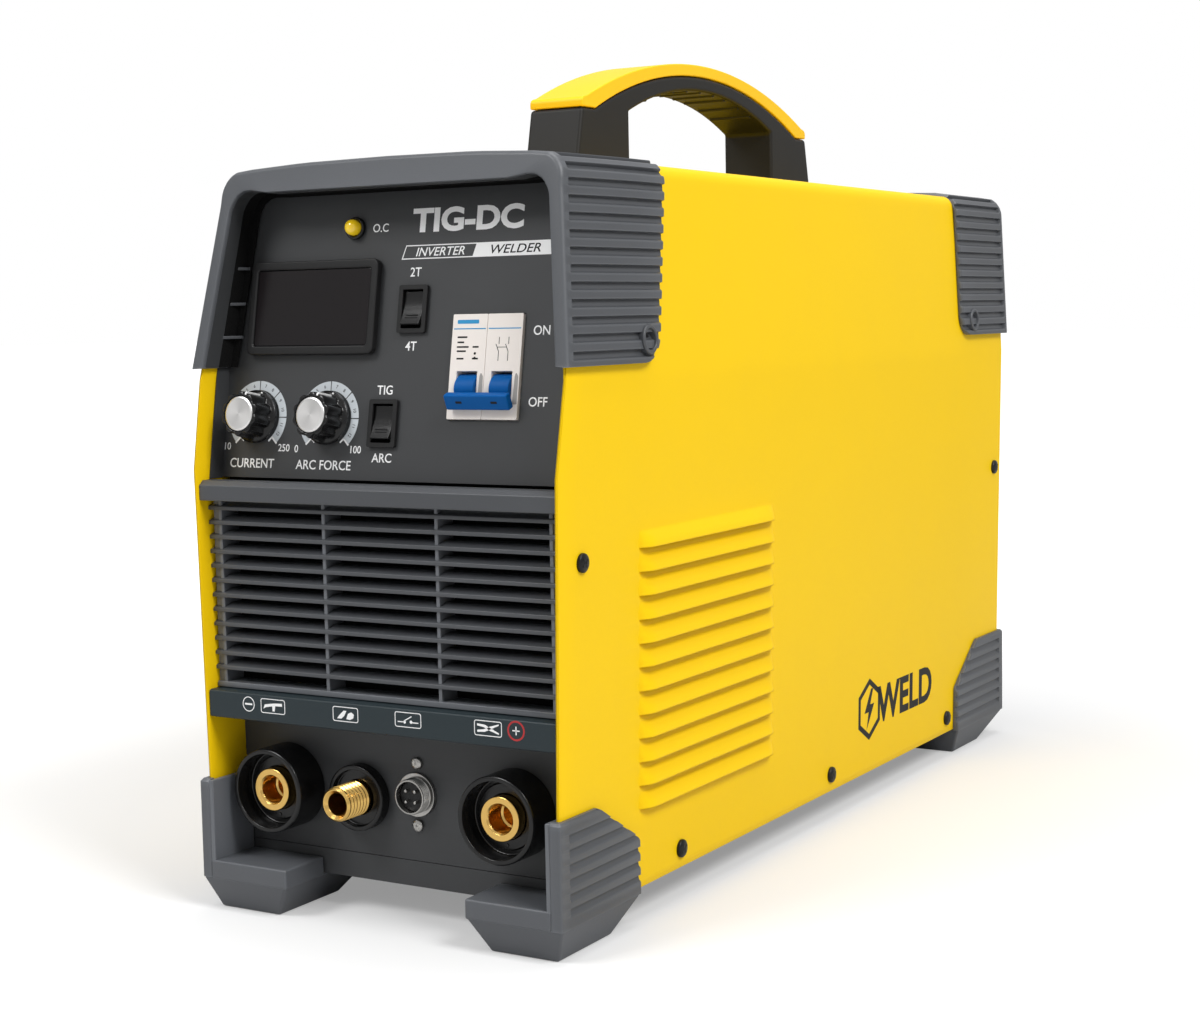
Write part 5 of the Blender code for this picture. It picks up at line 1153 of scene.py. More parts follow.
@dataclass
class Foot:
    """A moulded corner foot."""

    name: str
    side: int
    at_front: bool
    wall: float = 3.6 * MM
    inner_x: float = 48 * MM
    shelf_z: float = 23 * MM
    rib_pitch: float = 6.2 * MM
    rib_depth: float = 1.3 * MM
    rib_low: float = 17 * MM

    def end(self) -> float:
        """Depth of the foot's outer end."""
        return -4 * MM if self.at_front else BODY_DEPTH + 4 * MM

    def profile(self) -> tuple[Point, ...]:
        """The wall's upper edge: (distance in from the end, height)."""
        if self.at_front:
            return (mm(0, 60), mm(32, 60), mm(66.5, 39.5))
        return (mm(0, 65), mm(45, 65), mm(78.5, 40.8))

    def at(self, x: float, inward: float, z: float) -> Vector:
        """A point of the foot from its distance across, in from the end, and up."""
        way = 1 if self.at_front else -1
        return Vector((self.side * x, FRONT + self.end() + way * inward, z))

    def back_edge(self, z: float) -> float:
        """How far in the wall reaches at a height."""
        flat, far = self.profile()[1], self.profile()[2]
        if z <= far[1]:
            return far[0]
        return far[0] + (flat[0] - far[0]) * (z - far[1]) / (flat[1] - far[1])

    def rib(self, z: float) -> float:
        """How deep the wall's side is cut in at a height."""
        top = self.profile()[0][1] - 3 * MM
        if z < self.rib_low or z > top:
            return 0.0
        share = ((z - self.rib_low) / self.rib_pitch) % 1.0
        knots = ((0.0, 0.0), (0.1, 0.0), (0.38, 0.0), (0.5, 0.2), (0.62, 0.75), (0.9, 1.0), (0.95, 0.9), (1.0, 0.0))
        for (a, low), (b, high) in zip(knots, knots[1:]):
            if share <= b:
                return self.rib_depth * (low + (high - low) * (share - a) / (b - a))
        return 0.0

    def levels(self) -> list[float]:
        """Heights of the wall's rows."""
        top = self.profile()[0][1]
        rows = [14.7 * MM, 15.2 * MM, 16.4 * MM]
        count = int((top - 3 * MM - self.rib_low) / self.rib_pitch) + 1
        for index in range(count):
            for share in (0.001, 0.1, 0.38, 0.5, 0.62, 0.9, 0.95):
                z = self.rib_low + (index + share) * self.rib_pitch
                if z < top - 3 * MM:
                    rows.append(z)
        return rows + [top - 2.6 * MM, top - 1.2 * MM, top - 0.4 * MM, top]

    def wall_row(self, z: float) -> list[Vector]:
        """The wall's section at a height: a post round the cover's edge and a ribbed side."""
        outer = half_width(BASE_Z) + self.wall
        top = self.profile()[0][1]
        pull = max(0.0, z - (top - 1.2 * MM)) * 0.8
        deep = self.rib(z)
        back = self.back_edge(min(z, top)) - pull
        inside = half_width(z) + GAP
        post = half_width(BASE_Z) - 2 * MM
        clear = 3.7 * MM
        start = pull
        return [
            self.at(post, start + 0.5 * MM, z),
            self.at(post, clear, z),
            self.at(inside, clear, z),
            self.at(inside, back, z),
            self.at(outer - 1.2 * MM - deep * 0.6, back, z),
            self.at(outer - 0.35 * MM - deep, back - 0.35 * MM, z),
            self.at(outer - deep - pull, back - 1.2 * MM, z),
            self.at(outer - deep - pull, back * 0.5, z),
            self.at(outer - deep - pull, 7.6 * MM, z),
            self.at(outer - pull, 6.8 * MM, z),
            self.at(outer - pull, start + 1.4 * MM, z),
            self.at(outer - 0.4 * MM - pull, start + 0.4 * MM, z),
            self.at(outer - 1.4 * MM - pull, start, z),
            self.at(post + 0.5 * MM, start, z),
        ]

    def add_block(self, shape: Shape, near: Sequence[float], far: Sequence[float], edge: float) -> None:
        """Adds a block between two corners of the foot."""
        corners = [sorted(pair) for pair in zip(self.at(*near), self.at(*far))]
        shape.box([c[0] for c in corners], [c[1] for c in corners], HERE, edge)

    def build(self) -> None:
        """Makes the foot's wall, shelf and pad."""
        shape = Shape()
        shape.lofted([self.wall_row(z) for z in self.levels()])
        outer = half_width(BASE_Z) + self.wall
        if self.at_front:
            inner = half_width(BASE_Z) - SHEET - GAP
            self.add_block(shape, (inner - 2.4 * MM, 0.3 * MM, 15 * MM), (inner, 27.5 * MM, 59.6 * MM), 0.5 * MM)
        length = self.profile()[2][0]
        shelf_in = 27.7 * MM if self.at_front else 12.2 * MM
        far_corner = (half_width(BASE_Z) - 1.8 * MM, shelf_in, self.shelf_z)
        self.add_block(shape, (self.inner_x, 0, 14.2 * MM), far_corner, MM)
        near, far = mm(6, 49) if self.at_front else mm(31, 72)
        part = bmesh.new()
        bmesh.ops.create_cube(part, size=1)
        for vert in part.verts:
            inner, front, top = vert.co.x < 0, vert.co.y < 0, vert.co.z > 0
            if top:
                vert.co = self.at(self.inner_x if inner else outer, 0 if front else length, 15.2 * MM)
            else:
                x = self.inner_x + 9 * MM if inner else outer - 6 * MM
                vert.co = self.at(x, near if front else far, 0.0)
        shape.take(part, HERE, 1.3 * MM)
        settle(shape, self.name, GREY, replaced=(self.name,))


# ---- front


@dataclass
class ControlPanel:
    """The leaning panel with its printed marks."""

    words: tuple[tuple[str, float, float, float], ...] = (
        ("2T", 6.2, 91.4, 3.9), ("4T", 6.4, 59.0, 3.9), ("TIG", -5.7, 39.8, 3.9), ("ARC", -4.9, 10.1, 3.9),
        ("ON", 72.9, 65.1, 3.9), ("OFF", 73.4, 35.0, 3.9), ("CURRENT", -77.1, 6.5, 4.1),
        ("ARC FORCE", -36.6, 6.4, 4.1), ("10", -92.0, 14.0, 3.2), ("250", -59.4, 13.7, 3.2),
        ("0", -52.3, 13.4, 3.2), ("100", -19.2, 13.5, 3.2), ("O.C", -14.5, 111.5, 3.6),
    )
    knobs: tuple[Point, ...] = (mm(-75.7, 27.4), mm(-35.3, 27.2))
    fold: float = 8.5 * MM

    def build(self) -> None:
        """Dresses the panel and prints its words, title, banner and dials."""
        dress("control_panel", PANEL_AND_SHADE_GREY)
        white = Shape()
        for words, u, v, height in self.words:
            white.text(words, height * MM, on_panel((u * MM, v * MM)), bold=0.012, wide=0.96)
        white.text("TIG-DC", 9.6 * MM, on_panel(mm(31.3, 114.0)), bold=0.055, wide=1.22)
        low, high = 97 * MM, 103.2 * MM
        slant = 2 * MM
        left, split, right, rim = -2 * MM, 35.5 * MM, 77 * MM, 0.45 * MM
        frame_out = [(left, low), (split, low), (split + slant, high), (left + slant, high)]
        frame_in = [
            (left + 1.4 * rim, low + rim), (split - 0.6 * rim, low + rim),
            (split + slant - 1.4 * rim, high - rim), (left + slant + 0.6 * rim, high - rim),
        ]
        white.inked(on_panel((0, 0)), frame_out, frame_in)
        white.inked(on_panel((0, 0)), [(split, low), (right, low), (right + slant * 0.6, high), (split + slant, high)])
        white.text("INVERTER", 3.7 * MM, on_panel(mm(18.2, 100.1)), bold=0.01, slant=0.25, wide=1.08)
        dark = Shape()
        dark.text("WELDER", 3.7 * MM, on_panel(mm(57.0, 100.1), INK), bold=0.01, slant=0.25, wide=1.25)
        self.flanges()
        silver = Shape()
        for knob in self.knobs:
            self.add_dial(silver, white, dark, knob)
        settle(white, "panel_lettering", INK_WHITE)
        settle(silver, "dial_scales", INK_SILVER)
        settle(dark, "dial_marks", DARK_PRINT_AND_SHADE)

    def flanges(self) -> None:
        """Makes the panel's folded edges, which lie along the cover below the bezel."""
        shape = Shape()
        for side in (1, -1):
            rows = []
            for z in mm(195.6, 220, 245.5):
                edge = half_width(z) - SHEET - GAP
                face = FRONT + PANEL_DEPTH + 0.2 * MM + (z - PANEL_FOOT) * tan(LEAN)
                section = ((0.0, 0.0), (0.0, self.fold), (0.5 * MM, self.fold), mm(0.5, 0))
                rows.append([Vector((side * (edge - inward), face - proud, z)) for inward, proud in section])
            shape.lofted(rows)
        settle(shape, "panel_flanges", PANEL_AND_SHADE_GREY)

    def add_dial(self, silver: Shape, white: Shape, dark: Shape, knob: Point) -> None:
        """Prints one knob's scale: six numbered fields and their end marks."""
        place = on_panel(knob)
        starts = range(-135, 135, 45)
        for start in starts:
            silver.inked(place, ring_sector(12.3 * MM, 16.4 * MM, start + 1, start + 44))
        for index, start in enumerate(starts):
            for step in (0.3, 0.7):
                turn = radians(start + 45 * step)
                spot = place @ moved(14.4 * MM * sin(turn), 14.4 * MM * cos(turn), INK)
                dark.text(str(1 + 2 * index + round(step)), 1.5 * MM, spot @ spun(-turn))
        tick = slab(mm(0.9, 4.4))
        for turn in (-135, 135):
            angle = radians(turn)
            spot = place @ spun(-angle) @ moved(0, 14.6 * MM)
            white.inked(spot, tick)
            foot = spot @ moved(copysign(1.3, turn) * MM, -1.9 * MM) @ spun(pi / 2)
            white.inked(foot, slab(mm(0.8, 2.6)))


@dataclass
class Display:
    """The meter: a raised frame with a smoked window."""

    at: Point = mm(-47.1, 76.3)
    size: Point = mm(70.8, 42.2)
    window: Point = mm(63.7, 34.5)
    proud: float = 4 * MM

    def build(self) -> None:
        """Makes the frame and the window."""
        shape = Shape()
        rim_in = (self.window[0] - 0.2 * MM, self.window[1] - 0.2 * MM)
        loops = [slab(self.size, radius=3 * MM), slab(rim_in, radius=1.2 * MM)]
        shape.plate(loops, 0.3 * MM, self.proud, on_panel(self.at), 0.8 * MM, 4)
        spigot = [slab(self.window), slab((self.window[0] - 3.2 * MM, self.window[1] - 3.2 * MM))]
        shape.plate(spigot, -9 * MM, 1.1 * MM, on_panel(self.at), 0.2 * MM, 2)
        settle(shape, "display_frame_detail", SATIN_BLACK, replaced=("display_frame",))
        glass = Shape()
        pane = (self.window[0] - 0.6 * MM, self.window[1] - 0.6 * MM)
        glass.plate([slab(pane, radius=MM)], 1.5 * MM, 3.2 * MM, on_panel(self.at), 0.25 * MM, 2)
        settle(glass, "display_window_detail", SMOKED, replaced=("display_window",))


@dataclass
class Lamp:
    """The amber lamp in its black holder."""

    at: Point = mm(-27.7, 111.6)

    def build(self) -> None:
        """Makes the holder and the lens."""
        place = on_panel(self.at)
        holder = Shape()
        bezel = [
            mm(3.2, 1.2), mm(3.75, 1.6), mm(4.2, 2.2, 0.2), mm(5.0, 1.8, 0.5), mm(5.0, 0.3), mm(4.0, 0.3),
            mm(4.0, -8), mm(3.2, -8),
        ]
        holder.turned(eased(bezel, steps=3), place, 48, closed=True)
        settle(holder, "indicator_holder_detail", BLACK, replaced=("indicator_holder",))
        lens = Shape()
        dome = [(3.5 * MM * sin(t), 3.5 * MM + 3.2 * MM * cos(t)) for t in [k * pi / 20 for k in range(11)]]
        profile = [(0.0, dome[0][1])] + dome[1:] + [mm(3.5, 2.4), mm(2.9, 2.2), mm(2.9, -8), mm(0, -8)]
        lens.turned(profile, place, 40)
        settle(lens, "indicator_lens_detail", AMBER, replaced=("indicator_lens",))


@dataclass
class Knob:
    """A lobed knob with a skirt, a white pointer and a turned metal cap."""

    name: str
    at: Point
    lobes: int = 10
    body_r: float = 10.4 * MM
    skirt_r: float = 12 * MM
    lift: float = MM
    tall: float = 12.5 * MM
    cap_r: float = 7.8 * MM
    lobe_depth: float = 1.3 * MM
    steps: int = 144

    def row(self, radius: float, height: float, lobed: float) -> list[Vector]:
        """One ring of the knob's skin, scalloped by a share of the lobes' depth."""
        made = []
        for k in range(self.steps):
            turn = tau * k / self.steps
            wave = (0.5 + 0.5 * cos(self.lobes * turn)) ** 1.4
            reach = radius - self.lobe_depth * lobed * wave
            made.append(Vector((reach * cos(turn), reach * sin(turn), height)))
        return made

    def build(self) -> None:
        """Makes the knob's body, pointer and cap."""
        place = on_panel(self.at)
        low, top = self.lift, self.lift + self.tall
        seat = top - 1.2 * MM
        skirt = [
            (3.05 * MM, low + 6 * MM, 0), (6.9 * MM, low + 6 * MM, 0), (6.9 * MM, low, 0),
            (self.skirt_r - 0.3 * MM, low, 0), (self.skirt_r, low + 0.3 * MM, 0), (self.skirt_r, low + 1.5 * MM, 0),
            (self.skirt_r - 0.5 * MM, low + 2.1 * MM, 0), (self.body_r + 0.5 * MM, low + 2.4 * MM, 0.0),
            (self.body_r + 0.15 * MM, low + 2.9 * MM, 0.6), (self.body_r, low + 4 * MM, 1.0),
            (self.body_r - 0.1 * MM, low + 8 * MM, 1.0),
            (self.body_r - 0.2 * MM, top - 0.9 * MM, 1.0), (self.body_r - 0.5 * MM, top - 0.25 * MM, 1.0),
            (self.body_r - 1.1 * MM, top, 0.8), (self.cap_r + MM, top, 0.1),
            (self.cap_r + 0.5 * MM, top - 0.15 * MM, 0),
            (self.cap_r + 0.3 * MM, seat, 0), (0.0, seat, 0),
        ]
        body = Shape()
        rows = [[place @ p for p in self.row(r, h, lobed)] for r, h, lobed in skirt]
        body.lofted(rows, capped=False)
        spindle = [(0, low + 6.2 * MM), (3 * MM, low + 6.2 * MM), mm(3, -13), mm(0, -13)]
        body.turned(spindle, place, 24)
        node = self.name + "_knob"
        settle(body, node + "_body", BLACK, node, replaced=(node,))
        mark = Shape()
        turn = place @ spun(radians(-20))
        mark.box(
            (-0.45 * MM, self.cap_r + 1.2 * MM, top - 0.2 * MM),
            (0.45 * MM, self.body_r - 0.4 * MM, top + 0.04 * MM), turn,
        )
        mark.box(
            (-0.45 * MM, self.body_r - 0.6 * MM, low + 3.2 * MM),
            (0.45 * MM, self.body_r + 0.04 * MM, top - 0.2 * MM), turn,
        )
        mark.box(
            (-0.45 * MM, self.body_r + 0.2 * MM, low + 1.4 * MM),
            (0.45 * MM, self.skirt_r - 0.4 * MM, low + 2.35 * MM), turn,
        )
        settle(mark, node + "_pointer", INK_WHITE, node)
        cap = Shape()
        face = [
            (0, top + 0.12 * MM), (self.cap_r - 1.6 * MM, top + 0.2 * MM),
            (self.cap_r - 0.9 * MM, top + 0.3 * MM, 0.2 * MM),
        ]
        face += [(self.cap_r, top - 0.1 * MM, 0.3 * MM), (self.cap_r, seat + 0.3 * MM), (0, seat + 0.3 * MM)]
        cap.turned(eased(face, steps=4, closed=False), place, 96)
        settle(cap, node + "_cap_detail", CAP_METAL, node, (node + "_cap",), place)
        dress(self.name + "_potentiometer", NICKEL, place)


@dataclass
class Rocker:
    """A rocker switch: its frame and its dished rocker, pressed in at the top."""

    name: str
    at: Point
    half: float = 7.6 * MM
    tip: float = 3.2 * MM

    def build(self) -> None:
        """Makes the frame and the rocker."""
        place = on_panel(self.at)
        casing = Shape()
        well = slab(mm(10.7, 17.1), radius=0.4 * MM)
        casing.plate([slab(mm(15, 21), radius=MM), well], 0.3 * MM, 1.8 * MM, place, 0.45 * MM, 3)
        casing.plate([slab(mm(13, 19)), slab(mm(10.7, 17.1))], -12 * MM, 0.9 * MM, place, 0.1 * MM, 1)
        casing.box(mm(-6.4, -9.4, -12.5), mm(6.4, 9.4, -9.2), place)
        settle(casing, self.name + "_switch_casing", SATIN_BLACK, replaced=(self.name + "_switch_frame",))
        pivot = on_panel(self.at, -1.2 * MM) @ spun(radians(-11), "X")
        tip = self.tip
        outline = [(-self.half, tip, 0.5 * MM)]
        outline += [(v * MM, tip - 1.15 * MM * cos(v / 7.6 * pi / 2) ** 0.8, 0) for v in (-6, -4.5, -3, -1.5)]
        outline += [(-0.35 * MM, tip * 0.66, 0), (0.35 * MM, tip * 0.66, 0)]
        outline += [(v * MM, tip - 1.15 * MM * cos(v / 7.6 * pi / 2) ** 0.8, 0) for v in (1.5, 3, 4.5, 6)]
        outline += [(self.half, tip, 0.5 * MM), (self.half, tip - 2.2 * MM, 0), mm(2.5, -5, 0), mm(-2.5, -5, 0)]
        outline += [(-self.half, tip - 2.2 * MM, 0)]
        profile = [(v, w) for v, w in eased(outline, steps=3)]
        standing = pivot @ ON_EDGE
        rocker = Shape()
        rocker.plate([profile], -5 * MM, 5 * MM, standing, 0.3 * MM, 2)
        rocker.turned([mm(0, -5.8), mm(1, -5.8), mm(1, 5.8), mm(0, 5.8)], standing, 16)
        for rise in mm(-4.4, -3.2):
            rocker.box(
                (-3.2 * MM, rise - 0.25 * MM, tip - MM), (3.2 * MM, rise + 0.25 * MM, tip - 0.45 * MM), pivot,
                0.15 * MM,
            )
        settle(rocker, self.name + "_rocker_detail", BLACK, self.name + "_rocker", (self.name + "_rocker",))


@dataclass
class Breaker:
    """The two-pole circuit breaker and its tied blue handles."""

    at: Point = mm(46.5, 49.7)
    nose: Point = mm(35.5, 45)
    proud: float = 1.5 * MM
    axle_deep: float = 5 * MM
    drum_r: float = 7 * MM
    bar: Point = mm(8.7, 12.3)

    def drums(self) -> tuple[float, float]:
        """Middle of each drum, across from the breaker's middle."""
        return -self.nose[0] / 4, self.nose[0] / 4

    def build(self) -> None:
        """Makes the body, its marks and the handles."""
        half_u, half_v = self.nose[0] / 2, self.nose[1] / 2
        low = -9.5 * MM
        slots = [slab(mm(10.5, 15.2), (m, low), 0.3 * MM) for m in self.drums()]
        body = Shape()
        for index, side in enumerate((-1, 1)):
            inner, outer = side * 0.12 * MM, side * half_u
            left, right = sorted((inner, outer))
            outline = eased([(left, -half_v), (right, -half_v), (right, half_v), (left, half_v)], 0.5 * MM, 3)
            body.plate([outline, slots[index]], -11 * MM, self.proud, on_panel(self.at), 0.35 * MM, 2)
            body.box((left, -40 * MM, -58 * MM), (right, 40 * MM, -17 * MM), on_panel(self.at), 0.3 * MM)
            body.box((left, -40 * MM, -17 * MM), (right, -half_v + 3 * MM, -2.8 * MM), on_panel(self.at), 0.3 * MM)
            body.box((left, half_v - 14 * MM, -17 * MM), (right, 40 * MM, -2.8 * MM), on_panel(self.at), 0.3 * MM)
        settle(body, "breaker_case", WHITE, replaced=("breaker_body",))
        # flat grey marks beside each drum slot: painted shade of the grooves
        shade = Shape()
        for middle in self.drums():
            edge = middle + 5.25 * MM + 0.9 * MM
            groove = [
                (edge, -16 * MM), (edge + 2.3 * MM, -16 * MM), (edge + 2.2 * MM, -4.2 * MM),
                (edge + MM, -2.2 * MM), (edge + 0.5 * MM, -4.2 * MM),
            ]
            shade.plate([eased(groove, 0.4 * MM, 3)], self.proud - 0.02 * MM, self.proud + 0.05 * MM, on_panel(self.at))
        settle(shade, "breaker_groove_shade", GROOVE_SHADE_GREY)
        self.marks()
        self.handles()

    def marks(self) -> None:
        """Prints the blue line and a plain wiring diagram."""
        blue, dark = Shape(), Shape()
        face = on_panel(self.at, self.proud)
        for side in (-1, 1):
            middle = side * self.nose[0] / 4
            blue.inked(face, slab(mm(16.2, 0.45), (middle, 16.2 * MM)))
        blue.inked(face, slab(mm(11, 1.7), (-self.nose[0] / 4 - MM, 19.2 * MM), 0.5 * MM))
        left = -self.nose[0] / 4
        for wide, at, v in (
            (5, -3.5, 12.6), (3.4, -4.2, 10.4), (6, -3, 8.4), (4.6, -3.6, 6.6), (3, 3.6, 8.4), (3, 3.6, 3.4),
            (3.6, -4, 3.4),
        ):
            dark.inked(face, slab((wide * MM, 0.7 * MM), (left + at * MM, v * MM)))
        for v in (5.6, 3.6):
            dark.inked(face, circle(0.6 * MM, 16, (left + 3.4 * MM, v * MM)))
        right = self.nose[0] / 4
        for offset in (-2.4, 2.4):
            dark.inked(face, slab(mm(0.3, 3), (right + offset * MM, 11 * MM)))
            dark.inked(face, slab(mm(0.3, 4), (right + offset * MM, 4.4 * MM)))
            swing = face @ moved(right + offset * MM - 0.8 * MM, 8 * MM) @ spun(0.45)
            dark.inked(swing, slab(mm(0.3, 3.4)))
        dark.inked(face, slab(mm(4.4, 0.25), (right - 0.9 * MM, 8.2 * MM)))
        settle(blue, "breaker_blue_marks", INK_BLUE)
        settle(dark, "breaker_dark_marks", DARK_PRINT_AND_SHADE)

    def handles(self) -> None:
        """Makes the two drums, their levers and the tie bar, as one moving piece."""
        axle = on_panel((self.at[0], self.at[1] - 9.5 * MM), self.proud - self.axle_deep)
        off = axle @ spun(radians(33), "X")
        shape = Shape()
        spin = spun(pi / 2, "Y")
        for middle in self.drums():
            drum = [mm(0, -4.95), (self.drum_r, -4.95 * MM, 0.4 * MM), (self.drum_r, 4.95 * MM, 0.4 * MM), mm(0, 4.95)]
            shape.turned(eased(drum, steps=3, closed=False), axle @ moved(middle, 0) @ spin, 48)
            lever = [mm(-2.4, 0), mm(2.4, 0), mm(2.0, 11), mm(-2.0, 11)]
            side = off @ moved(middle, 0) @ ON_EDGE
            shape.plate([lever], -4.6 * MM, 4.6 * MM, side, 0.5 * MM)
        shape.turned([mm(0, -16), mm(1.5, -16), mm(1.5, 16), mm(0, 16)], axle @ spin, 20)
        low, high = self.bar
        shape.box((-15.6 * MM, -3.5 * MM, low), (16.4 * MM, 3.5 * MM, high), off, 0.8 * MM)
        settle(shape, "breaker_handles", BLUE, "breaker_toggle", ("breaker_toggle",))
        # dark marks on the tie bar's top: painted shade of its slots
        slots = Shape()
        for middle in self.drums():
            slots.plate(
                [slab(mm(3.2, 1.1), (middle + 0.6 * MM, 0.2 * MM), 0.3 * MM)], high - 0.05 * MM,
                high + 0.04 * MM, off,
            )
        settle(slots, "breaker_handle_slot_shade", DARK_PRINT_AND_SHADE, "breaker_toggle")


@dataclass
class Grille:
    """The slatted air intake with its ledge."""

    top: float = 195.3 * MM
    foot: float = 100.9 * MM
    face: float = 7 * MM
    deep: float = 12 * MM
    ledge: float = 9 * MM
    slats: int = 12
    pitch: float = 6.6 * MM
    bars: tuple[float, ...] = mm(-88, -29.5, 30.7, 88)

    def edge(self, z: float) -> float:
        """Half of the grille's width at a height."""
        return half_width(z) - SHEET - GAP

    def build(self) -> None:
        """Makes the ledge, slats, bars and the blank ends."""
        shape = Shape()
        top_edge = self.edge(self.top)
        ledge_low = self.top - self.ledge
        nose = [
            (MM, ledge_low, 0.6 * MM), (self.face + 3 * MM, ledge_low, 0), (self.face + 3 * MM, self.top, 0),
            (3.4 * MM, self.top, 0.8 * MM), (MM, self.top - 2.2 * MM, MM),
        ]
        outline = eased(nose, steps=4)
        shape.plate([outline], -top_edge, top_edge, SIDEWAYS, 0.2 * MM, 2)
        for index in range(self.slats):
            z = ledge_low - 3 * MM - index * self.pitch
            edge = self.edge(z) - 0.05 * MM
            blade = [
                (self.face - 0.6 * MM, z - 1.7 * MM, 0.3 * MM), (self.face - 0.6 * MM, z + 0.1 * MM, 0.6 * MM),
                (self.face + 4.5 * MM, z + 2 * MM, 0.5 * MM), (self.face + self.deep, z + 2 * MM, 0),
                (self.face + self.deep, z - 0.2 * MM, 0), (self.face + 5 * MM, z - 0.6 * MM, 0.5 * MM),
            ]
            shape.plate([eased(blade, steps=3)], -edge, edge, SIDEWAYS)
        face, over = FRONT + self.face, ledge_low + MM
        for bar in self.bars:
            bar_half = 0.9 * MM
            reach = self.edge(self.foot) - 0.1 * MM
            if abs(bar) > 80 * MM:
                left, right = sorted((copysign(reach, bar), bar))
                shape.box((left, face + 1.2 * MM, self.foot), (right, face + 9 * MM, over), HERE)
            front = face + (0.2 if abs(bar) > 80 * MM else 0.3) * MM
            shape.box((bar - bar_half, front, self.foot), (bar + bar_half, face + self.deep, over), HERE, 0.3 * MM)
        edge = self.edge(self.foot) - 0.05 * MM
        shape.box((-edge, face - 0.4 * MM, self.foot), (edge, face + self.deep, self.foot + 2.6 * MM), HERE, 0.4 * MM)
        settle(shape, "intake_grille", GREY, replaced=("front_grille",))
        # a black sheet behind the slats: painted shade inside the intake
        intake_shade_sheet = Shape()
        back = face + self.deep + 0.3 * MM
        intake_shade_sheet.box((-edge, back, self.foot - 6 * MM), (edge, back + 4 * MM, self.top + 6 * MM), HERE, 0.8 * MM)
        settle(intake_shade_sheet, "intake_painted_shade", SHADE_BLACK)


@dataclass
class SymbolStrip:
    """The strip over the sockets with its white symbols."""

    face: float = 0.5 * MM
    foot: float = 88 * MM
    top: float = 100.6 * MM

    def build(self) -> None:
        """Makes the strip and prints its symbols."""
        back, wall = 26 * MM, 2.5 * MM
        outline = [
            (self.face, self.foot, 1.2 * MM), (back, self.foot, 0), (back, self.foot + wall, 0),
            (self.face + wall, self.foot + wall, 0.4 * MM), (self.face + wall, self.top - wall, 0.4 * MM),
            (19 * MM, self.top - wall, 0), (19 * MM, self.top, 0), (self.face, self.top, 1.2 * MM),
        ]
        half = half_width(self.foot) - SHEET - GAP
        shape = Shape()
        shape.plate([eased(outline, steps=4)], -half, half, SIDEWAYS, 0.3 * MM, 2)
        settle(shape, "socket_strip", STRIP, replaced=("symbol_strip",))
        white, red = Shape(), Shape()
        self.symbols(white, red)
        settle(white, "strip_symbols", INK_WHITE)
        settle(red, "strip_red_ring", INK_RED)

    def spot(self, x: float, z: float) -> Matrix:
        """A place on the strip's face, millimetres across and up."""
        return facing_front(x * MM, self.face, z * MM)

    def frame_mark(self, shape: Shape, x: float, z: float) -> Matrix:
        """Prints a rounded frame and returns its place."""
        place = self.spot(x, z)
        shape.inked(place, slab(mm(13.8, 6.6), radius=1.1 * MM), slab(mm(13.1, 5.9), radius=0.8 * MM))
        return place

    def symbols(self, white: Shape, red: Shape) -> None:
        """Prints the minus, torch, gas, switch, clamp and plus symbols."""
        minus = self.spot(-69.4, 95.6)
        white.inked(minus, circle(3.4 * MM, 40), circle(3 * MM, 40))
        white.inked(minus, slab(mm(4.2, 0.8)))
        torch = self.frame_mark(white, -55.5, 95.6)
        body = [
            (-5.4, -1.4), (-4.6, 0.6), (0.8, 1.4), (5.2, 1.6), (5.2, 0.3), (1.4, 0.2), (0.9, -2.2),
            (-0.3, -2.2), (-0.4, 0), (-4.0, -0.6),
        ]
        white.inked(torch, scaled(body))
        gas = self.frame_mark(white, -15.1, 95.4)
        nozzle = [(-4.6, -2.0), (-3.2, -0.4), (-1.0, 1.6), (0.6, 1.6), (-0.6, -0.6), (-2.2, -2.0)]
        drop = [(0.4, -2.0), (1.4, 0.4), (3.2, 1.2), (4.6, 0.2), (4.2, -1.4), (2.4, -2.2)]
        white.inked(gas, scaled(nozzle))
        white.inked(gas, scaled(drop))
        switch = self.frame_mark(white, 18.3, 95.8)
        for u in (-3.8, 3.8):
            white.inked(switch, slab(mm(3.2, 0.45), (u * MM, -MM)))
        white.inked(switch, circle(0.7 * MM, 16, mm(-1.8, -1.0)))
        white.inked(switch, circle(0.7 * MM, 16, mm(1.6, -0.8)))
        white.inked(switch @ moved(0, 0.6 * MM) @ spun(0.5), slab(mm(4.2, 0.45)))
        clamp = self.frame_mark(white, 59.2, 95.7)
        jaw = [
            (-5.4, 1.8), (-1.6, 1.5), (1.2, 0.3), (5.4, -1.6), (5.4, -2.2), (1.0, -0.9), (-0.6, -0.1),
            (-2.4, 0.5), (-5.4, 0.9),
        ]
        white.inked(clamp, scaled(jaw))
        white.inked(clamp, [(u * MM, -v * MM) for u, v in jaw])
        plus = self.spot(73.1, 95.9)
        red.inked(plus, circle(4.3 * MM, 40), circle(3.5 * MM, 40))
        for turn in (0.0, pi / 2):
            white.inked(plus @ spun(turn), slab(mm(3.6, 0.5)))


# ---- connectors

CONNECTOR_Y = 24 * MM


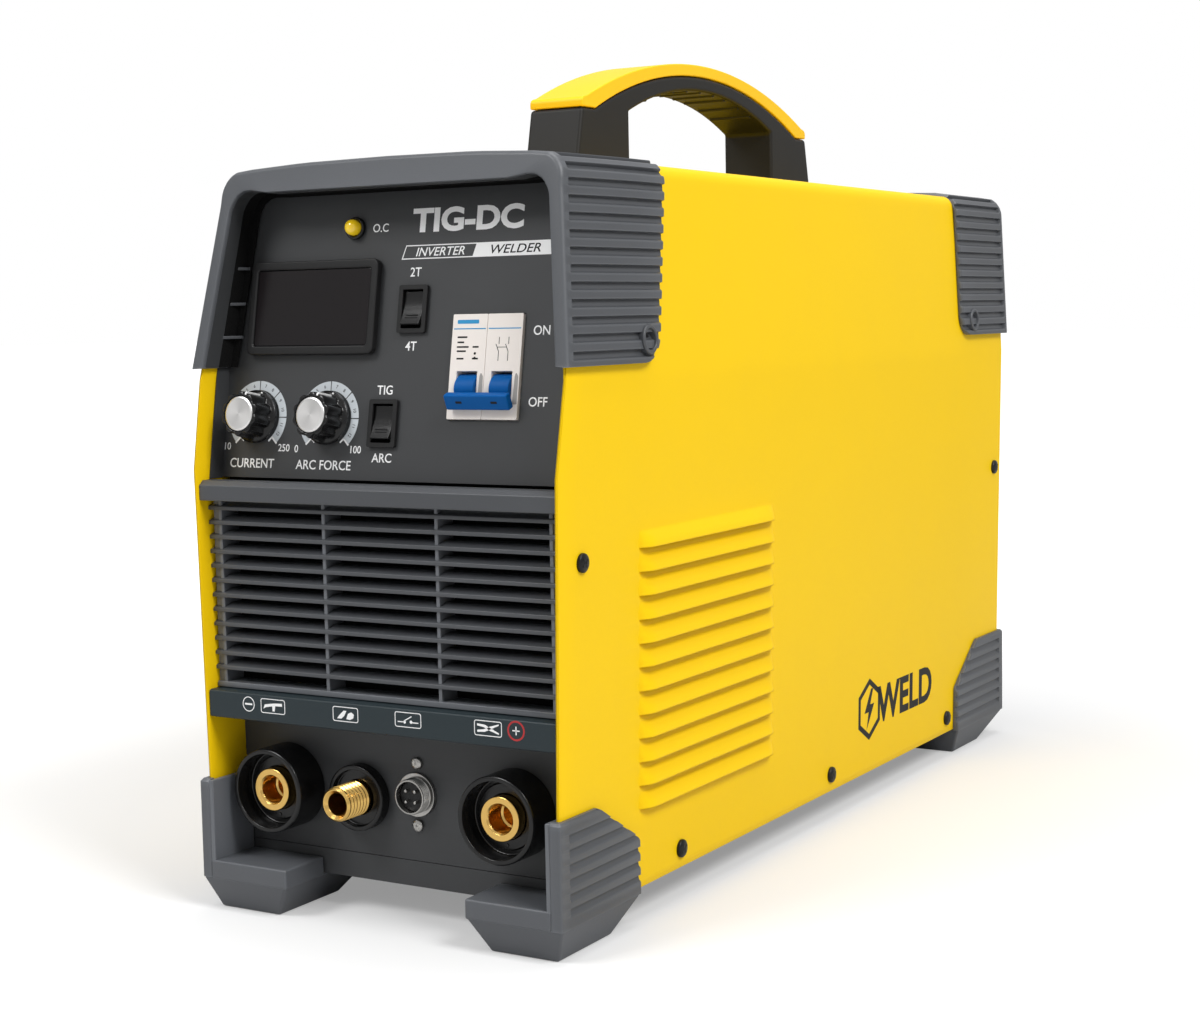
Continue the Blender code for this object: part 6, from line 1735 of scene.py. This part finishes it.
@dataclass
class WeldSocket:
    """A bayonet weld socket: a black collar round a brass insert with a key slot."""

    name: str
    x: float
    z: float = 55 * MM
    radius: float = 19.25 * MM
    proud: float = 18 * MM
    lip: float = 2.4 * MM
    floor: float = 9 * MM
    brass_r: float = 9.75 * MM
    bore_r: float = 6.1 * MM
    brass_proud: float = 14.5 * MM

    def build(self) -> None:
        """Makes the collar and the insert."""
        place = facing_front(self.x, CONNECTOR_Y, self.z)
        cup = self.radius - self.lip
        collar = [
            (self.brass_r + GAP, self.floor, 0.2 * MM), (cup - 2.6 * MM, self.floor, 0.3 * MM),
            (cup - 2.2 * MM, self.floor - 0.9 * MM, 0.3 * MM), (cup, self.floor - 0.9 * MM, 0.8 * MM),
            (cup, self.proud, 0.5 * MM), (self.radius, self.proud, 1.1 * MM), (self.radius, 3.2 * MM, 0.3 * MM),
            (self.radius, 0.3 * MM, 0.2 * MM), mm(14, 0.3, 0), mm(14, -16, 0),
            (self.brass_r + GAP, -16 * MM, 0),
        ]
        shape = Shape()
        shape.turned(eased(collar, steps=5), place, 96, closed=True)
        notch = [mm(-1.5, 13.2), mm(1.5, 13.2), mm(0, 15.6)]
        shape.plate([notch], self.floor - MM, self.floor + 0.5 * MM, place, 0.15 * MM, 1)
        shape.plate([circle(0.9 * MM, 20, mm(0, -12.4))], self.floor - MM, self.floor + 0.4 * MM, place, 0.2 * MM, 2)
        settle(shape, self.name + "_socket_collar", BLACK, replaced=(self.name + "_socket_insulator",))
        insert = Shape()
        bottom = self.brass_proud - 25 * MM
        profile = [
            (0, bottom, 0), (self.bore_r, bottom, 0), (self.bore_r, self.brass_proud - 0.9 * MM, 0.2 * MM),
            (self.bore_r + 0.8 * MM, self.brass_proud, 0.25 * MM), (self.brass_r, self.brass_proud, 0.6 * MM),
            (self.brass_r, -16 * MM, 0), mm(6, -16, 0), mm(6, -32, 0), mm(0, -32, 0),
        ]
        insert.turned(eased(profile, steps=4, closed=False), place, 96)
        groove = [
            (self.bore_r - 0.9 * MM, bottom + 12 * MM), (self.bore_r + 0.2 * MM, bottom + 11.4 * MM),
            (self.bore_r + 0.2 * MM, bottom + 14.6 * MM), (self.bore_r - 0.9 * MM, bottom + 14 * MM),
        ]
        insert.turned(groove, place, 64, closed=True)
        key = place @ spun(radians(8))
        insert.box(
            (self.bore_r - 1.5 * MM, -1.4 * MM, bottom),
            (self.bore_r + 0.4 * MM, 1.4 * MM, self.brass_proud - 6 * MM), key, 0.3 * MM,
        )
        settle(insert, self.name + "_socket_insert", BRASS, replaced=(self.name + "_socket_brass",), axis=place)


@dataclass
class GasOutlet:
    """The threaded brass gas outlet in its black cup."""

    x: float = -25 * MM
    z: float = 53.5 * MM
    cup_r: float = 15 * MM
    nipple_r: float = 7.8 * MM
    bore_r: float = 5.1 * MM
    proud: float = 20 * MM
    threads: int = 6
    thread_pitch: float = 2.2 * MM

    def build(self) -> None:
        """Makes the cup and the nipple."""
        place = facing_front(self.x, CONNECTOR_Y, self.z)
        bore, cup = self.nipple_r + GAP, self.cup_r - 2.2 * MM
        wall = [
            (bore, 3 * MM, 0.2 * MM), (cup, 3 * MM, 0.6 * MM), (cup, 6 * MM, 0.4 * MM),
            (self.cup_r, 6 * MM, 0.9 * MM), (self.cup_r, 0.3 * MM, 0.2 * MM), (bore, 0.3 * MM, 0),
        ]
        shape = Shape()
        shape.turned(eased(wall, steps=4), place, 80, closed=True)
        settle(shape, "gas_outlet_cup", BLACK, replaced=("gas_outlet_flange",))
        nipple = Shape()
        r = self.nipple_r
        profile: list[tuple] = [
            (self.bore_r, self.proud - 1.4 * MM, 0.2 * MM), (self.bore_r + 1.3 * MM, self.proud, 0.2 * MM),
            (r - MM, self.proud, 0.2 * MM), (r - 0.15 * MM, self.proud - 0.9 * MM, 0.1 * MM),
            (r - 0.15 * MM, self.proud - 1.6 * MM, 0.1 * MM),
        ]
        top = self.proud - 1.8 * MM
        for index in range(self.threads):
            level = top - index * self.thread_pitch
            profile += [
                (r - 1.3 * MM, level - 0.5 * MM, 0.12 * MM), (r, level - 1.45 * MM, 0.12 * MM),
                (r, level - 1.85 * MM, 0.12 * MM),
            ]
        profile += [(r - 0.6 * MM, 3 * MM, 0), (r - 0.6 * MM, -20 * MM, 0), (self.bore_r, -20 * MM, 0)]
        nipple.turned(eased(profile, steps=2), place, 72, closed=True)
        settle(nipple, "gas_outlet_thread", BRASS, replaced=("gas_outlet_nipple",), axis=place)


@dataclass
class ControlSocket:
    """The small four-pin control connector and its two screws."""

    x: float = 5.5 * MM
    z: float = 57.3 * MM
    radius: float = 8 * MM
    proud: float = 7 * MM
    threads: int = 5

    def build(self) -> None:
        """Makes the shell, the insert, its pins and the screws."""
        place = facing_front(self.x, CONNECTOR_Y, self.z)
        bore = self.radius - 1.1 * MM
        profile: list[tuple] = [(bore, self.proud, 0.25 * MM), (self.radius - 0.2 * MM, self.proud, 0.3 * MM)]
        for index in range(self.threads):
            level = self.proud - 0.6 * MM - index * 0.95 * MM
            profile += [(self.radius - 0.5 * MM, level - 0.25 * MM, 0), (self.radius, level - 0.7 * MM, 0.06 * MM)]
        profile += [
            (self.radius, 1.9 * MM, 0), mm(9.8, 1.9, 0.35), mm(9.8, 0.3, 0), (self.radius, 0.3 * MM, 0),
            (self.radius, -12 * MM, 0), (bore, -12 * MM, 0),
        ]
        shell = Shape()
        shell.turned(eased(profile, steps=2), place, 64, closed=True)
        settle(shell, "control_shell", NICKEL, replaced=("control_socket_shell",), axis=place)
        insert = Shape()
        plug = bore - 0.1 * MM
        insert.turned(
            eased([mm(0, 4), (plug, 4 * MM, 0.4 * MM), (plug, -12 * MM), mm(0, -12)], steps=3, closed=False),
            place, 48,
        )
        insert.box((-MM, plug - 1.2 * MM, 3.6 * MM), (MM, plug - 0.1 * MM, 6 * MM), place, 0.2 * MM)
        settle(insert, "control_insert", SATIN_BLACK, replaced=("control_socket_insert",))
        pins = Shape()
        for k in range(4):
            turn = radians(45 + 90 * k)
            spot = place @ moved(3.4 * MM * cos(turn), 3.4 * MM * sin(turn))
            pins.turned(
                eased([mm(0, 6.4), mm(0.75, 6.4, 0.4), mm(0.75, 3.5), mm(0, 3.5)], steps=3, closed=False), spot,
                20,
            )
        settle(pins, "control_pins", NICKEL, axis=place)
        for name, x, z in (("upper", 5.6 * MM, 71.2 * MM), ("lower", 5.4 * MM, 43.4 * MM)):
            screw = Shape()
            spot = facing_front(x, CONNECTOR_Y, z)
            PanScrew(2.8 * MM, 1.7 * MM, 1.5 * MM, 7.9 * MM).add_to(screw, spot @ moved(0, 0, 0.1 * MM))
            settle(screw, "control_screw_" + name, NICKEL, replaced=("control_socket_screw_" + name,), axis=spot)


# ---- handle


@dataclass
class Handle:
    """The carrying handle: a black frame under a yellow cap."""

    middle: float = BODY_DEPTH / 2 + 27 * MM
    wide: float = 30 * MM
    half_foot: float = 134.5 * MM
    half_shoulder: float = 127 * MM
    shoulder: float = 35 * MM
    window_half: float = 81 * MM
    window_tall: float = 36 * MM
    window_rise: float = 16.2 * MM
    grip: float = 7.3 * MM
    split_half: float = 114 * MM
    cap: float = 6 * MM
    cap_corner: float = 5 * MM
    grooves: int = 11

    def crown(self, half: float, apex: float, rise: float, steps: int = 32) -> list[Point]:
        """An arc over the handle from its front end to its rear end."""
        radius = (half * half + rise * rise) / (2 * rise)
        reach = asin(half / radius)
        turns = [reach - 2 * reach * k / steps for k in range(steps + 1)]
        return [(self.middle - radius * sin(t), apex - radius * (1 - cos(t))) for t in turns]

    def build(self) -> None:
        """Makes the frame and the cap."""
        foot = TOP_Z + GAP
        shoulder = foot + self.shoulder - GAP
        window = foot + self.window_tall - GAP + self.window_rise
        split = window + self.grip
        top = split + GAP + self.cap
        over = self.crown(self.split_half, split, split - shoulder)
        under = self.crown(self.window_half, window, self.window_rise, 88)
        m = self.middle
        outline = [(m - self.half_foot, foot), (m - self.half_shoulder, shoulder)]
        outline += over
        outline += [(m + self.half_shoulder, shoulder), (m + self.half_foot, foot), (m + self.window_half, foot)]
        outline += list(reversed(under))
        outline += [(m - self.window_half, foot)]
        half = self.wide / 2
        body = Shape()
        body.plate([outline], -half, half, SIDEWAYS, 2.2 * MM, 4)
        for k in range(self.grooves):
            share = (k + 0.5) / self.grooves
            point = under[int(share * 88)]
            if abs(point[0] - m) > self.window_half - 16 * MM:
                continue
            rib = circle(1.5 * MM, 16)
            place = SIDEWAYS @ moved(point[0], point[1] + 0.6 * MM)
            body.plate([rib], -half + 2.6 * MM, half - 2.6 * MM, place, 0.4 * MM, 2)
        settle(body, "handle_body", HANDLE_BLACK, replaced=("handle_frame",))
        seat = self.crown(self.split_half, split + GAP, split - shoulder)
        end_top = shoulder + self.cap
        crown_half = self.half_shoulder - self.cap_corner
        crown = self.crown(crown_half, top, top - end_top)
        front, rear = m - self.half_shoulder, m + self.half_shoulder
        low, high = shoulder + GAP, end_top - self.cap_corner / 2
        corner = [(rear, high), (rear - 0.8 * MM, high + 1.3 * MM), (rear - 2.4 * MM, end_top - 0.5 * MM)]
        other = [(front + 2.4 * MM, end_top - 0.5 * MM), (front + 0.8 * MM, high + 1.3 * MM), (front, high)]
        shell = seat + [(rear, low)] + corner + list(reversed(crown)) + other + [(front, low)]
        cap = Shape()
        cap.plate([shell], -half, half, SIDEWAYS, 1.6 * MM, 5)
        settle(cap, "handle_grip_cap", CAP_YELLOW, replaced=("handle_cap",))


# ---- rear


@dataclass
class Rear:
    """The rear panel's fittings: fan, guard, gland, gas inlet, earth bolt and plates."""

    panel_back: float = 512.5 * MM
    fan: Point = mm(25, 150)
    hub_r: float = 20 * MM
    blades: int = 7

    def build(self) -> None:
        """Makes everything on the rear panel."""
        dress("rear_panel", PANEL_AND_SHADE_GREY)
        self.guard()
        self.rotor()
        dress("fan_frame", SATIN_BLACK)
        self.gland()
        self.inlet()
        self.earth()
        self.vents()

    def guard(self) -> None:
        """Makes the wire guard over the fan with its four screws."""
        place = facing_rear(self.fan[0], self.panel_back + GAP, self.fan[1])
        shape = Shape()
        wire = 1.1 * MM
        for radius in (15, 24, 33, 42, 51, 58):
            shape.turned(circle(wire, 10, mm(radius, 3.2)), place, 72, closed=True)
        for k in range(4):
            turn = place @ spun(radians(45 + 90 * k))
            reach = hypot(52.5 * MM, 52.5 * MM)
            shape.box(mm(13, -1.1, 1.2), (reach - 3 * MM, 1.1 * MM, 2.6 * MM), turn, 0.5 * MM)
            eye = [mm(2.4, 0, 0), mm(4.6, 0, 0.4), mm(4.6, 1.6, 0.4), mm(2.4, 1.6, 0)]
            spot = turn @ moved(reach, 0)
            shape.turned(eased(eye, steps=3), spot, 32, closed=True)
            PanScrew(3.6 * MM, 1.9 * MM, 2 * MM, 4 * MM).add_to(shape, spot @ moved(0, 0, 1.6 * MM))
        shape.turned(
            eased([mm(0, 1.6), mm(14.5, 1.6, 0.5), mm(14.5, 3.0, 0.5), mm(0, 3.0)], steps=3, closed=False),
            place, 48,
        )
        settle(shape, "fan_wire_guard", BLACK_STEEL, replaced=("fan_guard",))

    def rotor(self) -> None:
        """Makes the fan's hub and swept blades."""
        low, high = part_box("fan_rotor")
        middle = (low + high) / 2
        place = axes(Vector((self.fan[0], middle.y, self.fan[1])), ACROSS, UP)
        half = (high.y - low.y) / 2
        shape = Shape()
        hub = [(2.1 * MM, half, 0), (self.hub_r, half, 2 * MM), (self.hub_r, -half, 0.6 * MM), (2.1 * MM, -half, 0)]
        shape.turned(eased(hub, steps=4), place, 64, closed=True)
        reach = min(high.x - self.fan[0], high.z - self.fan[1]) - 0.1 * MM
        for k in range(self.blades):
            rows = []
            for step in range(9):
                share = step / 8
                radius = self.hub_r - MM + (reach - self.hub_r + MM) * share
                pitch = radians(52 - 20 * share)
                sweep = radians(14 * share)
                chord = (13 + 7 * share) * MM
                row = []
                for along, thick in (
                    (-1, 0), (-0.6, 0.7), (0, 1), (0.6, 0.7), (1, 0), (0.6, -0.7), (0, -1), (-0.6, -0.7),
                ):
                    bend = 1.6 * MM * (1 - along * along)
                    u = along * chord / 2 * cos(pitch)
                    w = min(half, max(-half, along * chord / 2 * sin(pitch) + bend + thick * 0.8 * MM))
                    turn = sweep + u / radius
                    row.append(Vector((radius * cos(turn), radius * sin(turn), w)))
                rows.append(row)
            turned = place @ spun(tau * k / self.blades)
            shape.lofted([[turned @ p for p in row] for row in rows])
        settle(shape, "fan_blades", SATIN_BLACK, "fan_rotor", ("fan_rotor",))

    def gland(self) -> None:
        """Makes the power cord gland: a locking ring, a hexagon and a domed nut."""
        place = facing_rear(-64 * MM, self.panel_back, 225 * MM)
        shape = Shape()
        hexagon = circle(13 * MM, 6, start=pi / 6)
        shape.plate([hexagon, circle(6.6 * MM, 48)], 0.3 * MM, 8 * MM, place, 0.7 * MM, 3)
        dome = [
            mm(6.5, 8, 0), mm(6.5, 26, 0.6), mm(9.2, 25.4, 1.4), mm(11.6, 19, 2),
            mm(12.2, 9.4, 0.6), mm(11.2, 8, 0.3),
        ]
        shape.turned(eased(dome, steps=4), place, 64, closed=True)
        shape.turned([mm(6.5, 1), mm(9.9, 1), mm(9.9, -10), mm(6.5, -10)], place, 40, closed=True)
        for k in range(18):
            turn = place @ spun(tau * k / 18)
            shape.box(mm(11.3, -0.6, 10), mm(12.7, 0.6, 18), turn, 0.3 * MM)
        settle(shape, "cord_gland", SATIN_BLACK, replaced=("power_cord_gland",))

    def inlet(self) -> None:
        """Makes the brass gas inlet: a hexagon and a barbed hose tail."""
        place = facing_rear(-64 * MM, self.panel_back, 95 * MM)
        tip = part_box("gas_inlet_nipple")[1].y - (FRONT + self.panel_back)
        shape = Shape()
        shape.plate([circle(8 * MM, 6), circle(2.3 * MM, 32)], 0.3 * MM, 6 * MM, place, 0.5 * MM, 2)
        tail: list[tuple] = [mm(2.2, 5.8, 0), (2.2 * MM, tip, 0.2 * MM), (3.4 * MM, tip, 0.3 * MM)]
        steps = 4
        for index in range(steps):
            level = tip - 0.4 * MM - index * (tip - 8 * MM) / steps
            tail += [(4.6 * MM, level - 2.6 * MM, 0.15 * MM), (3.7 * MM, level - 2.8 * MM, 0)]
        tail += [mm(3.7, 5.8, 0)]
        shape.turned(eased(tail, steps=2), place, 48, closed=True)
        shape.turned([mm(2.2, 1), mm(4.5, 1), mm(4.5, -12), mm(2.2, -12)], place, 32, closed=True)
        settle(shape, "gas_hose_tail", BRASS, replaced=("gas_inlet_nipple",), axis=place)

    def earth(self) -> None:
        """Makes the earth bolt with its washer and the earth mark."""
        place = facing_rear(-64 * MM, self.panel_back, 50 * MM)
        low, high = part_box("earth_bolt")
        tall = high.y - (FRONT + self.panel_back)
        shape = Shape()
        shape.plate([circle(5.4 * MM, 6)], 1.2 * MM, tall, place, 0.4 * MM, 2)
        shape.turned(
            eased([mm(0, 0.3), mm(7, 0.3, 0.2), mm(7, 1.3, 0.2), mm(0, 1.3)], steps=2, closed=False), place, 40,
        )
        tail = (FRONT + self.panel_back) - low.y
        shape.turned([mm(0, 0.5), mm(3, 0.5), (3 * MM, -tail), (0, -tail)], place, 24)
        settle(shape, "earth_hex_bolt", ZINC, replaced=("earth_bolt",))
        mark = Shape()
        spot = facing_rear(-48 * MM, self.panel_back, 50 * MM)
        mark.inked(spot, circle(5 * MM, 40), circle(4.5 * MM, 40))
        mark.inked(spot, slab(mm(0.5, 3.6), mm(0, 1.8)))
        for wide, v in ((5.4, 0.0), (3.6, -1.1), (1.8, -2.2)):
            mark.inked(spot, slab((wide * MM, 0.5 * MM), (0, v * MM)))
        settle(mark, "earth_mark", INK_WHITE)

    def vents(self) -> None:
        """Makes the blank data plate riveted to the rear panel."""
        place = facing_rear(25 * MM, self.panel_back, 258 * MM)
        shape = Shape()
        shape.plate([slab(mm(96, 44), radius=2 * MM)], 0.0, 0.5 * MM, place, 0.15 * MM, 1)
        for u in (-44, 44):
            for v in (-18, 18):
                spot = place @ moved(u * MM, v * MM, 0.5 * MM)
                shape.turned(
                    eased([mm(0, 0.9), mm(1.6, 0.7, 0.4), mm(1.9, 0), (0, 0)], steps=3, closed=False), spot, 24,
                )
        settle(shape, "data_plate", ZINC)
        lines = Shape()
        for row in range(5):
            lines.plate([slab(mm(82, 0.35), (0, (-14 + row * 7) * MM))], 0.5 * MM, 0.55 * MM, place)
        for u in (-41, -14, 14, 41):
            lines.plate([slab(mm(0.35, 28), (u * MM, 0))], 0.5 * MM, 0.56 * MM, place)
        settle(lines, "data_plate_lines", DARK_PRINT_AND_SHADE)


@dataclass
class Inside:
    """Everything under the cover, which keeps its shape."""

    turned: tuple[tuple[str, Finish], ...] = (("arc_starter_coil", COPPER), ("output_inductor", COPPER))
    plain: tuple[tuple[str, Finish], ...] = (
        ("left_heat_sink", SINK_METAL), ("right_heat_sink", SINK_METAL), ("inverter_board", BOARD),
        ("control_board", BOARD), ("main_transformer", FERRITE), ("input_capacitor_front", SLEEVE),
        ("input_capacitor_rear", SLEEVE), ("gas_valve_body", BRASS), ("gas_valve_plunger", ZINC),
        ("base_pan", PANEL_AND_SHADE_GREY), ("connector_panel", PANEL_AND_SHADE_GREY),
    )

    def build(self) -> None:
        """Dresses the frame's inner nodes, the pan and the socket panel."""
        for node, finish in self.plain:
            axis = None if finish.make is Make.GRAINED else centred(node)
            dress(node, finish, axis)
        for node, finish in self.turned:
            dress(node, finish, centred(node))


def centred(node: str) -> Matrix:
    """A place at the middle of a node of the frame."""
    low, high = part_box(node)
    return Matrix.Translation((low + high) / 2)


# ---- studio


@dataclass
class Studio:
    """The floor, the lights and the camera."""

    eye: tuple[float, float, float] = (0.52786, -0.96604, 0.26594)
    right: tuple[float, float, float] = (0.85943, 0.51088, -0.01957)
    up: tuple[float, float, float] = (-0.03027, 0.08907, 0.99557)
    forward: tuple[float, float, float] = (-0.51036, 0.85502, -0.09201)
    lens: float = 61.33
    shift: Point = (0.0049, -0.0088)
    sky: float = 0.34

    def build(self) -> None:
        """Sets up the view, the floor and the light."""
        scene = bpy.context.scene
        scene.view_settings.view_transform = "Standard"
        camera = bpy.data.cameras.new("camera")
        camera.lens = self.lens
        camera.sensor_width = 36.0
        camera.sensor_fit = "HORIZONTAL"
        camera.shift_x, camera.shift_y = self.shift
        camera.clip_start = 0.01
        holder = bpy.data.objects.new("camera", camera)
        pose = Matrix((self.right, self.up, [-f for f in self.forward])).transposed().to_4x4()
        pose.translation = self.eye
        holder.matrix_world = pose
        scene.collection.objects.link(holder)
        scene.camera = holder
        self.floor()
        self.world()
        self.lamp("key", (-0.9, -1.9, 2.2), (0, -0.1, 0.15), 1.0, 36)
        self.lamp("side", (1.9, -0.7, 2.1), (0, 0, 0.15), 1.0, 50)
        self.lamp("top", (0.1, 0.2, 2.6), (0, 0, 0.3), 1.6, 28)

    def floor(self) -> None:
        """Lays the plain pale floor."""
        part = bmesh.new()
        bmesh.ops.create_grid(part, x_segments=1, y_segments=1, size=20)
        mesh = bpy.data.meshes.new("floor")
        part.to_mesh(mesh)
        part.free()
        floor = bpy.data.objects.new("floor", mesh)
        bpy.context.scene.collection.objects.link(floor)
        made = bpy.data.materials.new("floor_white")
        made.use_nodes = True
        shader = made.node_tree.nodes["Principled BSDF"]
        shader.inputs["Base Color"].default_value = (0.6, 0.6, 0.6, 1)
        shader.inputs["Roughness"].default_value = 0.9
        shader.inputs["Emission Color"].default_value = (1, 1, 1, 1)
        nodes = Nodes(made.node_tree)
        away = nodes.add("VectorMath", {0: nodes.add("TexCoord").outputs["Object"]}, operation="LENGTH")
        far = nodes.add(
            "MapRange",
            {"Value": away.outputs["Value"], "From Min": 0.3, "From Max": 1.3, "To Min": 0.28, "To Max": 1.0},
        )
        seen = nodes.add("LightPath").outputs["Is Camera Ray"]
        glow = nodes.maths("MULTIPLY", far.outputs["Result"], seen)
        made.node_tree.links.new(glow, shader.inputs["Emission Strength"])
        mesh.materials.append(made)

    def world(self) -> None:
        """Lights the room evenly, and shows it white to the camera and in reflections."""
        world = bpy.data.worlds.new("room")
        bpy.context.scene.world = world
        world.use_nodes = True
        nodes = Nodes(world.node_tree)
        background = world.node_tree.nodes["Background"]
        path = nodes.add("LightPath")
        seen = nodes.maths("MAXIMUM", path.outputs["Is Camera Ray"], path.outputs["Is Transmission Ray"])
        seen = nodes.maths("MAXIMUM", seen, nodes.maths("MULTIPLY", path.outputs["Is Glossy Ray"], 0.35))
        strength = nodes.maths("ADD", nodes.maths("MULTIPLY", seen, 1.0 - self.sky), self.sky)
        world.node_tree.links.new(strength, background.inputs["Strength"])
        background.inputs["Color"].default_value = (1, 1, 1, 1)

    def lamp(self, name: str, place: Sequence[float], aim: Sequence[float], size: float, power: float) -> None:
        """Adds one soft lamp.

        Args:
            name: its name.
            place: where it is.
            aim: the point that it lights.
            size: its width.
            power: its power in watts.
        """
        light = bpy.data.lights.new(name, "AREA")
        light.energy = power
        light.size = size
        holder = bpy.data.objects.new(name, light)
        way = Vector(aim) - Vector(place)
        holder.matrix_world = Matrix.Translation(place) @ way.to_track_quat("-Z", "Y").to_matrix().to_4x4()
        bpy.context.scene.collection.objects.link(holder)


def main() -> None:
    """Builds the whole machine and its studio, piece by piece."""
    logging.basicConfig(level=logging.INFO, format="%(name)s %(message)s")
    Studio().build()
    Cover().build()
    bezel = Guard(
        "bezel", "front_bezel", -3.8 * MM, 1, 77 * MM, 245.2 * MM, True, 19 * MM,
        mm(71.3, 255), ("front_bezel_screw_right", "front_bezel_screw_left"),
    )
    bezel.build()
    bumper = Guard(
        "bumper", "rear_bumper", BODY_DEPTH + 4 * MM, -1, 76 * MM, 250 * MM, False, 12.2 * MM,
        mm(466.6, 258.6), ribs=12,
    )
    bumper.build()
    for name, side, at_front in (
        ("front_right_foot", 1, True), ("front_left_foot", -1, True), ("rear_right_foot", 1, False),
        ("rear_left_foot", -1, False),
    ):
        Foot(name, side, at_front).build()
    ControlPanel().build()
    Display().build()
    Lamp().build()
    Knob("current", mm(-75.7, 27.4)).build()
    Knob("force", mm(-35.3, 27.2)).build()
    Rocker("mode", mm(6.7, 75)).build()
    Rocker("process", mm(-4.9, 25.1)).build()
    Breaker().build()
    Grille().build()
    SymbolStrip().build()
    WeldSocket("negative", -65.5 * MM).build()
    WeldSocket("positive", 57.8 * MM).build()
    GasOutlet().build()
    ControlSocket().build()
    Handle().build()
    Rear().build()
    Inside().build()


if __name__ == "__main__":
    main()
